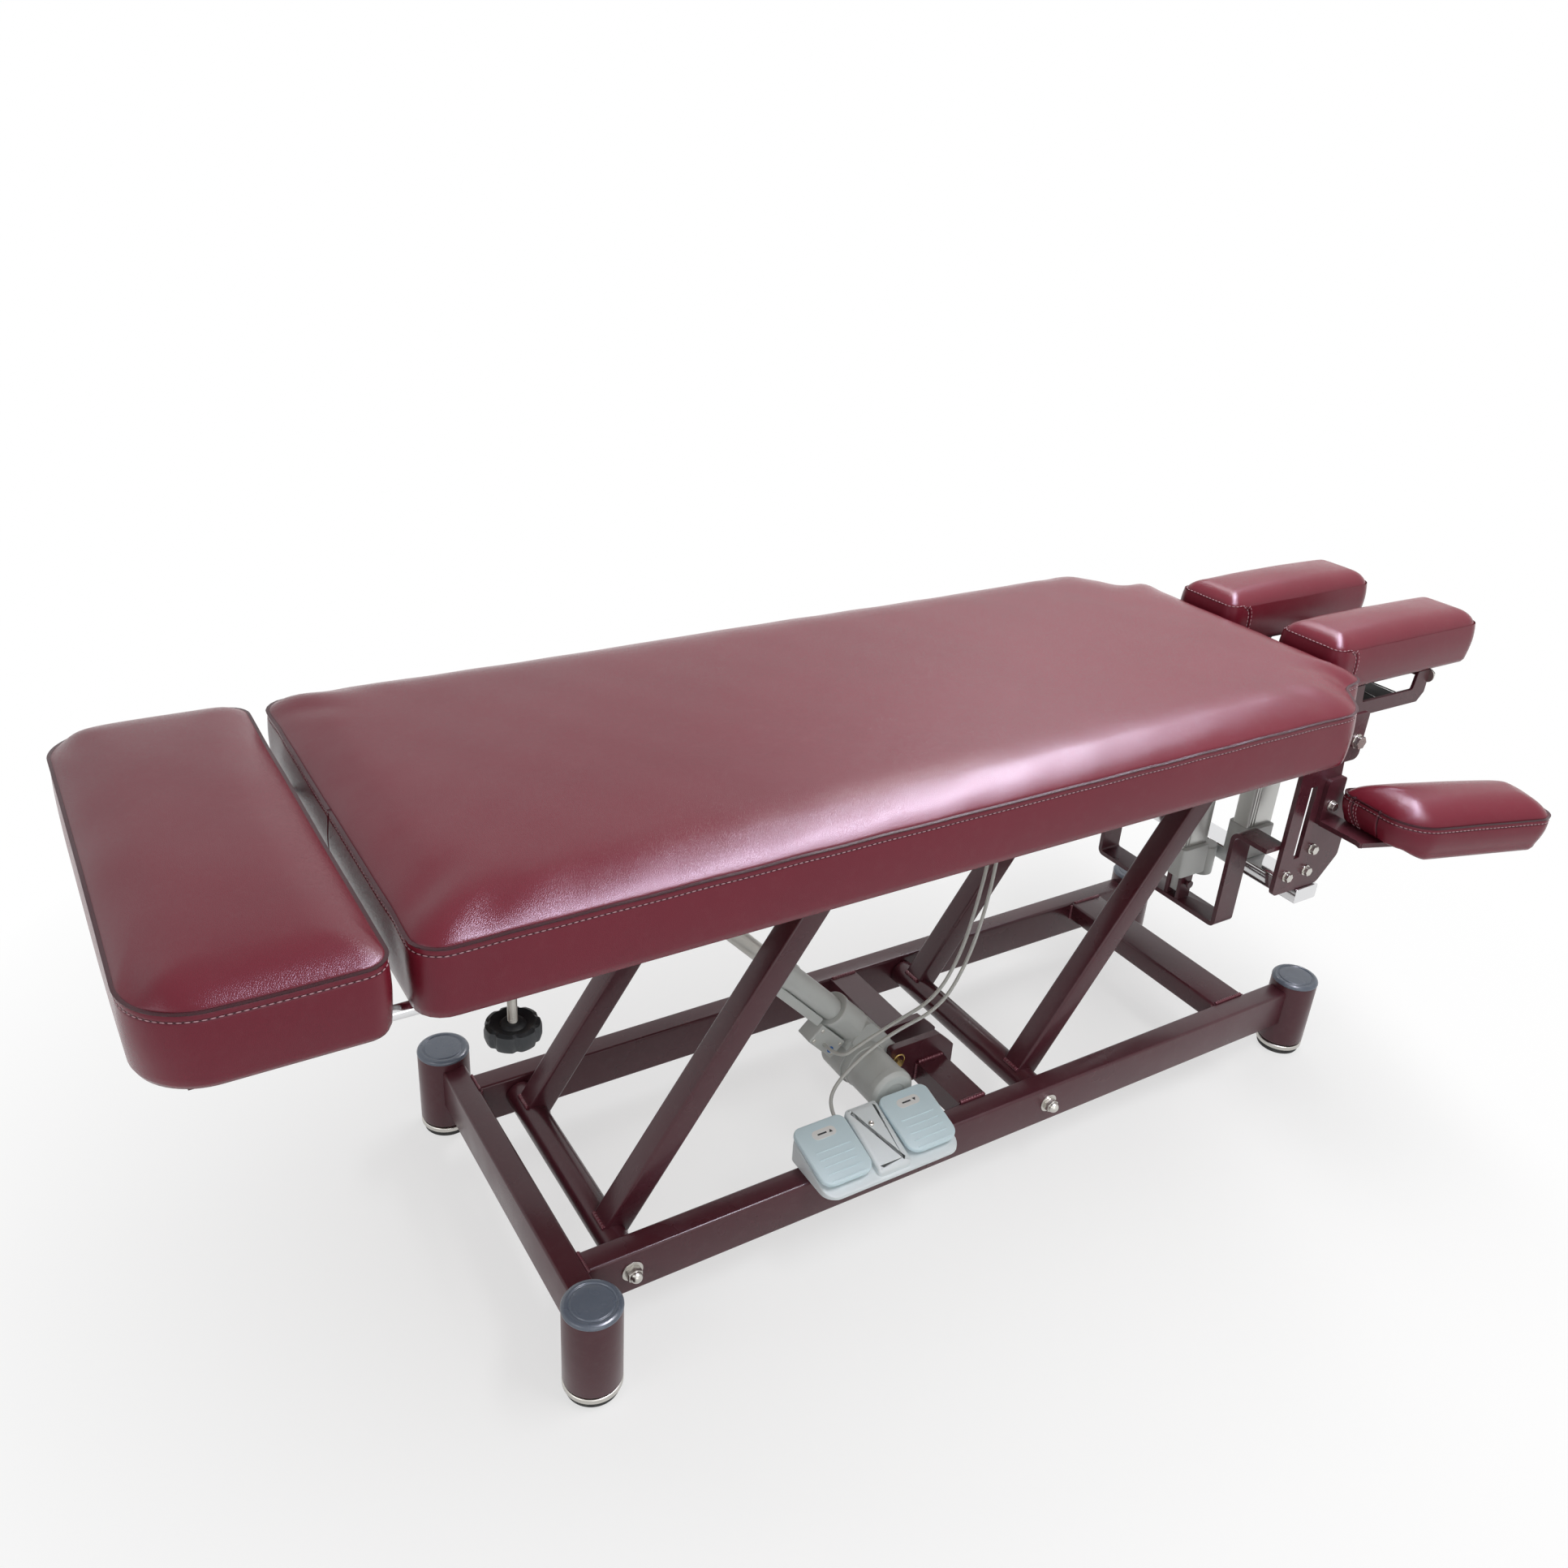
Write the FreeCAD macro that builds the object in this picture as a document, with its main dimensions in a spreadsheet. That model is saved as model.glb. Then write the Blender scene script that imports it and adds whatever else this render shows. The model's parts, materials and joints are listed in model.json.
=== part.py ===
import FreeCAD, Part
import math
import os

import Sketcher

from FreeCAD import Placement, Rotation, Vector

# Height-adjustable treatment table, millimetres.
# Frame: +X towards the head, +Y to the far side, +Z up, floor at Z 0,
# origin under the middle of the table. Near side is -Y.

DOCUMENT = FreeCAD.newDocument("treatment_table")
dims = DOCUMENT.addObject("Spreadsheet::Sheet", "dims")

# A text value is a formula over the other names.
SIZES = [
    ("base_rail_width", 35.4, "rail across"),
    ("base_rail_height", 66.5, "rail deep"),
    ("base_rail_top", 127.2, "rail top above the floor"),
    ("base_rail_outer", 210.8, "rail outer face from the centre line"),
    ("base_wall", 2.5, "wall of the base tubes"),
    ("foot_cross_x", -595.5, "centre of the cross tube at the foot end"),
    ("head_cross_x", 610.0, "centre of the cross tube at the head end"),
    ("head_cross_width", 70.0, "head cross tube lies flat"),
    ("head_cross_height", 35.0, "head cross tube depth"),
    ("post_radius", 38.0, "post tube outside"),
    ("post_wall", 3.0, "post tube wall"),
    ("post_bottom", 22.0, "lower end of the post tube"),
    ("post_top", "=base_rail_top + 10.8", "upper end of the post tube"),
    ("foot_post_x", "=foot_cross_x - 4.5", "posts at the foot end"),
    ("foot_post_y", 271.0, "posts at the foot end, outboard"),
    ("head_post_x", 750.0, "posts at the head end"),
    ("head_post_y", 196.0, "posts at the head end"),
    ("cap_crown", 6.6, "cap above the post tube"),
    ("foot_ring_height", 8.0, "zinc ring over the rubber foot"),
    ("foot_axle_x", "=foot_cross_x + 77.5", "lower axle, foot end"),
    ("axle_spacing", 700.0, "lower axles apart"),
    ("axle_height", "=base_rail_top - 29.2", "lower axles above the floor"),
    ("axle_radius", 8.0, "through bolts"),
    ("running_gap", 0.05, "radial clearance of the running fits"),
    ("side_gap", 0.2, "clearance beside moving pieces"),
    ("pivot_tube_radius", 21.0, "welded tube on each axle"),
    ("pivot_tube_wall", 3.0, "wall of the pivot tubes"),
    ("pivot_plug_length", 24.0, "bored plug in each tube end"),
    ("washer_thickness", 2.0, "thrust washers"),
    ("washer_radius", 17.0, "thrust washers"),
    ("arm_angle", "=asin((top_rail_top - rail_over_axle - axle_height) / arm_length)",
     "lift arms above level, degrees"),
    ("arm_length", 600.0, "lift arms between axles"),
    ("rail_over_axle", 40.41, "top frame rail upper face over the upper axles"),
    ("arm_depth", 38.0, "arm tube in the plane of the lift"),
    ("arm_width", 38.0, "arm tube across"),
    ("arm_wall", 2.5, "arm tube wall"),
    ("arm_outer", 150.0, "arm outer face from the centre line"),
    ("cross_along", "=arm_length - 85", "cross bar along the foot arms"),
    ("cross_length", 36.0, "cross bar section along the arm"),
    ("cross_depth", 30.0, "cross bar section across the arm"),
    ("cross_offset", 4.0, "cross bar off the arm centre"),
    ("drive_y", -37.5, "plane of the lift drive"),
    ("drive_pin_x", -5.5, "lower pin of the lift drive"),
    ("drive_pin_height", "=base_rail_top + 15.8", "lower pin of the lift drive"),
    ("rod_pin_along", 441.2, "upper pin of the lift drive along the foot arms"),
    ("rod_pin_across", 131.1, "upper pin of the lift drive off the foot arms"),
    ("drive_pin_radius", 7.0, "pins of the lift drive"),
    ("drive_tube_radius", 18.0, "outer tube of the lift drive"),
    ("drive_tube_wall", 2.0, "outer tube wall"),
    ("drive_tube_start", 58.0, "outer tube from the lower pin"),
    ("drive_tube_end", 302.0, "mouth of the outer tube"),
    ("drive_rod_radius", 12.5, "push rod"),
    ("drive_rod_start", 256.0, "inner end of the push rod"),
    ("drive_eye_radius", 14.0, "eye of the push rod"),
    ("drive_eye_width", 42.0, "eye of the push rod across"),
    ("lug_thickness", 6.0, "lugs that hold the push rod"),
    ("mount_thickness", 12.0, "plates that hold the drive"),
    ("mount_gap", 35.0, "between the two mount plates"),
    ("mount_start_x", "=drive_pin_x - 12", "mount plates, foot side edge"),
    ("mount_length", 122.0, "mount plates along"),
    ("mount_rise", 40.0, "mount plates above the cross tube"),
    ("mid_cross_x", "=drive_pin_x + 64", "centre of the middle cross tube"),
    ("mid_cross_width", 50.0, "middle cross tube"),
    ("mid_cross_height", 35.0, "middle cross tube"),
    ("motor_x", "=drive_pin_x - 64", "lift motor axis"),
    ("motor_height", "=drive_pin_height + 20", "lift motor axis"),
    ("motor_radius", 36.0, "lift motor"),
    ("motor_length", 84.0, "lift motor"),
    ("gear_width", 50.0, "gear housing across"),
    ("collar_radius", 25.0, "collar of the gear housing"),
    ("collar_end", 159.0, "mouth of the collar"),
    ("guide_rail_depth", 14.0, "flat rail beside the outer tube"),
    ("guide_rail_width", 20.0, "flat rail beside the outer tube"),
    ("top_rail_outer", 200.0, "top frame rail outer face"),
    ("top_rail_width", 30.0, "top frame rail across"),
    ("top_rail_height", 28.0, "top frame rail deep"),
    ("top_rail_top", 637.0, "top frame rail upper face"),
    ("top_rail_start", -700.0, "top frame rail, foot end"),
    ("top_rail_end", 640.0, "top frame rail, head end"),
    ("hanger_lug_thickness", 8.0, "pivot lugs under the top rails"),
    ("member_width", 30.0, "top frame cross members"),
    ("member_mid_x", -20.0, "cross member over the middle of the table"),
    ("member_head_inset", 172.0, "last cross member from the rail ends"),
    ("arm_run", "=sqrt(arm_length ^ 2 - (top_rail_top - rail_over_axle - axle_height) ^ 2)",
     "lift arms between axles, along the table"),
    ("control_to_axle", 310.7784, "control box, foot side, from the upper head axle"),
    ("control_x", "=foot_axle_x + axle_spacing + arm_run - control_to_axle", "control box, foot side"),
    ("control_y", -80.0, "control box, near side"),
    ("control_length", 180.0, "control box"),
    ("control_width", 160.0, "control box"),
    ("control_depth", 60.0, "control box"),
    ("board_thickness", 12.0, "plywood under the cushions"),
    ("board_inset", 22.0, "board edge inside the cushion edge"),
    ("seat_clearance", 0.3, "soft solids above their boards"),
    ("cushion_half_width", 310.0, "cushions from the centre line"),
    ("cushion_top", "=top_rail_top + board_thickness + cushion_thickness", "crown of the cushions"),
    ("cushion_thickness", 100.0, "cushions over their boards"),
    ("cushion_round", 13.0, "rounded upper edge of the cushions"),
    ("main_foot_x", -785.5, "main cushion, foot edge"),
    ("main_head_x", "=top_rail_end + 22", "main cushion, head edge"),
    ("main_shoulder_x", "=main_head_x - 114", "where the main cushion narrows"),
    ("main_neck_x", "=main_head_x - 50", "where the narrowing ends"),
    ("main_head_half", 228.0, "main cushion half width at the head"),
    ("leg_foot_x", -1037.5, "leg cushion, foot edge"),
    ("leg_head_x", "=main_foot_x - 26.5", "leg cushion, inner edge"),
    ("slide_rod_radius", 8.0, "chrome rods of the leg section"),
    ("slide_rod_y", "=top_rail_outer + 50", "chrome rods from the centre line"),
    ("slide_rod_height", "=top_rail_top - sleeve_height / 2", "chrome rods above the floor"),
    ("slide_rod_start", "=leg_foot_x + 37.5", "chrome rods, foot end"),
    ("slide_rod_end", -400.0, "chrome rods, inner end"),
    ("sleeve_x", "=top_rail_start + 22", "first sleeve of each rod"),
    ("sleeve_spacing", 118.0, "sleeves apart"),
    ("sleeve_length", 36.0, "sleeve along the rod"),
    ("sleeve_height", 24.0, "sleeve depth"),
    ("knob_radius", 30.0, "clamp knob"),
    ("knob_height", 22.0, "clamp knob rim"),
    ("knob_top", "=top_rail_top - 63", "upper face of the knob"),
    ("stem_radius", 5.0, "threaded stem of the knob"),
    ("plate_thickness", 8.0, "side plates"),
    ("plate_start_x", "=top_rail_end - 34", "side plates, foot side edge"),
    ("plate_bottom", "=top_rail_top - 287", "side plates, lower edge"),
    ("plate_top", "=top_rail_top - 11", "side plates, upper edge"),
    ("plate_slot_x", "=plate_start_x + 36", "long slot in the side plates"),
    ("plate_slot_width", 15.0, "long slot"),
    ("plate_slot_bottom", "=plate_bottom + 62", "long slot"),
    ("plate_slot_top", "=plate_bottom + 190", "long slot"),
    ("bar_x", "=plate_start_x + 82.5", "chrome cross bar"),
    ("bar_width", 52.0, "chrome cross bar"),
    ("bar_height", 26.0, "chrome cross bar"),
    ("bar_top", "=plate_bottom - 1", "chrome cross bar upper face"),
    ("bar_wall", 2.5, "chrome cross bar wall"),
    ("bar_half_length", "=top_rail_outer + plate_thickness + 4", "chrome cross bar"),
    ("strap_x", "=plate_start_x - 9.5", "strap that carries the tilt column"),
    ("strap_width", 43.0, "strap flat bar"),
    ("strap_thickness", 8.0, "strap flat bar"),
    ("strap_top", "=plate_bottom + 90", "strap upper run"),
    ("strap_bottom", "=strap_top - 174", "strap lower run, underside"),
    ("strap_drop_y", 130.0, "strap legs, outer face"),
    ("column_x", 60.0, "column profile along the table"),
    ("column_y", 32.0, "column profile across the table"),
    ("gearbox_y", 48.0, "column gearbox across the table"),
    ("tilt_column_x", "=strap_x - 6.5", "tilt column"),
    ("tilt_column_y", -38.0, "tilt column"),
    ("tilt_gearbox_bottom", "=strap_bottom + 48", "tilt column gearbox"),
    ("tilt_gearbox_top", "=tilt_gearbox_bottom + 54", "tilt column gearbox"),
    ("tilt_profile_top", "=tilt_gearbox_top + 98", "tilt column profile"),
    ("tilt_rod_radius", 9.0, "tilt rod"),
    ("tilt_motor_radius", 19.0, "motor beside the tilt column"),
    ("height_column_x", "=bar_x", "height column"),
    ("height_column_y", -80.0, "height column"),
    ("height_gearbox_top", "=bar_top + 56", "height column gearbox"),
    ("height_profile_top", "=height_gearbox_top + 115", "height column profile"),
    ("height_inner_x", 42.0, "inner profile of the height column"),
    ("height_inner_y", 20.0, "inner profile of the height column"),
    ("cheek_inner", "=top_rail_outer - 10", "carriage cheeks from the centre line"),
    ("cheek_thickness", 6.0, "carriage cheeks"),
    ("carriage_cross_bottom", "=head_pivot_height + 30", "carriage cross bar"),
    ("carriage_cross_width", 50.0, "carriage cross bar"),
    ("carriage_cross_height", 18.0, "carriage cross bar"),
    ("head_pivot_x", "=bar_x + 46.5", "pivot of the head section"),
    ("head_pivot_height", "=top_rail_top - 41", "pivot of the head section"),
    ("head_tube_radius", 14.0, "pivot tube of the head section"),
    ("lever_reach", "=head_pivot_x - tilt_column_x", "lever from pivot to tilt rod"),
    ("lever_radius", 9.5, "rounded end of the lever"),
    ("lever_slot", 5.0, "half travel of the pin in the lever slot"),
    ("tilt_rod_start", "=tilt_gearbox_top + 17", "lower end of the tilt rod"),
    ("lever_gap", 17.0, "between the two lever plates"),
    ("lever_thickness", 6.0, "lever plates"),
    ("tilt_pin_radius", 4.0, "pin of the tilt rod"),
    ("head_side_y", "=cheek_inner - 40", "head frame side plates"),
    ("head_side_end", "=head_pivot_x + 212", "head frame side plates, far end"),
    ("head_band_bottom", "=head_pivot_height + 16", "head frame side plates"),
    ("head_band_top", "=head_pivot_height + 41", "head frame side plates"),
    ("head_board_bottom", "=head_pivot_height + 72", "boards under the head cushions"),
    ("head_cross_plate", 28.0, "cross plates of the head frame"),
    ("head_plate_thickness", 8.0, "cross plates of the head frame"),
    ("head_board_inset", 11.0, "head boards inside the cushion edge"),
    ("head_cushion_start", "=head_pivot_x - 54.5", "head cushions, foot side"),
    ("head_cushion_end", "=head_cushion_start + 357", "head cushions, far end"),
    ("head_cushion_inner", 46.0, "half the gap between the head cushions"),
    ("head_cushion_outer", 166.0, "head cushions, outer side"),
    ("head_cushion_top", "=head_board_bottom + board_thickness + 85", "crown of the head cushions"),
    ("head_cushion_round", 20.0, "rounded edges of the head cushions"),
    ("armrest_pivot_x", "=plate_start_x + 77", "armrest pivot bolt"),
    ("armrest_pivot_height", "=plate_bottom + 153", "armrest pivot bolt"),
    ("armrest_splay", 20.0, "armrest turned outwards, degrees"),
    ("armrest_top", "=armrest_pivot_height + 47", "crown of the armrests"),
    ("armrest_thickness", 71.0, "armrest cushion"),
    ("armrest_inner_y", "=top_rail_outer + plate_thickness + 9", "inner corner of the armrest"),
    ("armrest_width", 128.0, "armrest cushion across"),
    ("armrest_length", 275.0, "armrest cushion along"),
    ("armrest_bar", 8.0, "armrest flat bar thickness"),
    ("switch_x", -137.0, "middle of the foot switch"),
    ("switch_width", 228.0, "foot switch along the rail"),
    ("switch_back_y", -154.0, "foot switch back edge"),
    ("switch_front_y", "=switch_back_y - 102", "foot switch front edge"),
    ("switch_back_height", 36.0, "foot switch back above the rail"),
    ("pedal_gap", 3.0, "pedals from the ridge between them"),
    ("pedal_width", "=(switch_width - ridge_width) / 2 - pedal_gap", "pedals"),
    ("pedal_thickness", 8.0, "pedals"),
    ("pedal_rise", 48.0, "back of the pedals above the rail"),
    ("pedal_fall", "=pedal_rise - 27", "front of the pedals above the rail"),
    ("ridge_width", 54.0, "ridge between the pedals"),
    ("lead_radius", 2.75, "light grey leads"),
]

dims.set("A1", "size")
dims.set("B1", "value")
dims.set("C1", "what it is")
for row, (name, value, note) in enumerate(SIZES, start=2):
    dims.set(f"A{row}", name)
    dims.setAlias(f"B{row}", name)
    dims.set(f"C{row}", note)
for row, (name, value, note) in enumerate(SIZES, start=2):
    dims.set(f"B{row}", str(value))
DOCUMENT.recompute()


class Sizes:
    """The sheet's values as plain numbers."""

    def __getattr__(self, name):
        return float(getattr(dims, name))


s = Sizes()
NODES = []
X_AXIS = Vector(1, 0, 0)
Y_AXIS = Vector(0, 1, 0)
Z_AXIS = Vector(0, 0, 1)
SIDES = {"near": -1, "far": 1}


def publish(obj, label):
    """Keep an object as one named sub-part."""
    obj.Label = label
    NODES.append(obj)
    return obj


def feature(label, shape, placement=None):
    """A sub-part whose shape is worked out here."""
    return publish(shaped(label, shape, placement), label)


def bound(kind, name, placement, **sizes):
    """Primitive whose sizes follow the sheet."""
    obj = DOCUMENT.addObject(kind, name)
    for size, expression in sizes.items():
        obj.setExpression(size, expression)
    obj.Placement = placement
    return obj


def cylinder(name, radius, height, start, axis=Vector(0, 0, 1)):
    return bound("Part::Cylinder", name, along(axis, start), Radius=radius, Height=height)


def block(name, length, width, height, corner):
    return bound("Part::Box", name, Placement(corner, Rotation()), Length=length, Width=width, Height=height)


def gather(name, members):
    """Several solids of one kind as one object."""
    obj = DOCUMENT.addObject("Part::Compound", name)
    obj.Links = members
    return obj


def cut(name, base, tools):
    obj = DOCUMENT.addObject("Part::Cut", name)
    obj.Base = base
    obj.Tool = tools[0] if len(tools) == 1 else gather(name + "_tools", tools)
    return obj


def shaped(name, shape, placement=None):
    """Part of a sub-part whose shape is worked out here."""
    obj = DOCUMENT.addObject("Part::Feature", name)
    obj.Shape = shape
    obj.Placement = placement or Placement()
    return obj


def along(axis, start):
    """Placement that turns +Z to axis and moves the origin to start."""
    return Placement(start, Rotation(Z_AXIS, axis))


def origin_plane(body, role):
    for item in body.Origin.OriginFeatures:
        if item.Role == role:
            return item
    raise ValueError(role)


def new_sketch(body, role, name):
    sketch = body.newObject("Sketcher::SketchObject", name)
    sketch.AttachmentSupport = [(origin_plane(body, role), "")]
    sketch.MapMode = "FlatFace"
    return sketch


def centred_rectangle(sketch, tag, width, height):
    """Rectangle about the sketch origin, its sides bound to two expressions."""
    corners = [Vector(-1, -1, 0), Vector(1, -1, 0), Vector(1, 1, 0), Vector(-1, 1, 0)]
    first = sketch.GeometryCount
    for index in range(4):
        sketch.addGeometry(Part.LineSegment(corners[index], corners[(index + 1) % 4]), False)
    for index in range(4):
        sketch.addConstraint(
            Sketcher.Constraint("Coincident", first + index, 2, first + (index + 1) % 4, 1)
        )
    for index, kind in enumerate(("Horizontal", "Vertical", "Horizontal", "Vertical")):
        sketch.addConstraint(Sketcher.Constraint(kind, first + index))
    sketch.addConstraint(Sketcher.Constraint("Symmetric", first, 1, first + 1, 2, -1, 1))
    across = sketch.addConstraint(Sketcher.Constraint("DistanceX", first, 1, first, 2, 2.0))
    up = sketch.addConstraint(Sketcher.Constraint("DistanceY", first + 1, 1, first + 1, 2, 2.0))
    sketch.renameConstraint(across, tag + "_width")
    sketch.renameConstraint(up, tag + "_height")
    sketch.setExpression("Constraints." + tag + "_width", width)
    sketch.setExpression("Constraints." + tag + "_height", height)


def pad(body, sketch, length):
    solid = body.newObject("PartDesign::Pad", "pad")
    solid.Profile = sketch
    solid.setExpression("Length", length)
    return solid


def box_tube(label, placement, width, height, wall, length):
    """Rectangular tube: a frame-shaped sketch padded along local +Z."""
    body = DOCUMENT.addObject("PartDesign::Body", label)
    sketch = new_sketch(body, "XY_Plane", "section")
    centred_rectangle(sketch, "outer", width, height)
    centred_rectangle(sketch, "inner", f"{width} - 2 * {wall}", f"{height} - 2 * {wall}")
    pad(body, sketch, length)
    body.Placement = placement
    return body


def box(x0, x1, y0, y1, z0, z1):
    return Part.makeBox(x1 - x0, y1 - y0, z1 - z0, Vector(x0, y0, z0))


def rounded_wire(points, radii):
    """Closed loop through the points, each corner replaced by a tangent arc."""
    count = len(points)
    entries = []
    for index, corner in enumerate(points):
        before = (points[index - 1] - corner).normalize()
        after = (points[(index + 1) % count] - corner).normalize()
        radius = radii[index]
        if radius <= 0:
            entries.append((corner, None, corner))
            continue
        half = before.getAngle(after) / 2
        reach = radius / math.tan(half)
        middle = (before + after).normalize()
        centre = corner + middle * (radius / math.sin(half))
        entries.append((corner + before * reach, centre - middle * radius, corner + after * reach))
    edges = []
    for index, (start, on_arc, end) in enumerate(entries):
        if on_arc is not None:
            edges.append(Part.Arc(start, on_arc, end).toShape())
        following = entries[(index + 1) % count][0]
        if end.distanceToPoint(following) > 1e-6:
            edges.append(Part.LineSegment(end, following).toShape())
    return Part.Wire(edges)


def slab(points, radii, direction):
    """Rounded outline pushed along a vector."""
    return Part.Face(rounded_wire(points, radii)).extrude(direction)


def plate_xz(outline, radii, y_low, thickness):
    """Plate in an XZ plane from (x, z) corners."""
    corners = [Vector(x, y_low, z) for x, z in outline]
    return slab(corners, radii, Vector(0, thickness, 0))


def tapered_link(first, first_radius, second, second_radius, y_low, thickness):
    """Plate whose outline is two circles and their outer tangents, in an XZ plane."""
    reach = second - first
    spread = math.acos((first_radius - second_radius) / reach.Length)
    heading = math.atan2(reach.z, reach.x)

    def on_circle(centre, radius, angle):
        return centre + Vector(radius * math.cos(angle), 0, radius * math.sin(angle))

    lift = Vector(0, y_low, 0)
    upper = [on_circle(first, first_radius, heading + spread) + lift,
             on_circle(second, second_radius, heading + spread) + lift]
    lower = [on_circle(second, second_radius, heading - spread) + lift,
             on_circle(first, first_radius, heading - spread) + lift]
    tip = on_circle(second, second_radius, heading) + lift
    tail = on_circle(first, first_radius, heading + math.pi) + lift
    outline = Part.Wire([
        Part.LineSegment(upper[0], upper[1]).toShape(),
        Part.Arc(upper[1], tip, lower[0]).toShape(),
        Part.LineSegment(lower[0], lower[1]).toShape(),
        Part.Arc(lower[1], tail, upper[0]).toShape(),
    ])
    return Part.Face(outline).extrude(Vector(0, thickness, 0))


def revolved(profile, placement):
    """Solid of revolution about local Z from (radius, height) corners."""
    corners = [Vector(r, 0, z) for r, z in profile]
    face = Part.Face(Part.makePolygon(corners + corners[:1]))
    solid = face.revolve(Vector(0, 0, 0), Z_AXIS, 360)
    solid.Placement = placement
    return solid


def fillet_where(shape, radius, wanted):
    edges = [edge for edge in shape.Edges if wanted(edge)]
    return shape.makeFillet(radius, edges)


def at_height(z):
    """Test for edges that lie wholly in the plane at height z."""
    def test(edge):
        box_of_edge = edge.BoundBox
        return abs(box_of_edge.ZMin - z) < 0.01 and abs(box_of_edge.ZMax - z) < 0.01
    return test


def hex_bolt(across_flats, head_height, washer_radius, placement):
    """Bolt head on its washer, pointing along local +Z."""
    corner = across_flats / math.sqrt(3)
    loop = [Vector(corner * math.cos(math.radians(60 * i)), corner * math.sin(math.radians(60 * i)), 2)
            for i in range(6)]
    head = Part.Face(Part.makePolygon(loop + loop[:1])).extrude(Vector(0, 0, head_height))
    solid = head.fuse(Part.makeCylinder(washer_radius, 2))
    solid = solid.removeSplitter()
    solid.Placement = placement
    return solid


def acorn_nut(across_flats, placement):
    """Washer, hexagon and dome along local +Z, from the face it is tightened on."""
    corner = across_flats / math.sqrt(3)
    loop = [Vector(corner * math.cos(math.radians(60 * i)), corner * math.sin(math.radians(60 * i)), 2)
            for i in range(6)]
    hexagon = Part.Face(Part.makePolygon(loop + loop[:1])).extrude(Vector(0, 0, across_flats * 0.5))
    dome_radius = across_flats * 0.45
    dome_base = 2 + across_flats * 0.5
    dome = Part.makeSphere(dome_radius, Vector(0, 0, dome_base), Z_AXIS, 0, 90, 360)
    washer = Part.makeCylinder(across_flats * 0.78, 2)
    solid = hexagon.fuse([dome, washer]).removeSplitter()
    solid.Placement = placement
    return solid


def cord(label, points, radius):
    """Round tube along straight runs joined by the largest tangent arcs that fit."""
    edges = []
    radii = []
    start = points[0]
    for index in range(1, len(points) - 1):
        before = points[index - 1] - points[index]
        after = points[index + 1] - points[index]
        shorter = min(before.Length, after.Length)
        half_turn = (math.pi - before.getAngle(after)) / 2
        bend = 0.45 * shorter / math.tan(half_turn)
        radii.append(bend)
        before.normalize()
        after.normalize()
        entry = points[index] + before * (0.45 * shorter)
        leave = points[index] + after * (0.45 * shorter)
        middle = (before + after).normalize()
        centre = points[index] + middle * math.hypot(bend, 0.45 * shorter)
        edges.append(Part.LineSegment(start, entry).toShape())
        edges.append(Part.Arc(entry, centre - middle * bend, leave).toShape())
        start = leave
    edges.append(Part.LineSegment(start, points[-1]).toShape())
    path = Part.Wire(edges)
    heading = points[1] - points[0]
    section = Part.Wire(Part.makeCircle(radius, points[0], heading))
    tube = path.makePipeShell([section], True, False)
    expected = math.pi * radius ** 2 * path.Length
    print(label, "length", round(path.Length, 1), "smallest bend radius", round(min(radii), 1),
          "volume ratio", round(tube.Volume / expected, 4))
    return feature(label, tube)


# Base frame

rail_z = s.base_rail_top - s.base_rail_height / 2
rail_y = s.base_rail_outer - s.base_rail_width / 2
foot_cross_inner_x = s.foot_cross_x + s.base_rail_width / 2
rail_inner = s.base_rail_outer - s.base_rail_width
head_axle_x = s.foot_axle_x + s.axle_spacing


def base_rails():
    """Two long rails, coped to the head end posts and drilled for the axles."""
    rails = []
    for side, sign in SIDES.items():
        tube = box_tube(
            "rail_" + side, along(X_AXIS, Vector(foot_cross_inner_x, sign * rail_y, rail_z)),
            "dims.base_rail_height", "dims.base_rail_width", "dims.base_wall",
            "dims.head_post_x - dims.foot_cross_x - dims.base_rail_width / 2")
        tools = [cylinder("cope_rail_" + side, "dims.post_radius", "dims.post_top - dims.post_bottom",
                          Vector(s.head_post_x, sign * s.head_post_y, s.post_bottom))]
        for index, x in enumerate((s.foot_axle_x, head_axle_x)):
            tools.append(cylinder(f"hole_rail_{side}_{index}", "dims.axle_radius", "dims.base_rail_width",
                                  Vector(x, min(sign * s.base_rail_outer, sign * rail_inner), s.axle_height),
                                  Y_AXIS))
        rails.append(cut("drilled_rail_" + side, tube, tools))
    publish(gather("base_rails", rails), "base_rails")


def base_cross_tubes():
    tube = box_tube("foot_tube", along(Y_AXIS, Vector(s.foot_cross_x, -s.foot_post_y, rail_z)),
                    "dims.base_rail_width", "dims.base_rail_height", "dims.base_wall",
                    "2 * dims.foot_post_y")
    copes = [cylinder("cope_foot_" + side, "dims.post_radius", "dims.post_top - dims.post_bottom",
                      Vector(s.foot_post_x, sign * s.foot_post_y, s.post_bottom))
             for side, sign in SIDES.items()]
    foot_tube = cut("foot_cross_tube", tube, copes)
    start = Vector(s.head_cross_x, -rail_inner, s.base_rail_top - s.head_cross_height / 2)
    head_tube = box_tube("head_cross_tube", along(Y_AXIS, start), "dims.head_cross_width",
                         "dims.head_cross_height", "dims.base_wall",
                         "2 * (dims.base_rail_outer - dims.base_rail_width)")
    publish(gather("base_cross_tubes", [foot_tube, head_tube]), "base_cross_tubes")


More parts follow.
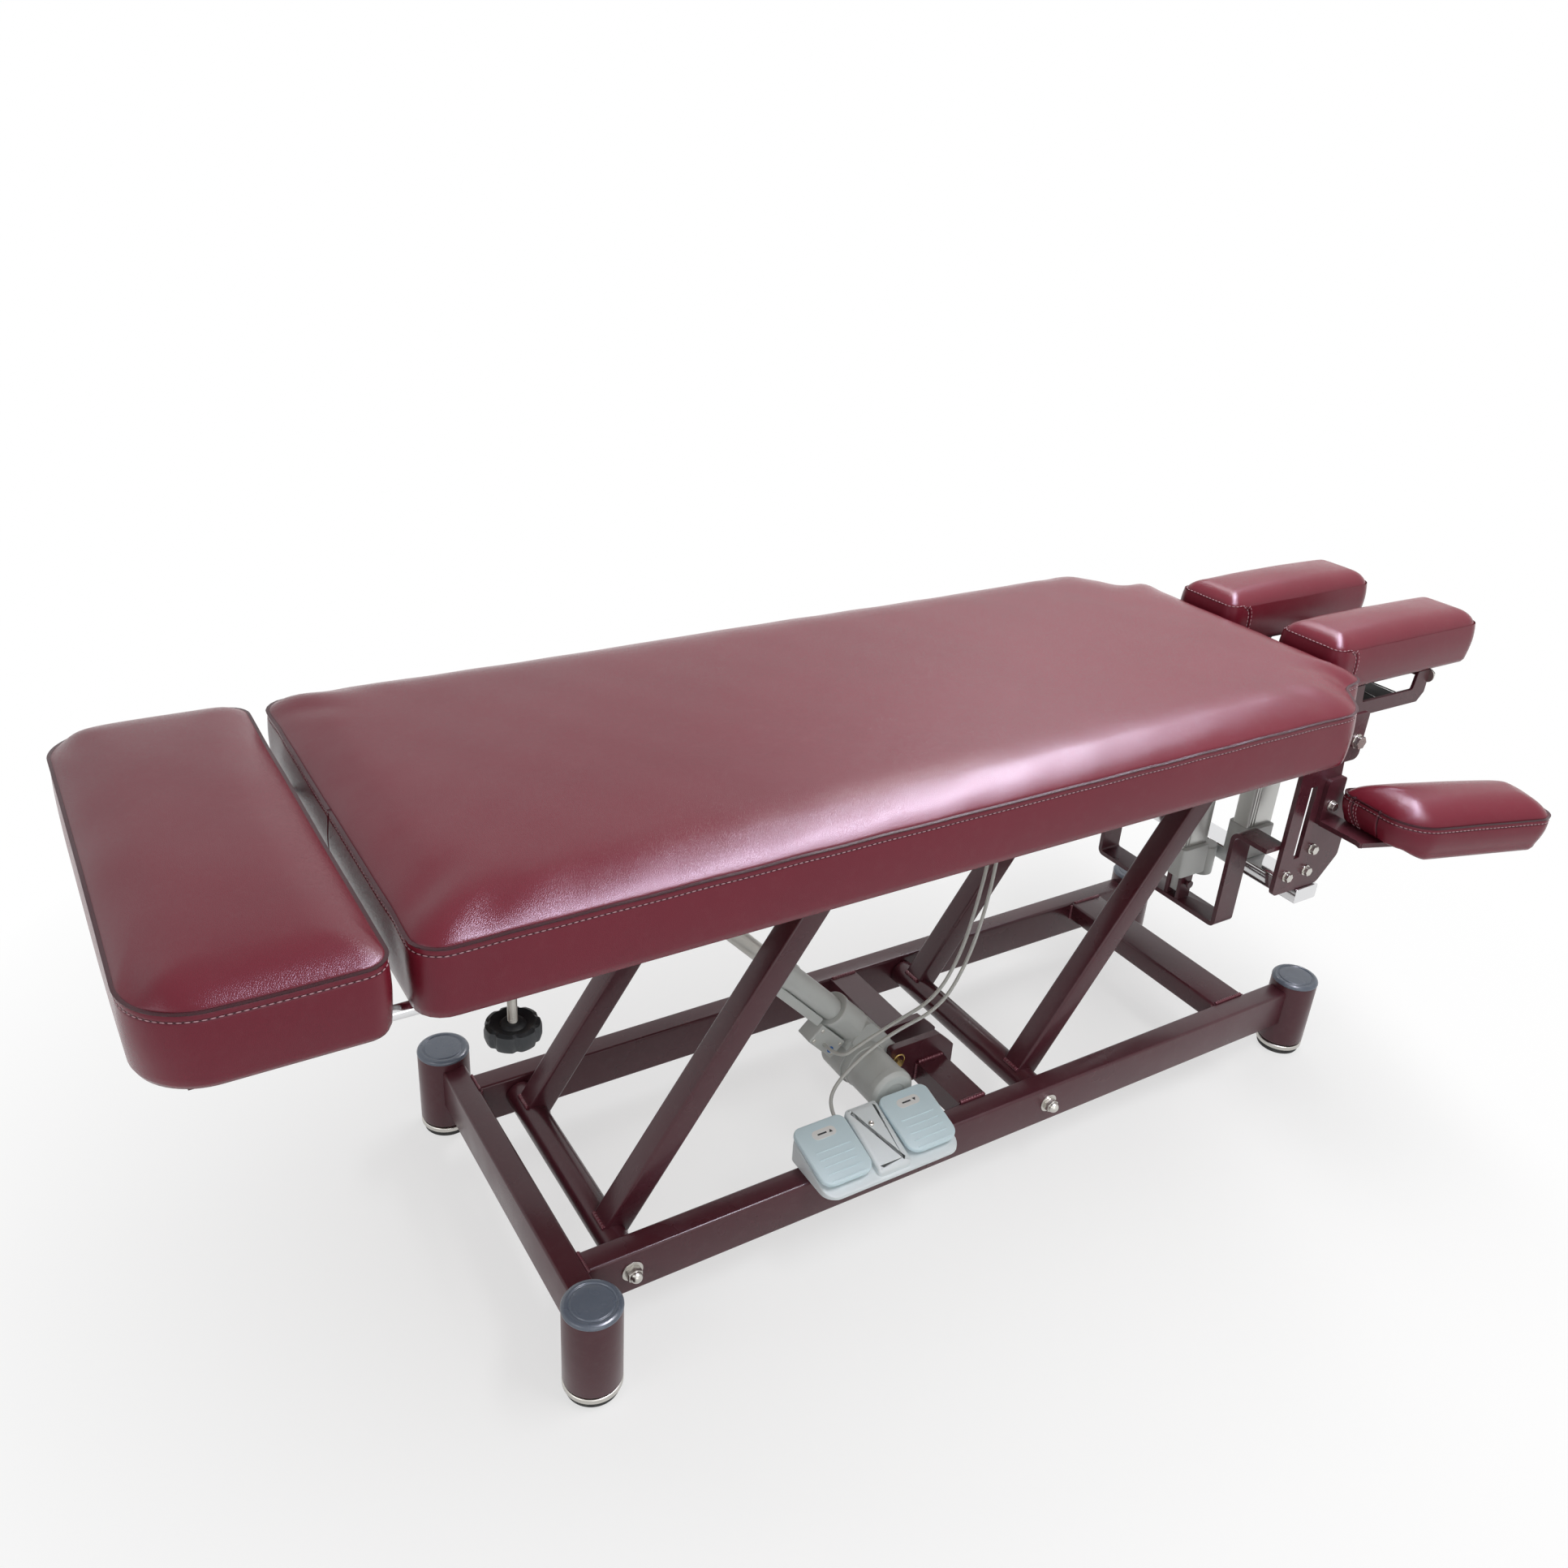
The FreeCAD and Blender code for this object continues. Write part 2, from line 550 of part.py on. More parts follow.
def posts():
    """Four round posts, their caps, rubber feet and zinc rings."""
    places = [(s.foot_post_x, -s.foot_post_y), (s.foot_post_x, s.foot_post_y),
              (s.head_post_x, -s.head_post_y), (s.head_post_x, s.head_post_y)]
    inner = s.post_radius - s.post_wall
    plug = s.post_top - 14
    cap = [(0, plug), (inner, plug), (inner, s.post_top), (s.post_radius, s.post_top),
           (s.post_radius, s.post_top + s.cap_crown * 0.55), (s.post_radius - 3, s.post_top + s.cap_crown),
           (s.post_radius - 8, s.post_top + s.cap_crown),
           (s.post_radius - 9.5, s.post_top + s.cap_crown - 1.2), (0, s.post_top + s.cap_crown - 0.4)]
    ring_low = s.post_bottom - s.foot_ring_height - 3
    foot = [(0, 0), (s.post_radius - 6, 0), (s.post_radius - 3, 3), (s.post_radius - 3, ring_low),
            (0, ring_low)]
    zinc = [(0, ring_low), (s.post_radius, ring_low), (s.post_radius, ring_low + s.foot_ring_height),
            (s.post_radius - 4, ring_low + s.foot_ring_height), (s.post_radius - 4, s.post_bottom),
            (inner, s.post_bottom), (inner, s.post_bottom + 14), (0, s.post_bottom + 14)]
    tubes = []
    turned = {"post_caps": (cap, []), "rubber_feet": (foot, []), "foot_rings": (zinc, [])}
    for index, (x, y) in enumerate(places):
        start = Vector(x, y, s.post_bottom)
        length = "dims.post_top - dims.post_bottom"
        outside = cylinder(f"post_outside_{index}", "dims.post_radius", length, start)
        inside = cylinder(f"post_inside_{index}", "dims.post_radius - dims.post_wall", length, start)
        tubes.append(cut(f"post_{index}", outside, [inside]))
        for name, (profile, solids) in turned.items():
            solids.append(shaped(f"{name}_{index}", revolved(profile, Placement()),
                                 Placement(Vector(x, y, 0), Rotation())))
    publish(gather("posts", tubes), "posts")
    for name, (profile, solids) in turned.items():
        publish(gather(name, solids), name)


def drive_mount():
    """Middle cross tube in two lengths and the two plates that hold the lift drive."""
    half_gap = s.mount_gap / 2
    cross_low = s.base_rail_top - s.mid_cross_height
    pieces = []
    for side, sign in SIDES.items():
        plate_outer = s.drive_y + sign * (half_gap + s.mount_thickness)
        start = plate_outer if sign > 0 else -rail_inner
        signed = "-" if sign > 0 else "+"
        pieces.append(box_tube(
            "mid_tube_" + side,
            along(Y_AXIS, Vector(s.mid_cross_x, start, s.base_rail_top - s.mid_cross_height / 2)),
            "dims.mid_cross_width", "dims.mid_cross_height", "dims.base_wall",
            "dims.base_rail_outer - dims.base_rail_width - dims.mount_gap / 2 - dims.mount_thickness"
            f" {signed} dims.drive_y"))
    start = s.mount_start_x
    end = start + s.mount_length
    top = s.base_rail_top + s.mount_rise
    outline = [(start, cross_low), (end, cross_low), (end, s.base_rail_top + 10), (end - 31, top),
               (start, top)]
    for side, y_low in (("near", s.drive_y - half_gap - s.mount_thickness), ("far", s.drive_y + half_gap)):
        plate = shaped("mount_blank_" + side, plate_xz(outline, [8, 4, 4, 4, 6], y_low, s.mount_thickness))
        bore = cylinder("mount_bore_" + side, "dims.drive_pin_radius", "dims.mount_thickness",
                        Vector(s.drive_pin_x, y_low, s.drive_pin_height), Y_AXIS)
        pieces.append(cut("mount_plate_" + side, plate, [bore]))
    publish(gather("drive_mount", pieces), "drive_mount")
    pin_start = s.drive_y - half_gap - s.mount_thickness - 8
    pin_length = s.mount_gap + 2 * s.mount_thickness + 12
    pin = Part.makeCylinder(s.drive_pin_radius, pin_length,
                            Vector(s.drive_pin_x, pin_start, s.drive_pin_height), Y_AXIS)
    head = Part.makeCylinder(s.drive_pin_radius + 4, 4,
                             Vector(s.drive_pin_x, pin_start + pin_length, s.drive_pin_height), Y_AXIS)
    cotter = Part.makeTorus(s.drive_pin_radius + 3.5, 1.3)
    cotter.Placement = along(Y_AXIS, Vector(s.drive_pin_x, pin_start + 3, s.drive_pin_height + 4.5))
    feature("drive_pin", pin.fuse([head, cotter]))


def axle_set(label, half_reach, reach_expression, height, positions, nut_flats):
    """Through bolts with domed nuts on both ends."""
    pieces = []
    for index, x in enumerate(positions):
        pieces.append(cylinder(f"{label}_bolt_{index}", "dims.axle_radius", reach_expression,
                               Vector(x, -half_reach, height), Y_AXIS))
        for side, sign in SIDES.items():
            pieces.append(shaped(f"{label}_nut_{index}_{side}",
                                 acorn_nut(nut_flats, Placement()),
                                 along(Y_AXIS * sign, Vector(x, sign * half_reach, height))))
    publish(gather(label, pieces), label)


def thrust_washers(label, outer_face, height, positions):
    washers = []
    for index, x in enumerate(positions):
        for side, sign in SIDES.items():
            start = Vector(x, sign * (outer_face - s.washer_thickness), height)
            tag = f"{label}_{index}_{side}"
            outward = Y_AXIS * sign
            disc = cylinder(tag + "_disc", "dims.washer_radius", "dims.washer_thickness", start, outward)
            bore = cylinder(tag + "_bore", "dims.axle_radius", "dims.washer_thickness", start, outward)
            washers.append(cut(tag, disc, [bore]))
    publish(gather(label, washers), label)


# Lift arms

arm_turn = Rotation(Vector(0, -1, 0), s.arm_angle)
upper_offset = Vector(s.arm_length * math.cos(math.radians(s.arm_angle)), 0,
                      s.arm_length * math.sin(math.radians(s.arm_angle)))
upper_height = s.axle_height + upper_offset.z
foot_upper_x = s.foot_axle_x + upper_offset.x
head_upper_x = head_axle_x + upper_offset.x
lug_outer = s.top_rail_outer - s.top_rail_width
lug_inner = lug_outer - s.hanger_lug_thickness
lower_tube_half = rail_inner - s.washer_thickness - s.side_gap
upper_tube_half = lug_inner - s.washer_thickness - s.side_gap


def pivot_tube(half):
    """Tube along Y with a bored plug in each end."""
    tube = Part.makeCylinder(s.pivot_tube_radius, 2 * half, Vector(0, -half, 0), Y_AXIS)
    bore = Part.makeCylinder(s.axle_radius + s.running_gap, 2 * half, Vector(0, -half, 0), Y_AXIS)
    hollow = half - s.pivot_plug_length
    core = Part.makeCylinder(s.pivot_tube_radius - s.pivot_tube_wall, 2 * hollow,
                             Vector(0, -hollow, 0), Y_AXIS)
    return tube.cut(bore).cut(core)


def lift_arm(name, sign, placement):
    """Square tube between the axles, its ends coped to the pivot tubes."""
    middle = sign * (s.arm_outer - s.arm_width / 2)
    tube = box_tube(name + "_tube", placement.multiply(along(X_AXIS, Vector(0, middle, 0))),
                    "dims.arm_depth", "dims.arm_width", "dims.arm_wall", "dims.arm_length")
    copes = []
    for index, x in enumerate((0, s.arm_length)):
        cope = cylinder(f"{name}_cope_{index}", "dims.pivot_tube_radius", "dims.arm_width", Vector(), Y_AXIS)
        cope.Placement = placement.multiply(along(Y_AXIS, Vector(x, middle - s.arm_width / 2, 0)))
        copes.append(cope)
    return cut(name, tube, copes)


def arm_pair(name, axle_x):
    """Welded frame of two arms and the pivot tubes at both ends."""
    placement = Placement(Vector(axle_x, 0, s.axle_height), arm_turn)
    upper = Placement(placement.multVec(Vector(s.arm_length, 0, 0)), arm_turn)
    pieces = [shaped(name + "_lower_tube", pivot_tube(lower_tube_half), placement),
              shaped(name + "_upper_tube", pivot_tube(upper_tube_half), upper)]
    for side, sign in SIDES.items():
        pieces.append(lift_arm(f"{name}_arm_{side}", sign, placement))
    publish(gather(name + "_arm_frame", pieces), name + "_arm_frame")


foot_arm_place = Placement(Vector(s.foot_axle_x, 0, s.axle_height), arm_turn)
rod_pin_local = Vector(s.rod_pin_along, 0, s.rod_pin_across)
drive_run = foot_arm_place.multVec(rod_pin_local) - Vector(s.drive_pin_x, 0, s.drive_pin_height)
drive_length = drive_run.Length
drive_angle = math.degrees(math.atan2(drive_run.z, drive_run.x))


def foot_arm_cross():
    """Cross bar between the foot arms and the two lugs that take the push rod."""
    inner = s.arm_outer - s.arm_width
    half_along = s.cross_length / 2
    half_depth = s.cross_depth / 2
    start = along(Y_AXIS, Vector(s.cross_along, -inner, s.cross_offset))
    bar = box_tube("cross_bar_tube", foot_arm_place.multiply(start), "dims.cross_length",
                   "dims.cross_depth", "dims.arm_wall", "2 * (dims.arm_outer - dims.arm_width)")
    solid_bar = box(s.cross_along - half_along, s.cross_along + half_along, -inner, inner,
                    s.cross_offset - half_depth, s.cross_offset + half_depth)
    root = Vector(s.cross_along, 0, s.cross_offset + half_depth)
    tip = Vector(rod_pin_local.x, 0, rod_pin_local.z)
    reach = s.drive_eye_width / 2 + 0.5
    lugs = []
    for y_low in (s.drive_y - reach - s.lug_thickness, s.drive_y + reach):
        lug = tapered_link(root, half_along, tip, s.drive_eye_radius, y_low, s.lug_thickness)
        lug = lug.cut(solid_bar).cut(box(0, s.arm_length, -inner, inner, -s.arm_depth * 2,
                                         s.cross_offset + half_depth))
        bore = Part.makeCylinder(s.drive_pin_radius - 1, s.lug_thickness,
                                 Vector(tip.x, y_low, tip.z), Y_AXIS)
        lugs.append(lug.cut(bore))
    lugs = shaped("drive_lugs", Part.makeCompound(lugs), foot_arm_place)
    publish(gather("foot_cross_bar", [bar, lugs]), "foot_cross_bar")
    half_pin = reach + s.lug_thickness + 5
    pin = Part.makeCylinder(s.drive_pin_radius - 1, 2 * half_pin,
                            Vector(tip.x, s.drive_y - half_pin, tip.z), Y_AXIS)
    head = Part.makeCylinder(s.drive_pin_radius + 3, 5,
                             Vector(tip.x, s.drive_y - half_pin, tip.z), Y_AXIS)
    feature("rod_pin", pin.fuse(head).removeSplitter(), foot_arm_place)


# Lift drive, built in its own frame: +X along the drive from the lower pin, +Z across it

drive_place = Placement(Vector(s.drive_pin_x, 0, s.drive_pin_height),
                        Rotation(Vector(0, -1, 0), drive_angle))
motor_local = drive_place.inverse().multVec(Vector(s.motor_x, 0, s.motor_height))


def lift_drive():
    half_gear = s.gear_width / 2
    tube_radius = s.drive_tube_radius
    tube_place = drive_place.multiply(along(X_AXIS, Vector(s.drive_tube_start, s.drive_y, 0)))
    length = "dims.drive_tube_end - dims.drive_tube_start"
    outside = bound("Part::Cylinder", "drive_tube_outside", tube_place, Radius="dims.drive_tube_radius",
                    Height=length)
    inside = bound("Part::Cylinder", "drive_tube_inside", tube_place,
                   Radius="dims.drive_tube_radius - dims.drive_tube_wall", Height=length)
    publish(cut("drive_outer_tube", outside, [inside]), "drive_outer_tube")

    ear_half = s.mount_gap / 2 - s.side_gap
    ear = tapered_link(Vector(0, 0, 0), 18, Vector(48, 0, 0), 20, s.drive_y - ear_half, 2 * ear_half)
    neck = Vector(38, 0, 0)
    corners = [(neck.x, -22), (neck.x, 22), (104, 22), (104, -22)]
    block = plate_xz(corners, [8, 8, 10, 10], s.drive_y - half_gear, s.gear_width)
    motor_side = 1 if motor_local.z > 0 else -1
    boss = Part.makeCylinder(s.motor_radius + 3, s.gear_width,
                             Vector(motor_local.x, s.drive_y - half_gear, motor_local.z), Y_AXIS)
    web = plate_xz([(neck.x, 0), (104, 0), (104, motor_side * 34), (neck.x, motor_side * 34)],
                   [0, 0, 8, 8], s.drive_y - half_gear + 4, s.gear_width - 8)
    collar = Part.makeCylinder(s.collar_radius, s.collar_end - 100, Vector(100, s.drive_y, 0), X_AXIS)
    housing = ear.fuse(block).fuse(web).fuse(boss).fuse(collar)
    housing = housing.cut(Part.makeCylinder(tube_radius, s.collar_end - s.drive_tube_start,
                                            Vector(s.drive_tube_start, s.drive_y, 0), X_AXIS))
    housing = housing.cut(Part.makeCylinder(s.drive_pin_radius + s.running_gap, 2 * ear_half,
                                            Vector(0, s.drive_y - ear_half, 0), Y_AXIS))
    feature("drive_gear_housing", housing, drive_place)

    motor_start = s.drive_y - half_gear
    motor = Part.makeCylinder(s.motor_radius, s.motor_length,
                              Vector(motor_local.x, motor_start, motor_local.z), Vector(0, -1, 0))
    end_y = motor_start - s.motor_length
    motor = fillet_where(motor, 4, lambda edge: abs(edge.BoundBox.YMax - end_y) < 0.01)
    feature("drive_motor", motor, drive_place)

    side = motor_side
    junction_end = s.collar_end + 9
    low, high = sorted((side * tube_radius, side * (tube_radius + s.guide_rail_depth)))
    half_rail = s.guide_rail_width / 2
    rail = box(junction_end + s.seat_clearance, s.drive_tube_end - 8, s.drive_y - half_rail,
               s.drive_y + half_rail, low, high)
    rail = shaped("drive_guide_rail", rail, drive_place)
    low, high = sorted((side * s.collar_radius, side * 57))
    junction = box(106, junction_end, s.drive_y - 17, s.drive_y + 15, low, high)
    junction = fillet_where(junction, 3, lambda edge: abs(edge.BoundBox.XMax - edge.BoundBox.XMin) < 0.01
                            and abs(edge.BoundBox.YMax - edge.BoundBox.YMin) < 0.01)
    publish(gather("drive_junction_box", [rail, shaped("junction", junction, drive_place)]),
            "drive_junction_box")

    rod_length = drive_length - s.drive_rod_start
    rod = Part.makeCylinder(s.drive_rod_radius, rod_length, Vector(s.drive_rod_start, s.drive_y, 0), X_AXIS)
    eye = Part.makeCylinder(s.drive_eye_radius, s.drive_eye_width,
                            Vector(drive_length, s.drive_y - s.drive_eye_width / 2, 0), Y_AXIS)
    pin_bore = Part.makeCylinder(s.drive_pin_radius - 1 + s.running_gap, s.drive_eye_width,
                                 Vector(drive_length, s.drive_y - s.drive_eye_width / 2, 0), Y_AXIS)
    feature("drive_push_rod", rod.fuse(eye).cut(pin_bore).removeSplitter(), drive_place)


# Top frame

rail_bottom = s.top_rail_top - s.top_rail_height
board_top = s.top_rail_top + s.board_thickness


def top_frame():
    """Rails, pivot lugs, cross members, rod sleeves and the control box under the table."""
    rail_mid = s.top_rail_outer - s.top_rail_width / 2
    mid_height = s.top_rail_top - s.top_rail_height / 2
    rails = [box_tube("top_tube_" + side,
                      along(X_AXIS, Vector(s.top_rail_start, sign * rail_mid, mid_height)),
                      "dims.top_rail_height", "dims.top_rail_width", "dims.base_wall",
                      "dims.top_rail_end - dims.top_rail_start")
             for side, sign in SIDES.items()]
    publish(gather("top_rails", rails), "top_rails")
    lugs = []
    for x in (foot_upper_x, head_upper_x):
        for sign in SIDES.values():
            low = min(sign * lug_outer, sign * lug_inner)
            outline = [(x - 30, s.top_rail_top), (x - 22, upper_height - 22), (x + 22, upper_height - 22),
                       (x + 30, s.top_rail_top)]
            lug = plate_xz(outline, [0, 12, 12, 0], low, s.hanger_lug_thickness)
            hole = Part.makeCylinder(s.axle_radius, s.hanger_lug_thickness,
                                     Vector(x, low, upper_height), Y_AXIS)
            lugs.append(lug.cut(hole))
    feature("top_pivot_lugs", Part.makeCompound(lugs))
    sleeve_mid = s.sleeve_x + s.sleeve_spacing
    members = [box_tube(f"member_{index}", along(Y_AXIS, Vector(x, -lug_outer, mid_height)),
                        "dims.member_width", "dims.top_rail_height", "dims.base_wall",
                        "2 * (dims.top_rail_outer - dims.top_rail_width)")
               for index, x in enumerate((s.sleeve_x, sleeve_mid, s.member_mid_x,
                                          s.control_x + s.control_length / 2,
                                          s.top_rail_end - s.member_head_inset))]
    publish(gather("top_cross_members", members), "top_cross_members")
    sleeves = []
    half = s.sleeve_length / 2
    for x in (s.sleeve_x, sleeve_mid):
        for sign in SIDES.values():
            low, high = sorted((sign * s.top_rail_outer, sign * (s.slide_rod_y + 16)))
            sleeve = box(x - half, x + half, low, high, s.top_rail_top - s.sleeve_height, s.top_rail_top)
            bore = Part.makeCylinder(s.slide_rod_radius + s.running_gap, s.sleeve_length,
                                     Vector(x - half, sign * s.slide_rod_y, s.slide_rod_height), X_AXIS)
            sleeve = sleeve.cut(bore)
            if sign < 0 and x == s.sleeve_x:
                hole = Part.makeCylinder(s.stem_radius + s.running_gap, s.sleeve_height,
                                         Vector(x, -s.slide_rod_y, s.top_rail_top - s.sleeve_height - 1))
                sleeve = sleeve.cut(hole.cut(box(x - half, x + half, low, high, s.slide_rod_height,
                                                 s.top_rail_top)))
            sleeves.append(sleeve)
    feature("slide_sleeves", Part.makeCompound(sleeves))
    low = Vector(s.control_x, s.control_y, rail_bottom - s.control_depth)
    control = box(low.x, low.x + s.control_length, low.y, low.y + s.control_width, low.z, rail_bottom)
    control = fillet_where(control, 6, lambda edge: edge.BoundBox.ZMax - edge.BoundBox.ZMin > 1)
    feature("control_box", control)


def main_outline(inset, z):
    """Plan of the main cushion: square foot end, shoulders that narrow to the head edge."""
    wide = s.cushion_half_width - inset
    narrow = s.main_head_half - inset
    foot = s.main_foot_x + inset
    head = s.main_head_x - inset
    near = [(foot, -wide), (s.main_shoulder_x, -wide), (s.main_neck_x, -narrow - 8), (head, -narrow)]
    far = [(x, -y) for x, y in reversed(near)]
    points = [Vector(x, y, z) for x, y in near + far]
    radii = [25, 60, 45, 22]
    return points, radii + radii[::-1]


def cushion_solid(points, radii, top, edge_round):
    """Closed cushion: plan outline pushed up, upper edge rounded."""
    solid = slab(points, radii, Vector(0, 0, top - points[0].z))
    return fillet_where(solid, edge_round, at_height(top))


def cushion(label, points, radii, top, edge_round):
    return feature(label, cushion_solid(points, radii, top, edge_round))


def main_section():
    base = board_top + s.seat_clearance
    points, radii = main_outline(0, base)
    cushion("main_cushion", points, radii, s.cushion_top, s.cushion_round)
    points, radii = main_outline(s.board_inset, s.top_rail_top)
    feature("main_board", slab(points, radii, Vector(0, 0, s.board_thickness)))


def leg_section():
    wide = s.cushion_half_width
    base = board_top + s.seat_clearance
    corners = [(s.leg_foot_x, -wide), (s.leg_head_x, -wide), (s.leg_head_x, wide), (s.leg_foot_x, wide)]
    cushion("leg_cushion", [Vector(x, y, base) for x, y in corners], [62, 20, 20, 62], s.cushion_top,
            s.cushion_round)
    inset = s.board_inset
    board = box(s.leg_foot_x + inset, s.leg_head_x - inset, -wide + inset, wide - inset, s.top_rail_top,
                board_top)
    feature("leg_board", fillet_where(board, 40, lambda edge: edge.BoundBox.ZMax - edge.BoundBox.ZMin > 1))
    rods = []
    blocks = []
    for side, sign in SIDES.items():
        start = Vector(s.slide_rod_start, sign * s.slide_rod_y, s.slide_rod_height)
        rods.append(cylinder("slide_rod_" + side, "dims.slide_rod_radius",
                             "dims.slide_rod_end - dims.slide_rod_start", start, X_AXIS))
        core = Part.makeCylinder(s.slide_rod_radius, s.slide_rod_end - s.slide_rod_start, start, X_AXIS)
        for x in (s.slide_rod_start + 10, s.leg_head_x - inset - 40):
            holder = box(x, x + 28, sign * s.slide_rod_y - 15, sign * s.slide_rod_y + 15,
                        s.slide_rod_height - 12, s.top_rail_top)
            blocks.append(holder.cut(core))
    publish(gather("slide_rods", rods), "slide_rods")
    feature("rod_blocks", Part.makeCompound(blocks))


def clamp_knob():
    """Scalloped hand knob on a threaded stem."""
    rim = Part.makeCylinder(s.knob_radius, s.knob_height)
    for index in range(6):
        angle = math.radians(60 * index + 30)
        notch = Vector((s.knob_radius + 7) * math.cos(angle), (s.knob_radius + 7) * math.sin(angle), 0)
        rim = rim.cut(Part.makeCylinder(11, s.knob_height, notch))
    rim = rim.cut(Part.makeCylinder(s.knob_radius - 8, s.knob_height - 8, Vector(0, 0, 8)))
    hub = Part.makeCylinder(11, s.knob_height)
    ribs = [box(-s.knob_radius + 6, s.knob_radius - 6, -2, 2, 4, s.knob_height - 4)]
    for angle in (60, 120):
        rib = ribs[0].copy()
        rib.rotate(Vector(0, 0, 0), Z_AXIS, angle)
        ribs.append(rib)
    stem_top = s.slide_rod_height - s.slide_rod_radius - 0.5 - (s.knob_top - s.knob_height)
    stem = Part.makeCylinder(s.stem_radius, stem_top)
    knob = rim.fuse([hub] + ribs + [stem]).removeSplitter()
    feature("clamp_knob", knob, Placement(Vector(s.sleeve_x, -s.slide_rod_y, s.knob_top - s.knob_height),
                                          Rotation()))


# Head end

def side_plate_outline():
    left = s.plate_start_x
    low = s.plate_bottom
    return [(left, low), (left + 106, low), (left + 144, low + 44), (left + 144, low + 110),
            (left + 97, s.plate_top - 80), (left + 88, s.plate_top), (left + 30, s.plate_top),
            (left, s.top_rail_top - 40)]


def side_plates():
    """Plates on the outside of the top rails, with the long slot and the oval for the glide."""
    plates = []
    for side, sign in SIDES.items():
        y_low = min(sign * s.top_rail_outer, sign * (s.top_rail_outer + s.plate_thickness))
        plate = plate_xz(side_plate_outline(), [10, 14, 14, 20, 12, 20, 8, 8], y_low, s.plate_thickness)
        half = s.plate_slot_width / 2
        slot_low = s.plate_slot_x - half
        slot_high = s.plate_slot_x + half
        slot = plate_xz([(slot_low, s.plate_slot_bottom), (slot_high, s.plate_slot_bottom),
                         (slot_high, s.plate_slot_top), (slot_low, s.plate_slot_top)],
                        [1, 1, 1, 1], y_low, s.plate_thickness)
        plate = plate.cut(slot).cut(glide_oval(11, 13, y_low, s.plate_thickness))
        plates.append(shaped("side_plate_" + side, plate))
    publish(gather("side_plates", plates), "side_plates")


glide_x = s.plate_start_x + 66
glide_height = s.plate_top - 34


def glide_oval(radius, half_straight, y_low, thickness):
    corners = [(glide_x - radius, glide_height - half_straight - radius),
               (glide_x + radius, glide_height - half_straight - radius),
               (glide_x + radius, glide_height + half_straight + radius),
               (glide_x - radius, glide_height + half_straight + radius)]
    return plate_xz(corners, [radius * 0.98] * 4, y_low, thickness)


def carriage_glides():
    """Black oval glides set in the side plates; the carriage cheeks run against them."""
    cheek_outer = s.cheek_inner + s.cheek_thickness
    glides = []
    for sign in SIDES.values():
        inner_face = cheek_outer + s.side_gap
        outer_face = s.top_rail_outer + s.plate_thickness - 2
        low, high = sorted((sign * inner_face, sign * s.top_rail_outer))
        pad_block = glide_oval(13, 22, low, high - low)
        low, high = sorted((sign * s.top_rail_outer, sign * outer_face))
        glides.append(pad_block.fuse(glide_oval(10.9, 13, low, high - low)).removeSplitter())
    feature("carriage_glides", Part.makeCompound(glides))


def cross_bar():
    """Chrome bar across the table under the side plates, and the bolts of the plates."""
    bar = box_tube("chrome_cross_bar",
                   along(Y_AXIS, Vector(s.bar_x, -s.bar_half_length, s.bar_top - s.bar_height / 2)),
                   "dims.bar_width", "dims.bar_height", "dims.bar_wall", "2 * dims.bar_half_length")
    publish(bar, "chrome_cross_bar")
    outer = s.top_rail_outer + s.plate_thickness
    bolts = []
    for sign in SIDES.values():
        for x, z in ((s.bar_x - 12, s.plate_bottom + 72), (s.bar_x - 14, s.plate_bottom + 33),
                     (s.plate_start_x + 22, s.plate_bottom + 33)):
            bolts.append(hex_bolt(13, 7, 9, along(Y_AXIS * sign, Vector(x, sign * outer, z))))
    return shaped("plate_bolts", Part.makeCompound(bolts))


def strap():
    """Flat bar bent down between the side plates: it carries the foot of the tilt column."""
    edge = s.top_rail_outer
    drop = s.strap_drop_y
    thick = s.strap_thickness
    x_low = s.strap_x - s.strap_width / 2
    outer = [(-edge, s.strap_top), (-drop, s.strap_top), (-drop, s.strap_bottom), (drop, s.strap_bottom),
             (drop, s.strap_top), (edge, s.strap_top)]
    inner = [(edge, s.strap_top - thick), (drop + thick, s.strap_top - thick)]
    path = [Vector(x_low, y, z) for y, z in outer]
    path += [Vector(x_low, y, z) for y, z in inner]
    lower = [(drop + thick, s.strap_bottom - thick), (-drop - thick, s.strap_bottom - thick),
             (-drop - thick, s.strap_top - thick), (-edge, s.strap_top - thick)]
    path += [Vector(x_low, y, z) for y, z in lower]
    radii = [0, 16, 4, 4, 16, 0, 0, 8, 12, 12, 8, 0]
    bar = slab(path, radii, Vector(s.strap_width, 0, 0))
    post = box(s.tilt_column_x - 13, s.tilt_column_x + 13, s.tilt_column_y - 16, s.tilt_column_y - 9,
               s.strap_bottom, s.tilt_gearbox_bottom - 2)
    other = box(s.tilt_column_x - 13, s.tilt_column_x + 13, s.tilt_column_y + 9, s.tilt_column_y + 16,
                s.strap_bottom, s.tilt_gearbox_bottom - 2)
    return bar.fuse([post, other]).removeSplitter()


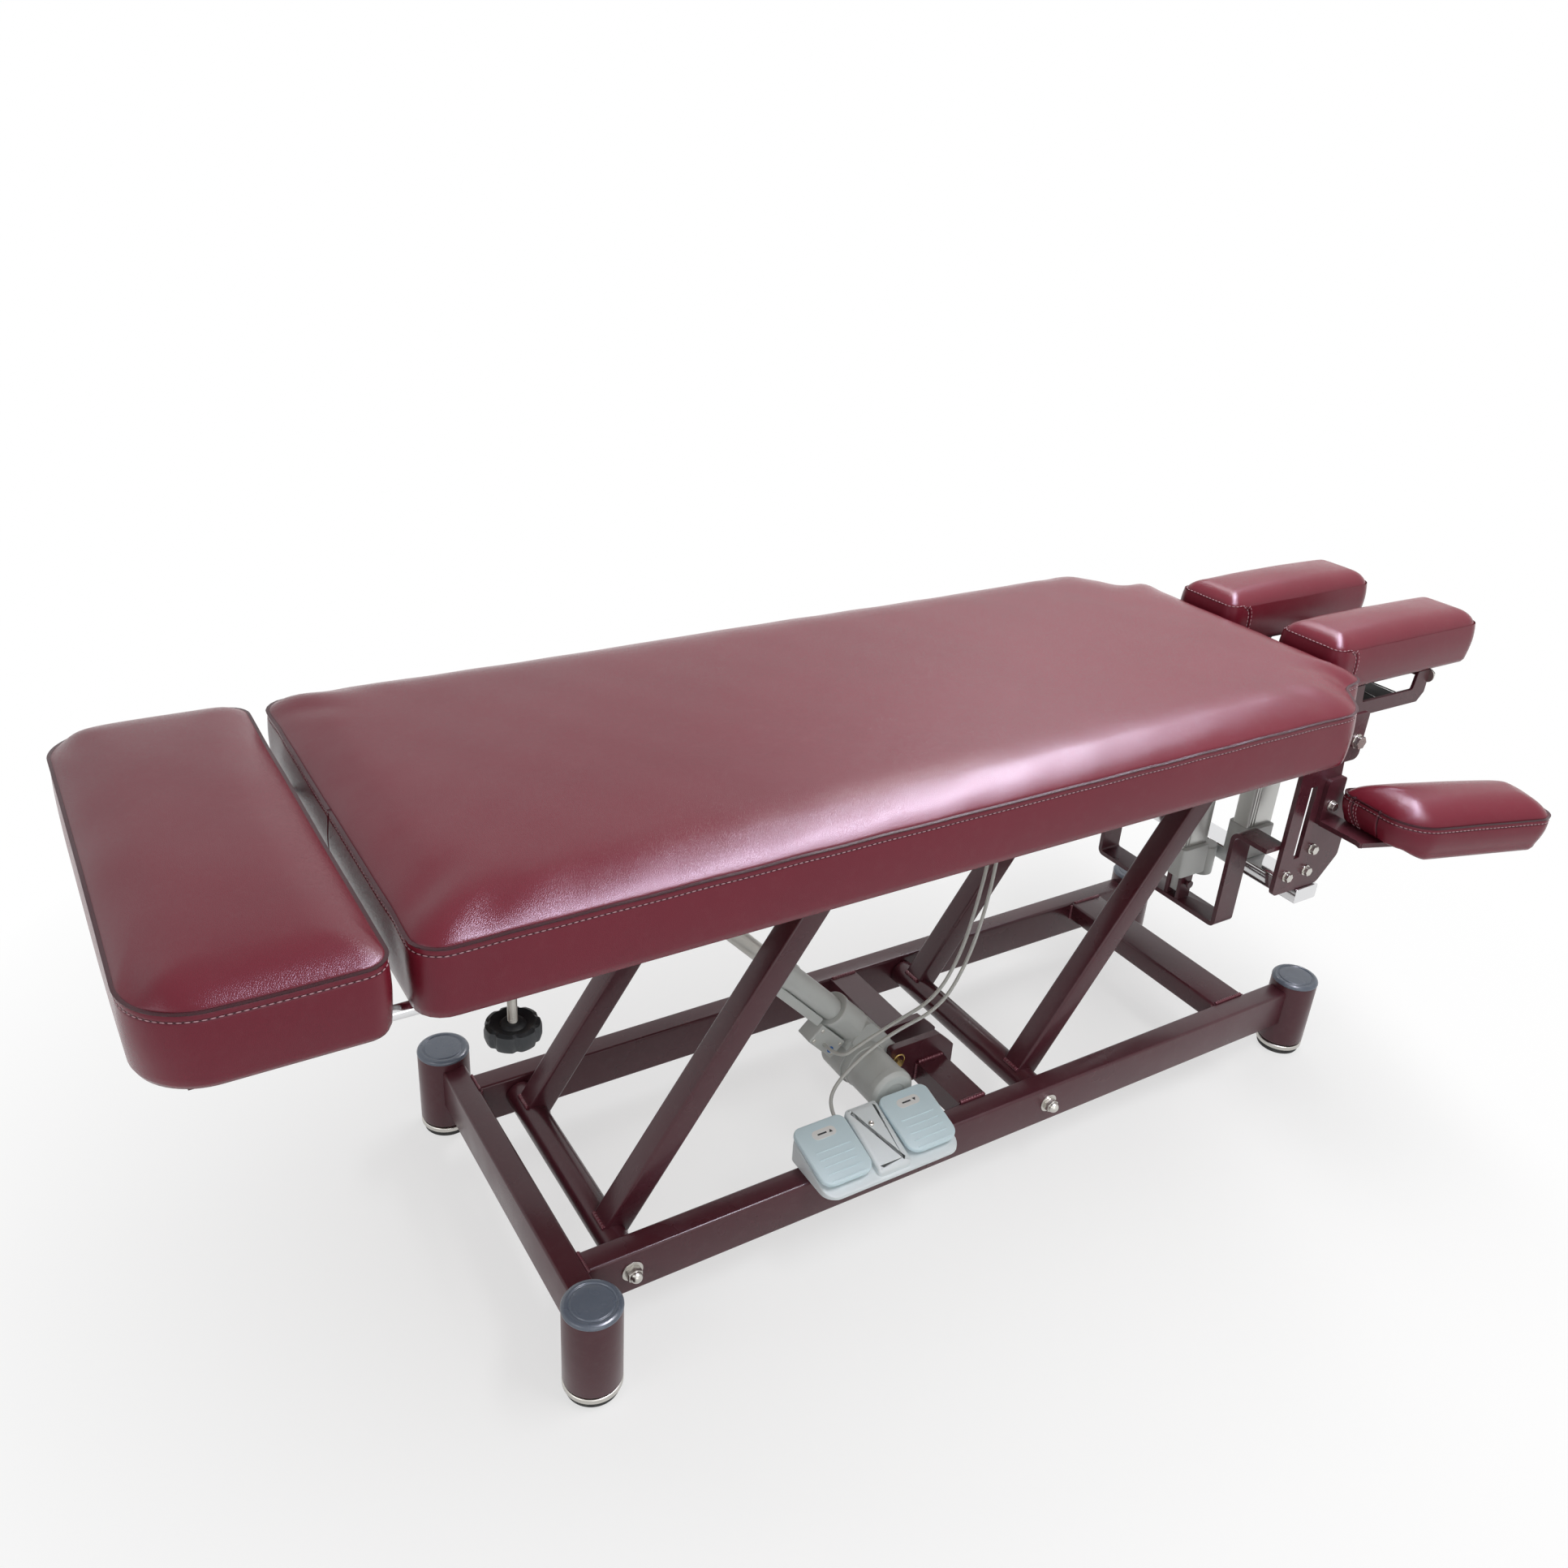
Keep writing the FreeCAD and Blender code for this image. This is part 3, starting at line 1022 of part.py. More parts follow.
def column_profile(x, y, z0, z1, bore_x, bore_y):
    """Extruded outer profile with grooves down its long faces and an open bore."""
    half_x = s.column_x / 2
    half_y = s.column_y / 2
    corners = [Vector(x - half_x, y - half_y, z0), Vector(x + half_x, y - half_y, z0),
               Vector(x + half_x, y + half_y, z0), Vector(x - half_x, y + half_y, z0)]
    profile = slab(corners, [4, 4, 4, 4], Vector(0, 0, z1 - z0))
    for sign in SIDES.values():
        for shift in (-22, -16):
            groove_y = y + sign * half_y
            low, high = sorted((groove_y, groove_y - sign * 1.5))
            profile = profile.cut(box(x + shift - 1.5, x + shift + 1.5, low, high, z0, z1))
    return profile.cut(box(x - bore_x / 2, x + bore_x / 2, y - bore_y / 2, y + bore_y / 2, z0, z1))


def gearbox(x, y, z0, z1):
    half_x = s.column_x / 2
    half_y = s.gearbox_y / 2
    corners = [Vector(x - half_x, y - half_y, z0), Vector(x + half_x, y - half_y, z0),
               Vector(x + half_x, y + half_y, z0), Vector(x - half_x, y + half_y, z0)]
    solid = slab(corners, [6, 6, 6, 6], Vector(0, 0, z1 - z0))
    return fillet_where(solid, 3, at_height(z0))


def columns():
    """Tilt column on the strap and height column on the chrome bar."""
    x = s.tilt_column_x
    y = s.tilt_column_y
    rod_bore = 2 * (s.tilt_rod_radius + 1)
    profiles = [shaped("tilt_profile", column_profile(x, y, s.tilt_gearbox_top, s.tilt_profile_top,
                                                      rod_bore, rod_bore))]
    foot = box(x - 9, x + 9, y - 9 + 0.2, y + 9 - 0.2, s.strap_bottom + 10, s.tilt_gearbox_bottom)
    pin_start = Vector(x, y - 22, s.tilt_gearbox_bottom - 18)
    foot_pin = Part.makeCylinder(4, 44, pin_start, Y_AXIS)
    tilt_box = gearbox(x, y, s.tilt_gearbox_bottom, s.tilt_gearbox_top).fuse(foot).removeSplitter()
    half_bore = rod_bore / 2
    tilt_box = tilt_box.cut(box(x - half_bore, x + half_bore, y - half_bore, y + half_bore,
                                s.tilt_gearbox_bottom + 5, s.tilt_gearbox_top))
    boxes = [shaped("tilt_gearbox", tilt_box.cut(foot_pin))]
    pin_head = Part.makeCylinder(7, 3, pin_start, Vector(0, -1, 0))
    pieces = [shaped("strap", strap().cut(foot_pin)), shaped("strap_pin", foot_pin.fuse(pin_head))]
    publish(gather("column_strap", pieces), "column_strap")
    start = Vector(x + s.column_x / 2 + s.tilt_motor_radius, y, s.tilt_gearbox_bottom - 14)
    length = "dims.tilt_gearbox_top - dims.tilt_gearbox_bottom"
    publish(cylinder("tilt_motor", "dims.tilt_motor_radius", length, start), "tilt_motor")
    x = s.height_column_x
    y = s.height_column_y
    profiles.append(shaped("height_profile",
                           column_profile(x, y, s.height_gearbox_top, s.height_profile_top,
                                          s.height_inner_x + 2 * s.side_gap,
                                          s.height_inner_y + 2 * s.side_gap)))
    boxes.append(shaped("height_gearbox", gearbox(x, y, s.bar_top, s.height_gearbox_top)))
    publish(gather("column_profiles", profiles), "column_profiles")
    publish(gather("column_gearboxes", boxes), "column_gearboxes")
    low = s.height_gearbox_top + 55
    inner = block("height_inner_profile", "dims.height_inner_x", "dims.height_inner_y",
                  "dims.carriage_cross_bottom - dims.height_gearbox_top - 55",
                  Vector(x - s.height_inner_x / 2, y - s.height_inner_y / 2, low))
    publish(inner, "height_inner_profile")
    lever_end = Vector(s.head_pivot_x - s.lever_reach, s.tilt_column_y, s.head_pivot_height)
    rod = Part.makeCylinder(s.tilt_rod_radius, lever_end.z - 18 - s.tilt_rod_start,
                            Vector(s.tilt_column_x, s.tilt_column_y, s.tilt_rod_start))
    eye_half = s.lever_gap / 2 - 0.5
    eye = box(s.tilt_column_x - 9, s.tilt_column_x + 9, s.tilt_column_y - eye_half,
              s.tilt_column_y + eye_half, lever_end.z - 19, lever_end.z + 8)
    pin_half = s.lever_gap / 2 + s.lever_thickness + 3
    pin = Part.makeCylinder(s.tilt_pin_radius, 2 * pin_half,
                            Vector(lever_end.x, s.tilt_column_y - pin_half, lever_end.z), Y_AXIS)
    feature("tilt_rod", rod.fuse([eye, pin]).removeSplitter())


def carriage():
    """Two cheeks and a cross bar on the height column: they carry the head pivot."""
    cheeks = []
    low_z = s.head_pivot_height - 34
    for sign in SIDES.values():
        y_low = min(sign * s.cheek_inner, sign * (s.cheek_inner + s.cheek_thickness))
        foot_edge = s.head_pivot_x - 80
        outline = [(foot_edge, low_z), (s.head_pivot_x + 16, low_z),
                   (s.head_pivot_x + 16, s.carriage_cross_bottom + s.carriage_cross_height),
                   (foot_edge, s.carriage_cross_bottom + s.carriage_cross_height)]
        cheek = plate_xz(outline, [6, 12, 6, 6], y_low, s.cheek_thickness)
        hole = Part.makeCylinder(s.axle_radius, s.cheek_thickness,
                                 Vector(s.head_pivot_x, y_low, s.head_pivot_height), Y_AXIS)
        cheeks.append(cheek.cut(hole))
    cheeks = shaped("carriage_cheeks", Part.makeCompound(cheeks))
    tube = box_tube("carriage_tube",
                    along(Y_AXIS, Vector(s.height_column_x + 2, -s.cheek_inner,
                                         s.carriage_cross_bottom + s.carriage_cross_height / 2)),
                    "dims.carriage_cross_width", "dims.carriage_cross_height", "dims.base_wall",
                    "2 * dims.cheek_inner")
    publish(gather("head_carriage", [cheeks, tube]), "head_carriage")
    outer = s.cheek_inner + s.cheek_thickness
    bolt = Part.makeCylinder(s.axle_radius, 2 * outer,
                             Vector(s.head_pivot_x, -outer, s.head_pivot_height), Y_AXIS)
    heads = [hex_bolt(19, 8, 12, along(Y_AXIS * sign,
                                       Vector(s.head_pivot_x, sign * outer, s.head_pivot_height)))
             for sign in SIDES.values()]
    feature("head_pivot_bolt", bolt.fuse(heads).removeSplitter())


def head_section():
    """Tilting frame: pivot tube, lever for the tilt rod, side plates, cross plates and boards."""
    pivot = Vector(s.head_pivot_x, 0, s.head_pivot_height)
    half = s.cheek_inner - s.side_gap
    start = Vector(pivot.x, -half, pivot.z)
    length = "2 * (dims.cheek_inner - dims.side_gap)"
    outside = cylinder("head_tube_outside", "dims.head_tube_radius", length, start, Y_AXIS)
    inside = cylinder("head_tube_inside", "dims.axle_radius + dims.running_gap", length, start, Y_AXIS)
    publish(cut("head_pivot_tube", outside, [inside]), "head_pivot_tube")
    tube_solid = Part.makeCylinder(s.head_tube_radius, 2 * half, start, Y_AXIS)
    end = pivot - Vector(s.lever_reach, 0, 0)
    levers = []
    for y_low in (s.tilt_column_y - s.lever_gap / 2 - s.lever_thickness, s.tilt_column_y + s.lever_gap / 2):
        shift = Vector(s.lever_slot, 0, 0)
        lever = tapered_link(pivot, 13, end - shift, s.lever_radius, y_low, s.lever_thickness)
        slot = tapered_link(end - shift, s.tilt_pin_radius + 0.5, end + shift,
                            s.tilt_pin_radius + 0.49, y_low, s.lever_thickness)
        levers.append(lever.cut(slot).cut(tube_solid))
    feature("tilt_levers", Part.makeCompound(levers))
    plates = []
    for sign in SIDES.values():
        y_low = min(sign * s.head_side_y, sign * (s.head_side_y + 6))
        outline = [(pivot.x - 12, pivot.z), (pivot.x + 20, pivot.z - 10), (pivot.x + 46, s.head_band_bottom),
                   (s.head_side_end - 14, s.head_band_bottom), (s.head_side_end, s.head_band_bottom + 16),
                   (s.head_side_end, s.head_board_bottom), (s.head_side_end - 30, s.head_board_bottom),
                   (s.head_side_end - 34, s.head_band_top), (pivot.x + 50, s.head_band_top),
                   (pivot.x + 46, s.head_board_bottom), (pivot.x + 6, s.head_board_bottom)]
        plate = plate_xz(outline, [6, 6, 10, 4, 4, 3, 3, 3, 3, 3, 3], y_low, 6)
        plates.append(plate.cut(tube_solid))
    frame = [shaped("head_side_plates", Part.makeCompound(plates))]
    for name, x in (("inner", pivot.x + 8), ("outer", s.head_side_end - s.head_cross_plate - 2)):
        frame.append(block("head_cross_" + name, "dims.head_cross_plate", "2 * dims.head_side_y",
                           "dims.head_plate_thickness",
                           Vector(x, -s.head_side_y, s.head_board_bottom - s.head_plate_thickness)))
    publish(gather("head_frame", frame), "head_frame")
    boards = []
    for side, sign in SIDES.items():
        low = min(sign * (s.head_cushion_inner + s.head_board_inset),
                  sign * (s.head_cushion_outer - s.head_board_inset))
        boards.append(block("head_board_" + side,
                            "dims.head_cushion_end - dims.head_cushion_start - 2 * dims.head_board_inset",
                            "dims.head_cushion_outer - dims.head_cushion_inner - 2 * dims.head_board_inset",
                            "dims.board_thickness",
                            Vector(s.head_cushion_start + s.head_board_inset, low, s.head_board_bottom)))
    publish(gather("head_boards", boards), "head_boards")
    base = s.head_board_bottom + s.board_thickness + s.seat_clearance
    pads = []
    for side, sign in SIDES.items():
        low, high = sorted((sign * s.head_cushion_inner, sign * s.head_cushion_outer))
        corners = [Vector(s.head_cushion_start, low, base), Vector(s.head_cushion_end, low, base),
                   Vector(s.head_cushion_end, high, base), Vector(s.head_cushion_start, high, base)]
        pad_solid = cushion_solid(corners, [24, 24, 24, 24], s.head_cushion_top, s.head_cushion_round)
        pads.append(shaped("head_cushion_" + side, pad_solid))
    publish(gather("head_cushions", pads), "head_cushions")
    feature("head_lock_nut", acorn_nut(15, Placement()),
            along(X_AXIS, Vector(s.head_side_end, -s.head_side_y - 3, s.head_board_bottom - 12)))


# Armrests

def armrest_points(sign, z):
    """Plan of the armrest pad: inner end square to the table, pad splayed outwards."""
    turn = math.radians(s.armrest_splay)
    heading = Vector(math.cos(turn), sign * math.sin(turn), 0)
    across = Vector(-math.sin(turn), sign * math.cos(turn), 0)
    inner = Vector(s.armrest_pivot_x + 13.5, sign * s.armrest_inner_y, z)
    far_inner = inner + heading * s.armrest_length
    far_outer = far_inner + across * (s.armrest_width * 0.86)
    outer = Vector(inner.x - 2, sign * (s.armrest_inner_y + s.armrest_width * 1.06), z)
    return [inner, far_inner, far_outer, outer]


def armrests(plate_bolts):
    """Splayed pads on bent flat bar, each hinged on one bolt beside the side plate."""
    under = s.armrest_top - s.armrest_thickness
    bolts = [plate_bolts]
    for side, sign in SIDES.items():
        points = armrest_points(sign, under + s.seat_clearance)
        cushion("armrest_pad_" + side, points, [14, 40, 40, 45], s.armrest_top, 12)
        plate_low, plate_high = sorted((sign * (s.top_rail_outer + s.plate_thickness + s.side_gap),
                                        sign * (s.armrest_inner_y - 1)))
        bar_x0 = s.armrest_pivot_x - 18
        bar_x1 = s.armrest_pivot_x + 24
        ear_top = s.armrest_pivot_height + 46
        ear = plate_xz([(bar_x0, under - s.armrest_bar), (bar_x1, under - s.armrest_bar), (bar_x1, ear_top),
                        (bar_x0, ear_top)], [2, 2, 6, 12], plate_low, plate_high - plate_low)
        outer_end = sign * (s.armrest_inner_y + s.armrest_width * 0.62)
        low, high = sorted((sign * (s.armrest_inner_y - 1), outer_end))
        across_bar = box(bar_x0, bar_x1, low, high, under - s.armrest_bar, under)
        turn = math.radians(s.armrest_splay)
        heading = Vector(math.cos(turn), sign * math.sin(turn), 0)
        side_step = Vector(-math.sin(turn), sign * math.cos(turn), 0)
        corner = Vector(bar_x1 - 30, sign * (s.armrest_inner_y + s.armrest_width * 0.28),
                        under - s.armrest_bar)
        run = [corner, corner + heading * (s.armrest_length * 0.78),
               corner + heading * (s.armrest_length * 0.78) + side_step * 44, corner + side_step * 44]
        long_bar = slab(run, [0, 6, 6, 0], Vector(0, 0, s.armrest_bar))
        pivot_bore = Part.makeCylinder(5 + s.running_gap, plate_high - plate_low,
                                       Vector(s.armrest_pivot_x, plate_low, s.armrest_pivot_height), Y_AXIS)
        support = ear.fuse([across_bar, long_bar]).cut(pivot_bore).removeSplitter()
        feature("armrest_support_" + side, support)
        outer = s.top_rail_outer + s.plate_thickness
        shank_start = Vector(s.armrest_pivot_x, sign * outer, s.armrest_pivot_height)
        shank_length = s.armrest_inner_y - 1 - outer + 0.4
        shank = Part.makeCylinder(5, shank_length, shank_start, Y_AXIS * sign)
        head = hex_bolt(13, 7, 9, along(Y_AXIS * sign, shank_start + Y_AXIS * (sign * shank_length)))
        bolts.append(shaped("armrest_bolt_" + side, shank.fuse(head).removeSplitter()))
    publish(gather("side_plate_bolts", bolts), "side_plate_bolts")


# Foot switch

def foot_switch():
    floor = s.base_rail_top
    x0 = s.switch_x - s.switch_width / 2
    wedge_corners = [Vector(x0, s.switch_back_y, floor), Vector(x0, s.switch_front_y, floor),
                     Vector(x0, s.switch_front_y, floor + 3),
                     Vector(x0, s.switch_back_y, floor + s.switch_back_height)]
    wedge = Part.Face(Part.makePolygon(wedge_corners + wedge_corners[:1])).extrude(
        Vector(s.switch_width, 0, 0))
    plan = [Vector(x0, s.switch_front_y, floor), Vector(x0 + s.switch_width, s.switch_front_y, floor),
            Vector(x0 + s.switch_width, s.switch_back_y, floor), Vector(x0, s.switch_back_y, floor)]
    wedge = wedge.common(slab(plan, [22, 22, 12, 12], Vector(0, 0, 80)))
    half = s.ridge_width / 2
    ridge_corners = [Vector(s.switch_x - half, s.switch_back_y, floor + 2),
                     Vector(s.switch_x - half, s.switch_front_y + 6, floor + 2),
                     Vector(s.switch_x - half, s.switch_front_y + 6, floor + 14),
                     Vector(s.switch_x - half, s.switch_back_y, floor + s.pedal_rise - 4)]
    ridge = Part.Face(Part.makePolygon(ridge_corners + ridge_corners[:1])).extrude(
        Vector(s.ridge_width, 0, 0))
    shelf_top = floor + s.pedal_rise - s.pedal_thickness - 2 - s.side_gap
    shelf = box(x0 + 12, x0 + s.switch_width - 12, s.switch_back_y - 5, s.switch_back_y,
                floor + 10, shelf_top)
    feature("foot_switch_base", wedge.fuse([ridge, shelf]).removeSplitter())
    front = s.switch_front_y + 9
    slope = Vector(0, front - s.switch_back_y, s.pedal_fall - s.pedal_rise)
    normal = Vector(0, slope.z, -slope.y).normalize()
    for name, shift in (("up", -1), ("down", 1)):
        centre = s.switch_x + shift * (s.switch_width / 2 - s.pedal_width / 2)
        left = centre - s.pedal_width / 2
        right = centre + s.pedal_width / 2
        back = Vector(0, s.switch_back_y, floor + s.pedal_rise)
        corners = [Vector(left, 0, 0) + back, Vector(right, 0, 0) + back,
                   Vector(right, 0, 0) + back + slope, Vector(left, 0, 0) + back + slope]
        pedal = slab(corners, [12, 12, 18, 18], normal * -s.pedal_thickness)
        barrel = Part.makeCylinder(s.pedal_thickness / 2 - s.side_gap, s.pedal_width - 28,
                                   corners[0] + Vector(14, 0, 0) - normal * (s.pedal_thickness / 2), X_AXIS)
        feature("pedal_" + name, pedal.fuse(barrel))


def leads():
    """Lead of the foot switch and lead of the lift drive, both up to the control box."""
    box_x = s.control_x - s.seat_clearance
    box_z = rail_bottom - s.control_depth / 2
    start = Vector(s.switch_x - 28, s.switch_back_y + s.seat_clearance, s.base_rail_top + 20)
    cord("foot_switch_lead",
         [start, start + Vector(0, 22, 0), Vector(-160, -112, 176), Vector(-116, -112, 218),
          Vector(-52, -104, 238), Vector(36, -102, 252), Vector(80, -98, 318), Vector(104, -94, 400),
          Vector(122, -84, 480), Vector(136, -68, 545), Vector(box_x - 37, -56, box_z),
          Vector(box_x, -56, box_z)], s.lead_radius)
    plug = drive_place.multVec(Vector(140, s.drive_y - 17 - s.seat_clearance, 46))
    cord("lift_lead",
         [plug, plug + Vector(0, -40, 0), Vector(-102, -100, 234), Vector(-40, -92, 244),
          Vector(34, -90, 262), Vector(73, -88, 324), Vector(97, -82, 402), Vector(118, -72, 482),
          Vector(136, -56, 552), Vector(box_x - 37, -46, box_z + 10), Vector(box_x, -46, box_z + 10)],
         s.lead_radius)


def main():
    base_rails()
    base_cross_tubes()
    posts()
    drive_mount()
    axle_set("lower_axle_bolts", s.base_rail_outer, "2 * dims.base_rail_outer", s.axle_height,
             (s.foot_axle_x, head_axle_x), 19)
    thrust_washers("lower_washers", rail_inner, s.axle_height, (s.foot_axle_x, head_axle_x))
    foot_switch()
    arm_pair("foot", s.foot_axle_x)
    foot_arm_cross()
    arm_pair("head", head_axle_x)
    lift_drive()
    top_frame()
    axle_set("upper_axle_bolts", lug_outer, "2 * (dims.top_rail_outer - dims.top_rail_width)",
             upper_height, (foot_upper_x, head_upper_x), 15)
    main_section()
    leg_section()
    clamp_knob()
    side_plates()
    carriage_glides()
    plate_bolts = cross_bar()
    columns()
    carriage()
    head_section()
    armrests(plate_bolts)
    leads()
    DOCUMENT.recompute()
    for obj in DOCUMENT.Objects:
        if "Invalid" in obj.State or "Error" in obj.State:
            raise RuntimeError(f"{obj.Label} is {obj.State}")
    os.makedirs("parts", exist_ok=True)
    total = 0
    faulty = [node.Label for node in NODES
              if node.Shape.isNull() or not node.Shape.isValid() or not node.Shape.Solids]
    if faulty:
        raise RuntimeError("no valid solid: " + ", ".join(faulty))
    for node in NODES:
        node.Shape.exportStep(f"parts/{node.Label}.step")
        total += len(node.Shape.Solids)
    print(len(NODES), "nodes,", total, "solids")


main()
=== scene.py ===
import json
import math

import bmesh
import bpy
import numpy as np
from mathutils import Matrix, Vector


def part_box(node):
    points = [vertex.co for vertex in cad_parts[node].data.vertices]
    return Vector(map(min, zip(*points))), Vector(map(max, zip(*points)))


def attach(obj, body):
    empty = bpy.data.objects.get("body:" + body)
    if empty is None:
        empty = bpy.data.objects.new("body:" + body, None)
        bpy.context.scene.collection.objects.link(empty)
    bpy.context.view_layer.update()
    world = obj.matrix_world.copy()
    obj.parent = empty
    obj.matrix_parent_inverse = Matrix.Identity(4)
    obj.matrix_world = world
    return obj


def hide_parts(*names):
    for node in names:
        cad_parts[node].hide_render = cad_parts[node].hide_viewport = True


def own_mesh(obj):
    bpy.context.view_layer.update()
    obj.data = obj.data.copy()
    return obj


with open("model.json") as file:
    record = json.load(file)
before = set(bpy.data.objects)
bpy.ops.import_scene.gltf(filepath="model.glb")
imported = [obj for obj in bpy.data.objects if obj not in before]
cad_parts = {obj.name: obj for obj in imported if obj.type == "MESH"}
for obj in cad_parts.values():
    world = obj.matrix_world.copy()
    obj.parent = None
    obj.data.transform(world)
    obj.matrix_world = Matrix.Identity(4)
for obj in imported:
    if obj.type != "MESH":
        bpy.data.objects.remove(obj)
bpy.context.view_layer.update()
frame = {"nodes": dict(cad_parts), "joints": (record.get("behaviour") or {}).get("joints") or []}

bl_info = {
    "name": "Treatment table",
    "version": (1, 0, 0),
    "blender": (4, 5, 0),
    "location": "3D View > Sidebar > Table",
    "description": "Height-adjustable treatment table with a split head section",
    "category": "Object",
}

X = np.array([1.0, 0.0, 0.0])
Y = np.array([0.0, 1.0, 0.0])
Z = np.array([0.0, 0.0, 1.0])
SIDES = (("near", -1.0), ("far", 1.0))
SIGNS = (-1.0, 1.0)


def node_box(node):
    """Lowest and highest corner of a CAD node, as arrays."""
    low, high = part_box(node)
    return np.array(low), np.array(high)


# Sizes and colours that can be changed

def length(name, description, default):
    return bpy.props.FloatProperty(name=name, description=description, default=default, unit="LENGTH",
                                   precision=4, min=0.0)


def colour(name, description, default):
    return bpy.props.FloatVectorProperty(name=name, description=description, default=default, size=3,
                                         subtype="COLOR", min=0.0, max=1.0)


class TableSizes(bpy.types.PropertyGroup):
    tube_corner: length("Tube corner", "Outside corner radius of the square tubes", 0.0045)
    cut_edge: length("Cut edge", "Rounding of sawn and laser-cut edges", 0.0008)
    seam_drop: length("Seam below crown", "Height of the cushion crown over its sewn seam", 0.021)
    roll_width: length("Edge roll", "How far the cushion top rolls over before it runs flat", 0.060)
    seam_depth: length("Seam depth", "How deep a sewn seam pulls in", 0.0024)
    stitch_length: length("Stitch", "Length of one stitch", 0.0050)
    stitch_pitch: length("Stitch pitch", "Distance from stitch to stitch", 0.0068)
    thread: length("Thread", "Thickness of the topstitching", 0.0012)
    weld_width: length("Weld", "Width of the weld beads", 0.0056)
    lead_diameter: length("Lead", "Diameter of the light grey leads", 0.0055)


class TableColours(bpy.types.PropertyGroup):
    upholstery: colour("Upholstery", "Burgundy vinyl", (0.185, 0.0150, 0.0290))
    paint: colour("Frame paint", "Dark maroon powder coat", (0.086, 0.0175, 0.0270))
    thread: colour("Thread", "Stitching", (0.62, 0.36, 0.40))
    drive: colour("Drive", "Housings of the lift drive and columns", (0.600, 0.620, 0.600))
    pedal: colour("Pedal", "Pedals of the foot switch", (0.700, 0.860, 0.920))
    switch: colour("Switch base", "Base of the foot switch", (0.780, 0.840, 0.860))
    black: colour("Black plastic", "Knob and glides", (0.0180, 0.0215, 0.0260))
    cap: colour("Post cap", "Blue-black caps of the posts", (0.150, 0.180, 0.235))


def sizes():
    return bpy.context.scene.table_sizes


def colours():
    return bpy.context.scene.table_colours


# Surfaces as arrays: every function returns (vertices, faces)

def quads(rows, columns):
    """Quad indices of a grid whose columns close on themselves."""
    r = np.arange(rows - 1)[:, None]
    c = np.arange(columns)[None, :]
    below = r * columns
    above = below + columns
    right = (c + 1) % columns
    return np.stack([below + c, below + right, above + right, above + c], -1).reshape(-1, 4)


def zipped(columns, shift):
    """Faces that close a loop by joining its two sides, column k to column -k."""
    k = np.arange((columns - 1) // 2 + 1)
    strip = np.stack([k, k + 1, columns - k - 1, (columns - k) % columns], -1)
    return [[i + shift for i in dict.fromkeys(face)] for face in strip.tolist() if len(set(face)) > 2]


def skin(grid, zip_ends=False):
    """Grid of loops (rows, columns, 3) to a surface; its ends are closed flat, or zipped across."""
    rows, columns = grid.shape[:2]
    faces = quads(rows, columns).tolist()
    if zip_ends:
        faces.extend(face[::-1] for face in zipped(columns, 0))
        faces.extend(zipped(columns, (rows - 1) * columns))
    else:
        faces.append(list(range(columns))[::-1])
        faces.append(list(range((rows - 1) * columns, rows * columns)))
    return grid.reshape(-1, 3), faces


def together(parts):
    """Several surfaces as one."""
    vertices, faces, shift = [], [], 0
    for v, f in parts:
        vertices.append(v)
        faces.extend([[i + shift for i in face] for face in f])
        shift += len(v)
    return np.concatenate(vertices), faces


def placed(part, origin, x_axis, y_axis, z_axis):
    """Local coordinates times the three axes, plus the origin."""
    v, f = part
    basis = np.stack([x_axis, y_axis, z_axis])
    return v @ basis + np.asarray(origin), f


def mirrored(part):
    """Reflection in the plane Y = 0, faces turned to stay outward."""
    v, f = part
    return v * np.array([1.0, -1.0, 1.0]), [face[::-1] for face in f]


def unit(v):
    v = np.asarray(v, float)
    return v / np.linalg.norm(v, axis=-1, keepdims=True)


def rounded_rectangle(width, height, radius, steps=5):
    """Four quarter circles of the given radius about the inner corners, anticlockwise."""
    radius = max(radius, 1e-5)
    corner = np.repeat(np.array([[1, 1], [-1, 1], [-1, -1], [1, -1]], float), steps, 0)
    angle = np.repeat(np.arange(4) * math.pi / 2, steps) + np.tile(np.linspace(0, math.pi / 2, steps), 4)
    centre = corner * np.array([width / 2 - radius, height / 2 - radius])
    return centre + radius * np.stack([np.cos(angle), np.sin(angle)], -1)


def edge_rows(edge, depth, steps=3):
    """Insets and depths of a quarter round at both ends of a body of the given depth."""
    angle = np.linspace(0, math.pi / 2, steps + 1)
    inset = edge * (1 - np.sin(angle))
    rise = edge * (1 - np.cos(angle))
    return np.concatenate([inset, inset[::-1]]), np.concatenate([rise, depth - rise[::-1]])


def bar(start, end, width, height, corner, edge, side):
    """Rounded rectangle carried from start to end; its ends shrink along a quarter circle."""
    start, end = np.asarray(start, float), np.asarray(end, float)
    run = np.linalg.norm(end - start)
    ahead = (end - start) / run
    side = unit(side)
    up = np.cross(ahead, side)
    inset, rise = edge_rows(edge, run)
    rows = np.stack([rounded_rectangle(width - 2 * d, height - 2 * d, corner - d) for d in inset])
    grid = (start + ahead * rise[:, None, None] + rows[..., :1] * side + rows[..., 1:] * up)
    return skin(grid)


def rectangle(low_x, low_y, high_x, high_y):
    """Corners of an upright rectangle, anticlockwise."""
    return [(low_x, low_y), (high_x, low_y), (high_x, high_y), (low_x, high_y)]


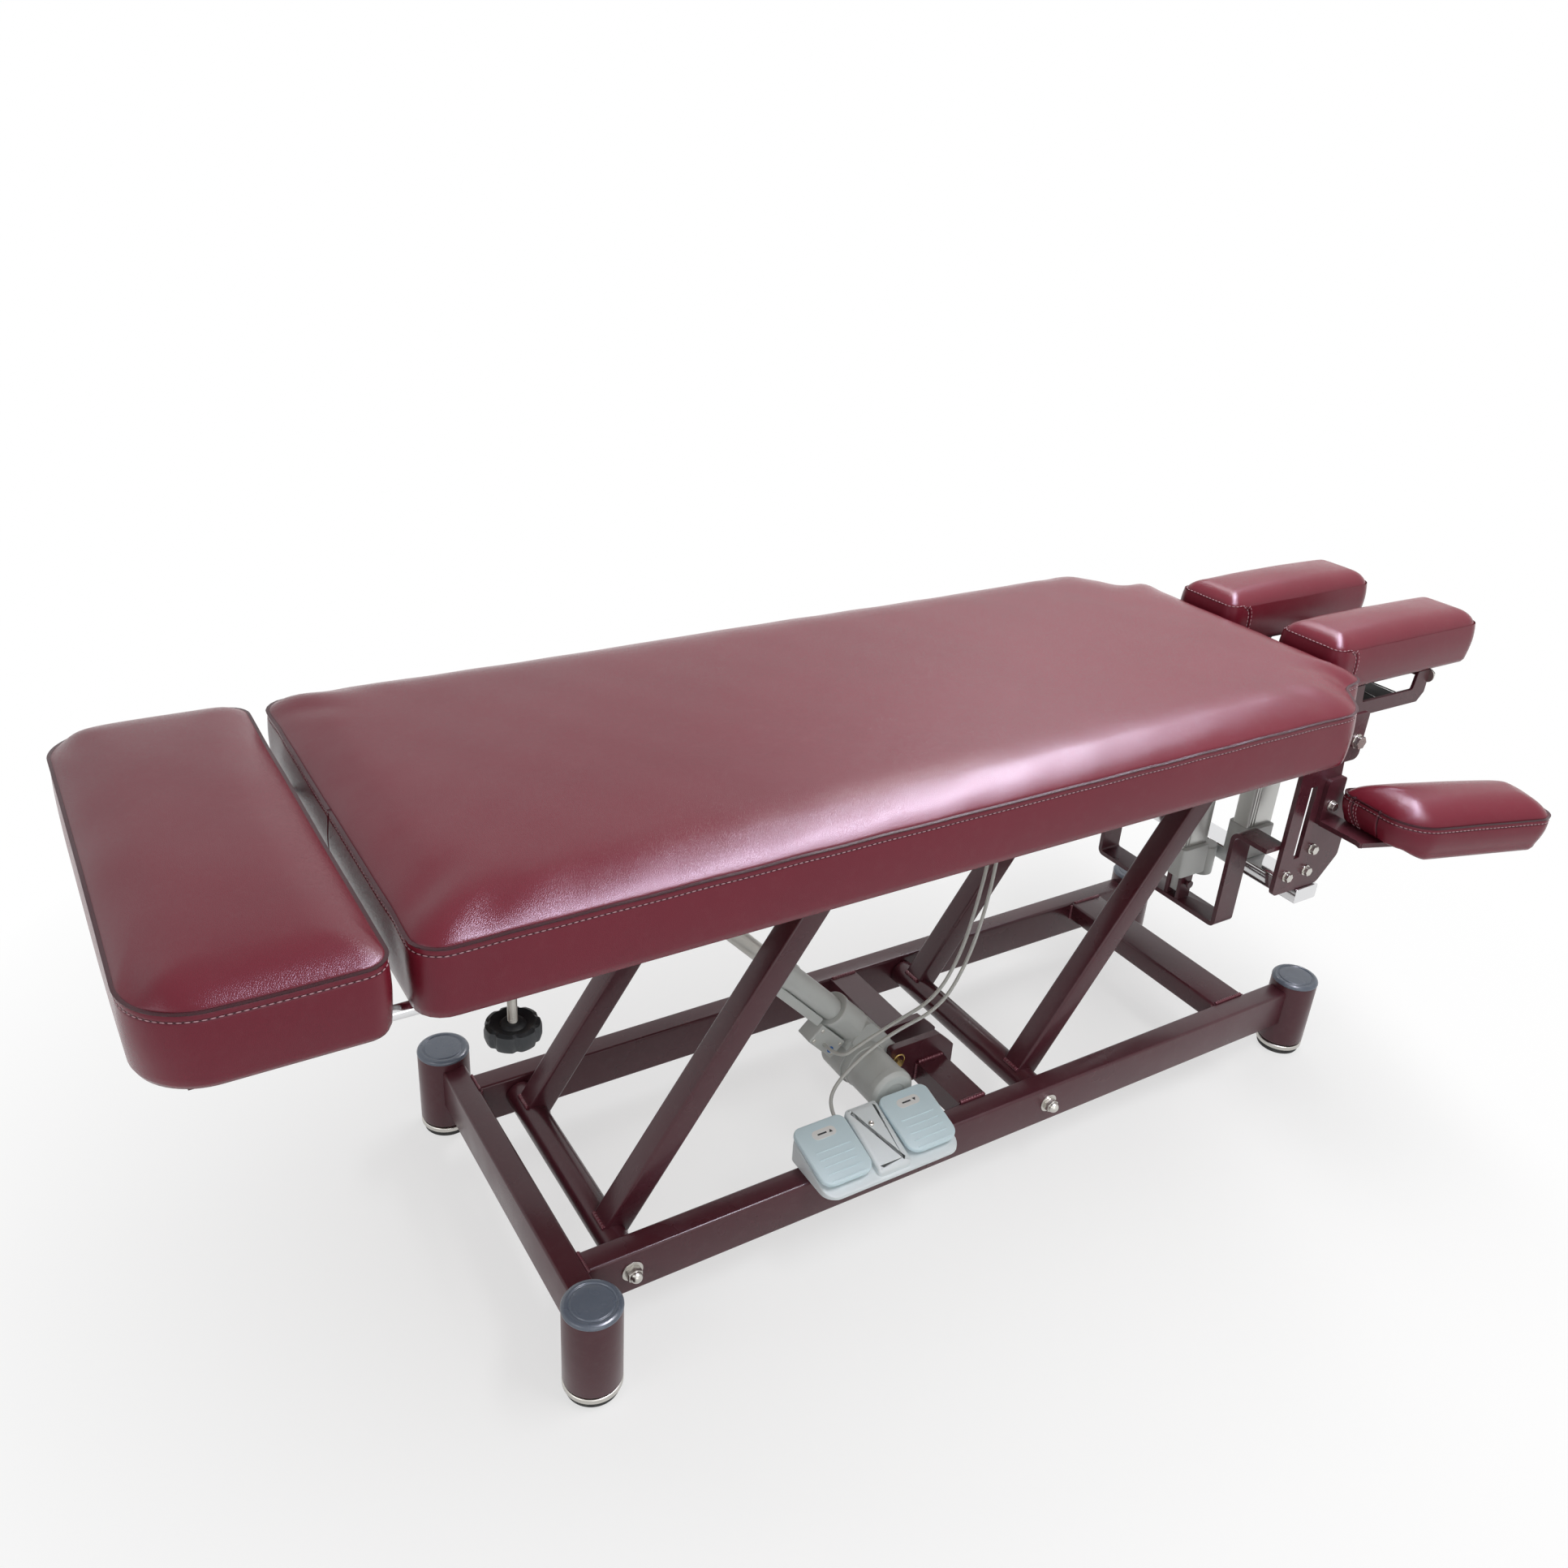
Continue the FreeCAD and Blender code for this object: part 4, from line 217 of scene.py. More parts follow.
def softened(corners, radii, steps=5):
    """Closed outline whose corners become arcs tangent to both sides."""
    corners = np.asarray(corners, float)
    before = unit(np.roll(corners, 1, 0) - corners)
    after = unit(np.roll(corners, -1, 0) - corners)
    cosine = np.clip((before * after).sum(1), -1, 1)
    half = np.arccos(cosine) / 2
    radii = np.maximum(np.broadcast_to(radii, half.shape), 1e-5)
    centre = corners + unit(before + after) * (radii / np.sin(half))[:, None]
    first = unit(corners + before * (radii / np.tan(half))[:, None] - centre)
    last = unit(corners + after * (radii / np.tan(half))[:, None] - centre)
    blend = np.linspace(0, 1, steps)[None, :, None]
    sweep = math.pi - 2 * half[:, None, None]
    weight_first = np.sin((1 - blend) * sweep) / np.sin(sweep)
    weight_last = np.sin(blend * sweep) / np.sin(sweep)
    arcs = first[:, None] * weight_first + last[:, None] * weight_last
    return (centre[:, None] + arcs * radii[:, None, None]).reshape(-1, 2)


def inset_loop(loop, distance):
    """Loop moved inwards along its own normals (anticlockwise loops)."""
    tangent = unit(np.roll(loop, -1, 0) - np.roll(loop, 1, 0))
    return loop + np.stack([-tangent[:, 1], tangent[:, 0]], -1) * distance


def slab(outline, depth, edge, steps=3):
    """Outline pushed up by depth, both rims rounded by a quarter circle."""
    if np.cross(outline, np.roll(outline, -1, 0)).sum() < 0:
        outline = outline[::-1]
    inset, rise = edge_rows(edge, depth, steps)
    rows = np.stack([inset_loop(outline, d) for d in inset])
    grid = np.concatenate([rows, np.broadcast_to(rise[:, None, None], rows.shape[:2] + (1,))], -1)
    return skin(grid)


def around(axis):
    """The axis made unit, and two directions square to it."""
    axis = unit(axis)
    side = unit(np.cross(X if abs(axis[0]) < 0.9 else Y, axis))
    return axis, side, np.cross(axis, side)


def turned(profile, start, axis, steps=48):
    """(radius, height) profile turned about the axis; heights run along it."""
    profile = np.asarray(profile, float)
    axis, side, up = around(axis)
    angle = np.linspace(0, 2 * math.pi, steps, endpoint=False)
    ring = np.cos(angle)[:, None] * side + np.sin(angle)[:, None] * up
    grid = np.asarray(start, float) + profile[:, :1, None] * ring + profile[:, 1:, None] * axis
    return skin(grid)


def hollow(profile, start, axis, steps=48):
    """Profile that closes on itself, turned about the axis without end faces."""
    profile = np.asarray(profile, float)
    vertices, faces = turned(np.concatenate([profile, profile[:1]]), start, axis, steps)
    return vertices, faces[:-2]


def rod(radius, low, high, edge, start, axis, steps=48):
    """Solid cylinder from low to high along the axis, its rims rounded."""
    return turned(rounded_profile([(0, low), (radius, low), (radius, high), (0, high)], edge), start, axis, steps)


def rounded_profile(points, radius, steps=4):
    """Open (radius, height) profile whose inner corners become small arcs."""
    points = np.asarray(points, float)
    middle = points[1:-1]
    before, after = points[:-2] - middle, points[2:] - middle
    reach = np.minimum(np.linalg.norm(before, axis=1), np.linalg.norm(after, axis=1)) * 0.45
    reach = np.minimum(reach, radius)[:, None, None]
    t = np.linspace(0, 1, steps)[None, :, None]
    a = middle[:, None] + unit(before)[:, None] * reach
    b = middle[:, None] + unit(after)[:, None] * reach
    curve = (1 - t) ** 2 * a + 2 * t * (1 - t) * middle[:, None] + t ** 2 * b
    return np.concatenate([points[:1], curve.reshape(-1, 2), points[-1:]])


def tube(points, radius, sides=10, reference=Y):
    """Circle carried along a path, its frame built from the path's tangent and one fixed direction."""
    points = np.asarray(points, float)
    tangent = unit(np.gradient(points, axis=0))
    side = unit(np.cross(tangent, reference))
    up = np.cross(side, tangent)
    angle = np.linspace(0, 2 * math.pi, sides, endpoint=False)
    radius = np.broadcast_to(np.asarray(radius, float), (len(points),))[:, None, None]
    ring = np.cos(angle)[:, None] * side[:, None] + np.sin(angle)[:, None] * up[:, None]
    return skin((points[:, None] + ring * radius)[:, ::-1])


def weld(points, width, reference=Y):
    """Weld bead: a tube whose radius ripples every 1.6 widths along the seam."""
    points = np.asarray(points, float)
    steps = np.linalg.norm(np.diff(points, axis=0), axis=1)
    travelled = np.concatenate([[0], np.cumsum(steps)])
    count = max(int(travelled[-1] / (width * 0.2)), 12)
    at = np.linspace(0, travelled[-1], count)
    fine = np.stack([np.interp(at, travelled, points[:, k]) for k in range(3)], -1)
    radius = width * 0.5 * (1 + 0.28 * np.abs(np.sin(at * math.pi / (width * 0.8))))
    return tube(fine, radius, 7, reference)


def hexagon_nut(across, depth, start, axis, edge=0.0006):
    """Hexagon whose rim falls away towards its corners as a turned chamfer does."""
    radius = across / math.sqrt(3)
    corner = np.arange(6) * math.pi / 3
    outline = softened(np.stack([radius * np.cos(corner), radius * np.sin(corner)], -1), across * 0.02, 3)
    axis, side, up = around(axis)
    return placed(slab(outline, depth, edge, 2), start, side, up, axis)


def domed_nut(across, start, axis):
    """Washer, hexagon and dome, tightened along the axis."""
    start, axis = np.asarray(start, float), unit(axis)
    washer = rod(across * 0.78, 0, 0.002, 0.0005, start, axis, 32)
    nut = hexagon_nut(across, across * 0.5, start + axis * 0.002, axis)
    angle = np.linspace(0, math.pi / 2, 10)
    dome = np.stack([across * 0.45 * np.cos(angle), across * 0.45 * np.sin(angle)], -1)
    dome = np.concatenate([[[0, -0.001]], [[across * 0.45, -0.001]], dome])
    return together([washer, nut, turned(dome, start + axis * (0.002 + across * 0.5), axis, 28)])


# Pieces

def linked(name, data):
    """New object of the data, in the scene."""
    item = bpy.data.objects.new(name, data)
    bpy.context.scene.collection.objects.link(item)
    return item


def placed_piece(name, mesh, finish_name, sharp):
    """Object of a mesh in the scene: smooth, with creases over the sharp angle."""
    mesh.polygons.foreach_set("use_smooth", np.ones(len(mesh.polygons), bool))
    mesh.set_sharp_from_angle(angle=math.radians(sharp))
    mesh.materials.append(FINISHES[finish_name])
    return linked(name, mesh)


def make(name, part, finish_name, body, replaces=(), sharp=38.0, seam=None):
    """Mesh from arrays: doubles merged, normals outward, smooth with creases over the sharp angle. seam, when given,
    becomes the point attribute seam: seam dirt and painted seam shade for the vinyl's colour.
    """
    vertices, faces = part
    mesh = bpy.data.meshes.new(name)
    mesh.from_pydata(np.asarray(vertices, float).tolist(), [], faces)
    # seam: seam dirt and painted shade in the seam grooves, which the vinyl reads to darken its colour.
    if seam is not None:
        mesh.attributes.new("seam", "FLOAT", "POINT").data.foreach_set("value", np.asarray(seam).ravel())
    tidy = bmesh.new()
    tidy.from_mesh(mesh)
    bmesh.ops.remove_doubles(tidy, verts=tidy.verts, dist=2e-6)
    bmesh.ops.dissolve_degenerate(tidy, dist=1e-6, edges=tidy.edges)
    bmesh.ops.recalc_face_normals(tidy, faces=tidy.faces)
    tidy.to_mesh(mesh)
    tidy.free()
    piece = placed_piece(name, mesh, finish_name, sharp)
    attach(piece, body)
    if replaces:
        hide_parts(*replaces)
    return piece


def eased(node, finish_name, body, width=None):
    """Copy of a CAD node with its facets merged and its long edges rounded."""
    name = node + "_dressed"
    source = frame["nodes"][node]
    mesh = source.data.copy()
    mesh.name = name
    tidy = bmesh.new()
    tidy.from_mesh(mesh)
    bmesh.ops.remove_doubles(tidy, verts=tidy.verts, dist=5e-6)
    bmesh.ops.dissolve_limit(tidy, angle_limit=math.radians(1.0), verts=tidy.verts, edges=tidy.edges)
    tidy.to_mesh(mesh)
    tidy.free()
    mesh.materials.clear()
    piece = placed_piece(name, mesh, finish_name, 40)
    rounding = piece.modifiers.new("rounded edges", "BEVEL")
    rounding.width = sizes().cut_edge if width is None else width
    rounding.segments = 2
    rounding.limit_method = "ANGLE"
    rounding.angle_limit = math.radians(40)
    rounding.harden_normals = False
    rounding.use_clamp_overlap = True
    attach(piece, body)
    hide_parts(node)
    return piece


# Finishes

def group(name, inputs, outputs):
    """Empty shader group with named float or colour sockets."""
    tree = bpy.data.node_groups.new(name, "ShaderNodeTree")
    for label, kind, default in inputs:
        socket = tree.interface.new_socket(label, in_out="INPUT", socket_type=kind)
        socket.default_value = default
    for label, kind in outputs:
        tree.interface.new_socket(label, in_out="OUTPUT", socket_type=kind)
    return tree, tree.nodes.new("NodeGroupInput"), tree.nodes.new("NodeGroupOutput")


def add(tree, kind, **values):
    node = tree.nodes.new(kind)
    for key, value in values.items():
        setattr(node, key, value)
    return node


def noise(tree, scale, detail=3.0, roughness=0.5):
    place = add(tree, "ShaderNodeTexCoord")
    texture = add(tree, "ShaderNodeTexNoise")
    texture.inputs["Detail"].default_value = detail
    texture.inputs["Roughness"].default_value = roughness
    texture.inputs["Distortion"].default_value = 0.0
    tree.links.new(place.outputs["Object"], texture.inputs["Vector"])
    if isinstance(scale, bpy.types.NodeSocket):
        tree.links.new(scale, texture.inputs["Scale"])
    else:
        texture.inputs["Scale"].default_value = scale
    return texture


def ranged(tree, value, low, high, to_low, to_high):
    node = add(tree, "ShaderNodeMapRange")
    tree.links.new(value, node.inputs["Value"])
    for label, item in (("From Min", low), ("From Max", high), ("To Min", to_low), ("To Max", to_high)):
        if isinstance(item, bpy.types.NodeSocket):
            tree.links.new(item, node.inputs[label])
        else:
            node.inputs[label].default_value = item
    return node.outputs["Result"]


def mixed(tree, factor, first, second):
    node = add(tree, "ShaderNodeMix", data_type="RGBA")
    tree.links.new(factor, node.inputs[0])
    for socket, item in ((node.inputs[6], first), (node.inputs[7], second)):
        if isinstance(item, bpy.types.NodeSocket):
            tree.links.new(item, socket)
        else:
            socket.default_value = (*item, 1.0)
    return node.outputs[2]


def orange_peel_group():
    """Sprayed skin: fine ripples as height, and roughness that drifts over a hand's width."""
    tree, inside, out = group(
        "orange peel",
        [("Ripple Scale", "NodeSocketFloat", 420.0), ("Roughness Low", "NodeSocketFloat", 0.25),
         ("Roughness High", "NodeSocketFloat", 0.4)],
        [("Height", "NodeSocketFloat"), ("Roughness", "NodeSocketFloat")])
    ripples = noise(tree, inside.outputs["Ripple Scale"], 2.0, 0.45)
    drift = noise(tree, 7.0, 4.0, 0.6)
    tree.links.new(ripples.outputs["Fac"], out.inputs["Height"])
    tree.links.new(ranged(tree, drift.outputs["Fac"], 0.35, 0.65, inside.outputs["Roughness Low"],
                          inside.outputs["Roughness High"]), out.inputs["Roughness"])
    return tree


def handled_group():
    """Colour that drifts slowly and carries a little pale dust in patches."""
    tree, inside, out = group(
        "handled colour",
        [("Colour", "NodeSocketColor", (0.5, 0.5, 0.5, 1)), ("Deep Colour", "NodeSocketColor", (0.3, 0.3, 0.3, 1)),
         ("Dust Colour", "NodeSocketColor", (0.6, 0.58, 0.55, 1)), ("Dust", "NodeSocketFloat", 0.05),
         ("Drift Scale", "NodeSocketFloat", 5.0)],
        [("Colour", "NodeSocketColor")])
    drift = noise(tree, inside.outputs["Drift Scale"], 5.0, 0.6)
    base = mixed(tree, ranged(tree, drift.outputs["Fac"], 0.3, 0.7, 0.0, 1.0),
                 inside.outputs["Deep Colour"], inside.outputs["Colour"])
    specks = noise(tree, 60.0, 6.0, 0.7)
    amount = add(tree, "ShaderNodeMath", operation="MULTIPLY")
    tree.links.new(ranged(tree, specks.outputs["Fac"], 0.5, 0.75, 0.0, 1.0), amount.inputs[0])
    tree.links.new(inside.outputs["Dust"], amount.inputs[1])
    tree.links.new(mixed(tree, amount.outputs[0], base, inside.outputs["Dust Colour"]), out.inputs["Colour"])
    return tree


def vinyl_grain_group():
    """Pressed grain: rounded cells with fine creases between them, as height."""
    tree, inside, out = group(
        "vinyl grain",
        [("Cell Scale", "NodeSocketFloat", 620.0), ("Crease", "NodeSocketFloat", 0.7)],
        [("Height", "NodeSocketFloat"), ("Crease Mask", "NodeSocketFloat")])
    place = add(tree, "ShaderNodeTexCoord")
    bend = noise(tree, 180.0, 2.0)
    warp = add(tree, "ShaderNodeVectorMath", operation="MULTIPLY_ADD")
    warp.inputs[1].default_value = (0.0016, 0.0016, 0.0016)
    tree.links.new(bend.outputs["Color"], warp.inputs[0])
    tree.links.new(place.outputs["Object"], warp.inputs[2])
    cells = add(tree, "ShaderNodeTexVoronoi", feature="DISTANCE_TO_EDGE")
    tree.links.new(warp.outputs[0], cells.inputs["Vector"])
    tree.links.new(inside.outputs["Cell Scale"], cells.inputs["Scale"])
    crease = ranged(tree, cells.outputs["Distance"], 0.0, 0.16, 0.0, 1.0)
    scaled = add(tree, "ShaderNodeMath", operation="MULTIPLY")
    tree.links.new(crease, scaled.inputs[0])
    tree.links.new(inside.outputs["Crease"], scaled.inputs[1])
    fine = noise(tree, 1500.0, 2.0)
    total = add(tree, "ShaderNodeMath", operation="MULTIPLY_ADD")
    total.inputs[1].default_value = 0.3
    tree.links.new(fine.outputs["Fac"], total.inputs[0])
    tree.links.new(scaled.outputs[0], total.inputs[2])
    tree.links.new(total.outputs[0], out.inputs["Height"])
    tree.links.new(crease, out.inputs["Crease Mask"])
    return tree


GROUPS = {}
FINISHES = {}


def use_group(tree, name, **values):
    node = add(tree, "ShaderNodeGroup")
    node.node_tree = GROUPS[name]
    for label, value in values.items():
        node.inputs[label.replace("_", " ")].default_value = value
    return node


def finish(name, base, roughness=(0.3, 0.4), metallic=0.0, bump=0.0, ripple=420.0, deep=0.8, dust=0.04,
           coat=0.0, coat_roughness=0.1, specular=0.5, drift=5.0):
    """Principled finish fed by the shared groups; constants stay on the shader's own sockets."""
    material = bpy.data.materials.new(name)
    material.use_nodes = True
    tree = material.node_tree
    shader = tree.nodes["Principled BSDF"]
    shader.inputs["Metallic"].default_value = metallic
    shader.inputs["Coat Weight"].default_value = coat
    shader.inputs["Coat Roughness"].default_value = coat_roughness
    shader.inputs["Specular IOR Level"].default_value = specular
    tint = use_group(tree, "handled colour", Colour=(*base, 1), Deep_Colour=(*[c * deep for c in base], 1),
                     Dust_Colour=(0.6, 0.58, 0.55, 1), Dust=dust, Drift_Scale=drift)
    skin_node = use_group(tree, "orange peel", Ripple_Scale=ripple, Roughness_Low=roughness[0],
                          Roughness_High=roughness[1])
    tree.links.new(tint.outputs["Colour"], shader.inputs["Base Color"])
    tree.links.new(skin_node.outputs["Roughness"], shader.inputs["Roughness"])
    if bump:
        relief = add(tree, "ShaderNodeBump")
        relief.inputs["Strength"].default_value = bump
        relief.inputs["Distance"].default_value = 0.001
        tree.links.new(skin_node.outputs["Height"], relief.inputs["Height"])
        tree.links.new(relief.outputs["Normal"], shader.inputs["Normal"])
    FINISHES[name] = material
    return material


def upholstery_finish(base):
    """Soft-sheen vinyl: grain as bump, and along the sewn seams a base colour darkened by the seam attribute, partly
    dirt and partly painted shade in the groove.
    """
    material = finish("burgundy vinyl", base, roughness=(0.21, 0.26), deep=0.88, dust=0.01, drift=3.0,
                      specular=0.29, coat=0.05, coat_roughness=0.22)
    tree = material.node_tree
    shader = tree.nodes["Principled BSDF"]
    shader.inputs["Specular Tint"].default_value = (0.98, 0.86, 1.0, 1)
    seam = add(tree, "ShaderNodeAttribute", attribute_name="seam")
    tint = shader.inputs["Base Color"].links[0].from_socket
    # Painted shade: along the seams the base colour darkens towards 12 percent of itself, partly dirt and partly the
    # groove's shade painted in.
    shade = ranged(tree, seam.outputs["Fac"], 0.1, 1.0, 0.0, 0.9)
    tree.links.new(mixed(tree, shade, tint, tuple(c * 0.12 for c in base)), shader.inputs["Base Color"])
    grain = use_group(tree, "vinyl grain", Cell_Scale=560.0, Crease=0.55)
    relief = add(tree, "ShaderNodeBump")
    relief.inputs["Strength"].default_value = 0.22
    relief.inputs["Distance"].default_value = 0.0006
    tree.links.new(grain.outputs["Height"], relief.inputs["Height"])
    tree.links.new(relief.outputs["Normal"], shader.inputs["Normal"])


class TABLE_OT_finishes(bpy.types.Operator):
    """Build the shared shader groups and every finish of the table."""
    bl_idname = "table.finishes"
    bl_label = "Finishes"

    def execute(self, context):
        GROUPS["orange peel"] = orange_peel_group()
        GROUPS["handled colour"] = handled_group()
        GROUPS["vinyl grain"] = vinyl_grain_group()
        paint = colours()
        upholstery_finish(tuple(paint.upholstery))
        finish("thread", tuple(paint.thread), (0.55, 0.7))
        finish("maroon powder coat", tuple(paint.paint), (0.24, 0.36), bump=0.10, ripple=520.0, deep=0.82,
               dust=0.02, coat=0.10, specular=0.40)
        # Weld beads: the frame paint lightened 1.9 times, a painted sheen standing in for the glint of the rippled
        # beads.
        finish("weld paint with painted sheen", tuple(c * 1.9 for c in paint.paint), (0.22, 0.34), bump=0.3, metallic=0.25,
               dust=0.10)
        finish("black plastic", tuple(paint.black), (0.38, 0.5), bump=0.12, dust=0.06)
        finish("cap plastic", tuple(paint.cap), (0.22, 0.32), bump=0.06, dust=0.04, coat=0.15)
        finish("black rubber", (0.022, 0.022, 0.022), (0.6, 0.75), bump=0.2, dust=0.12)
        finish("zinc plate", (0.62, 0.60, 0.56), (0.24, 0.36), metallic=1.0, dust=0.0, deep=0.86)
        finish("bright chrome", (0.74, 0.74, 0.75), (0.07, 0.12), metallic=1.0, dust=0.0, deep=0.96)
        finish("push rod grey", (0.60, 0.585, 0.54), (0.24, 0.32), metallic=0.35, dust=0.02, deep=0.93)
        finish("drive housing grey", tuple(paint.drive), (0.36, 0.46), bump=0.12, ripple=900.0, deep=0.93, dust=0.03)
        finish("anodised column", (0.60, 0.60, 0.58), (0.30, 0.38), metallic=0.75, dust=0.0, deep=0.95)
        finish("column housing grey", tuple(c * 1.05 for c in paint.drive), (0.36, 0.46), bump=0.12, ripple=900.0,
               deep=0.94, dust=0.03)
        finish("switch white", tuple(paint.switch), (0.34, 0.42), bump=0.10, ripple=1200.0, deep=0.96, dust=0.03)
        finish("pedal grey blue", tuple(paint.pedal), (0.36, 0.44), bump=0.12, ripple=1400.0, deep=0.96, dust=0.02)
        finish("label white", (0.86, 0.87, 0.86), (0.3, 0.36), dust=0.0, deep=0.98)
        finish("print dark", (0.03, 0.035, 0.04), (0.4, 0.5), dust=0.0)
        finish("marker blue", (0.02, 0.16, 0.55), (0.25, 0.35), dust=0.0)
        finish("lead grey", (0.56, 0.56, 0.53), (0.4, 0.5), dust=0.02, deep=0.94)
        finish("washer white", (0.72, 0.72, 0.68), (0.4, 0.5), dust=0.03)
        finish("plain plywood", (0.34, 0.225, 0.125), (0.55, 0.68), bump=0.2, ripple=160.0, deep=0.8, dust=0.05)
        finish("cotter brass", (0.62, 0.43, 0.16), (0.25, 0.35), metallic=1.0, dust=0.0)
        # Near black: the underside cloth of the armrests; on the head boards and the pan under the head frame it is
        # partly painted shade.
        finish("dark underside", (0.012, 0.012, 0.012), (0.6, 0.7), dust=0.03)
        return {"FINISHED"}


PAINT = "maroon powder coat"
POST_RADIUS = 0.038
HEAD_POST_Y = 0.196
ARM_Y = 0.131
ARM_SIDE = 0.038


class TABLE_OT_base_frame(bpy.types.Operator):
    """Rails and cross tubes of the base: rounded rectangles carried along straight runs, with weld beads."""
    bl_idname = "table.base_frame"
    bl_label = "Base frame"

    def execute(self, context):
        s = sizes()
        low, high = node_box("base_rails")
        cross_low, cross_high = node_box("base_cross_tubes")
        width = 0.0354
        height = high[2] - low[2]
        middle_z = (high[2] + low[2]) / 2
        posts_high = node_box("posts")[1]
        parts = []
        for sign in SIGNS:
            y = sign * (high[1] - width / 2)
            parts.append(bar([low[0] - 0.0005, y, middle_z], [posts_high[0] - POST_RADIUS, y, middle_z], width,
                             height, s.tube_corner, 0.0003, Y * sign))
        make("base_rails_dressed", together(parts), PAINT, "base", ["base_rails"])
        x = cross_low[0] + width / 2
        tubes = [bar([x, -0.271, middle_z], [x, 0.271, middle_z], width, height, s.tube_corner, 0.0003, X)]
        broad, flat = 0.070, 0.035
        head_x = cross_high[0] - broad / 2
        z = cross_high[2] - flat / 2
        inner = high[1] - width
        tubes.append(bar([head_x, -inner - 0.0005, z], [head_x, inner + 0.0005, z], broad, flat, s.tube_corner,
                         0.0003, X))
        make("base_cross_tubes_dressed", together(tubes), PAINT, "base", ["base_cross_tubes"])
        beads = []
        for sign in SIGNS:
            y_in, y_out = sign * inner, sign * high[1]
            x_face = low[0]
            beads.append(weld([[x_face + 0.001, y_in, low[2] + 0.004], [x_face + 0.001, y_in, high[2] - 0.003]],
                              s.weld_width))
            beads.append(weld([[x_face, y_in, high[2] - 0.0006], [x_face, y_out, high[2] - 0.0006]],
                              s.weld_width * 0.6, reference=Z))
            for edge_x in (head_x - broad / 2, head_x + broad / 2):
                beads.append(weld([[edge_x, y_in - sign * 0.0008, cross_high[2] - flat + 0.003],
                                   [edge_x, y_in - sign * 0.0008, cross_high[2] - 0.003]], s.weld_width))
            beads.append(weld([[head_x - 0.030, y_in - sign * 0.0012, cross_high[2] - 0.0004],
                               [head_x + 0.030, y_in - sign * 0.0012, cross_high[2] - 0.0004]], s.weld_width,
                              reference=Z))
        welded("base_welds", beads, "base")
        return {"FINISHED"}


class TABLE_OT_posts(bpy.types.Operator):
    """Round posts with their caps, zinc rings and rubber feet: profiles turned about each post's axis."""
    bl_idname = "table.posts"
    bl_label = "Posts and feet"

    def execute(self, context):
        low, high = node_box("posts")
        cap_high = node_box("post_caps")[1]
        rubber_high = node_box("rubber_feet")[1]
        radius, ring_depth, foot_depth = POST_RADIUS, 0.008, rubber_high[2]
        places = [(low[0] + radius, sign * (high[1] - radius)) for sign in SIGNS]
        places += [(high[0] - radius, sign * HEAD_POST_Y) for sign in SIGNS]
        rise = cap_high[2] - high[2]
        cap = [(0, -0.006), (radius - 0.003, -0.006), (radius - 0.003, 0.0), (radius + 0.0004, 0.0003),
               (radius + 0.0004, rise * 0.40), (radius - 0.0012, rise * 0.78), (radius - 0.0045, rise),
               (radius - 0.0075, rise), (radius - 0.0088, rise - 0.0016), (radius - 0.0102, rise - 0.0016),
               (radius - 0.0112, rise - 0.0002), (radius * 0.45, rise - 0.0001), (0, rise)]
        ring = [(0, 0), (radius - 0.001, 0), (radius + 0.0002, 0.0012), (radius + 0.0002, ring_depth - 0.0012),
                (radius - 0.001, ring_depth), (radius - 0.006, ring_depth), (radius - 0.006, low[2] - rubber_high[2]),
                (0, low[2] - rubber_high[2])]
        foot = [(0, 0.0), (radius - 0.0075, 0.0), (radius - 0.0035, 0.0022), (radius - 0.003, foot_depth * 0.6),
                (radius - 0.0036, foot_depth), (0, foot_depth)]
        columns, caps, rings, feet = [], [], [], []
        for x, y in places:
            columns.append(rod(radius, 0, high[2] - low[2], 0.0012, [x, y, low[2]], Z, 64))
            caps.append(turned(rounded_profile(cap, 0.0009), [x, y, high[2]], Z, 64))
            rings.append(turned(rounded_profile(ring, 0.0006), [x, y, rubber_high[2]], Z, 64))
            feet.append(turned(rounded_profile(foot, 0.001), [x, y, 0.0], Z, 64))
        make("posts_dressed", together(columns), PAINT, "base", ["posts"])
        make("post_caps_dressed", together(caps), "cap plastic", "base", ["post_caps"], 30)
        make("foot_rings_dressed", together(rings), "zinc plate", "base", ["foot_rings"], 30)
        make("rubber_feet_dressed", together(feet), "black rubber", "base", ["rubber_feet"], 30)
        return {"FINISHED"}


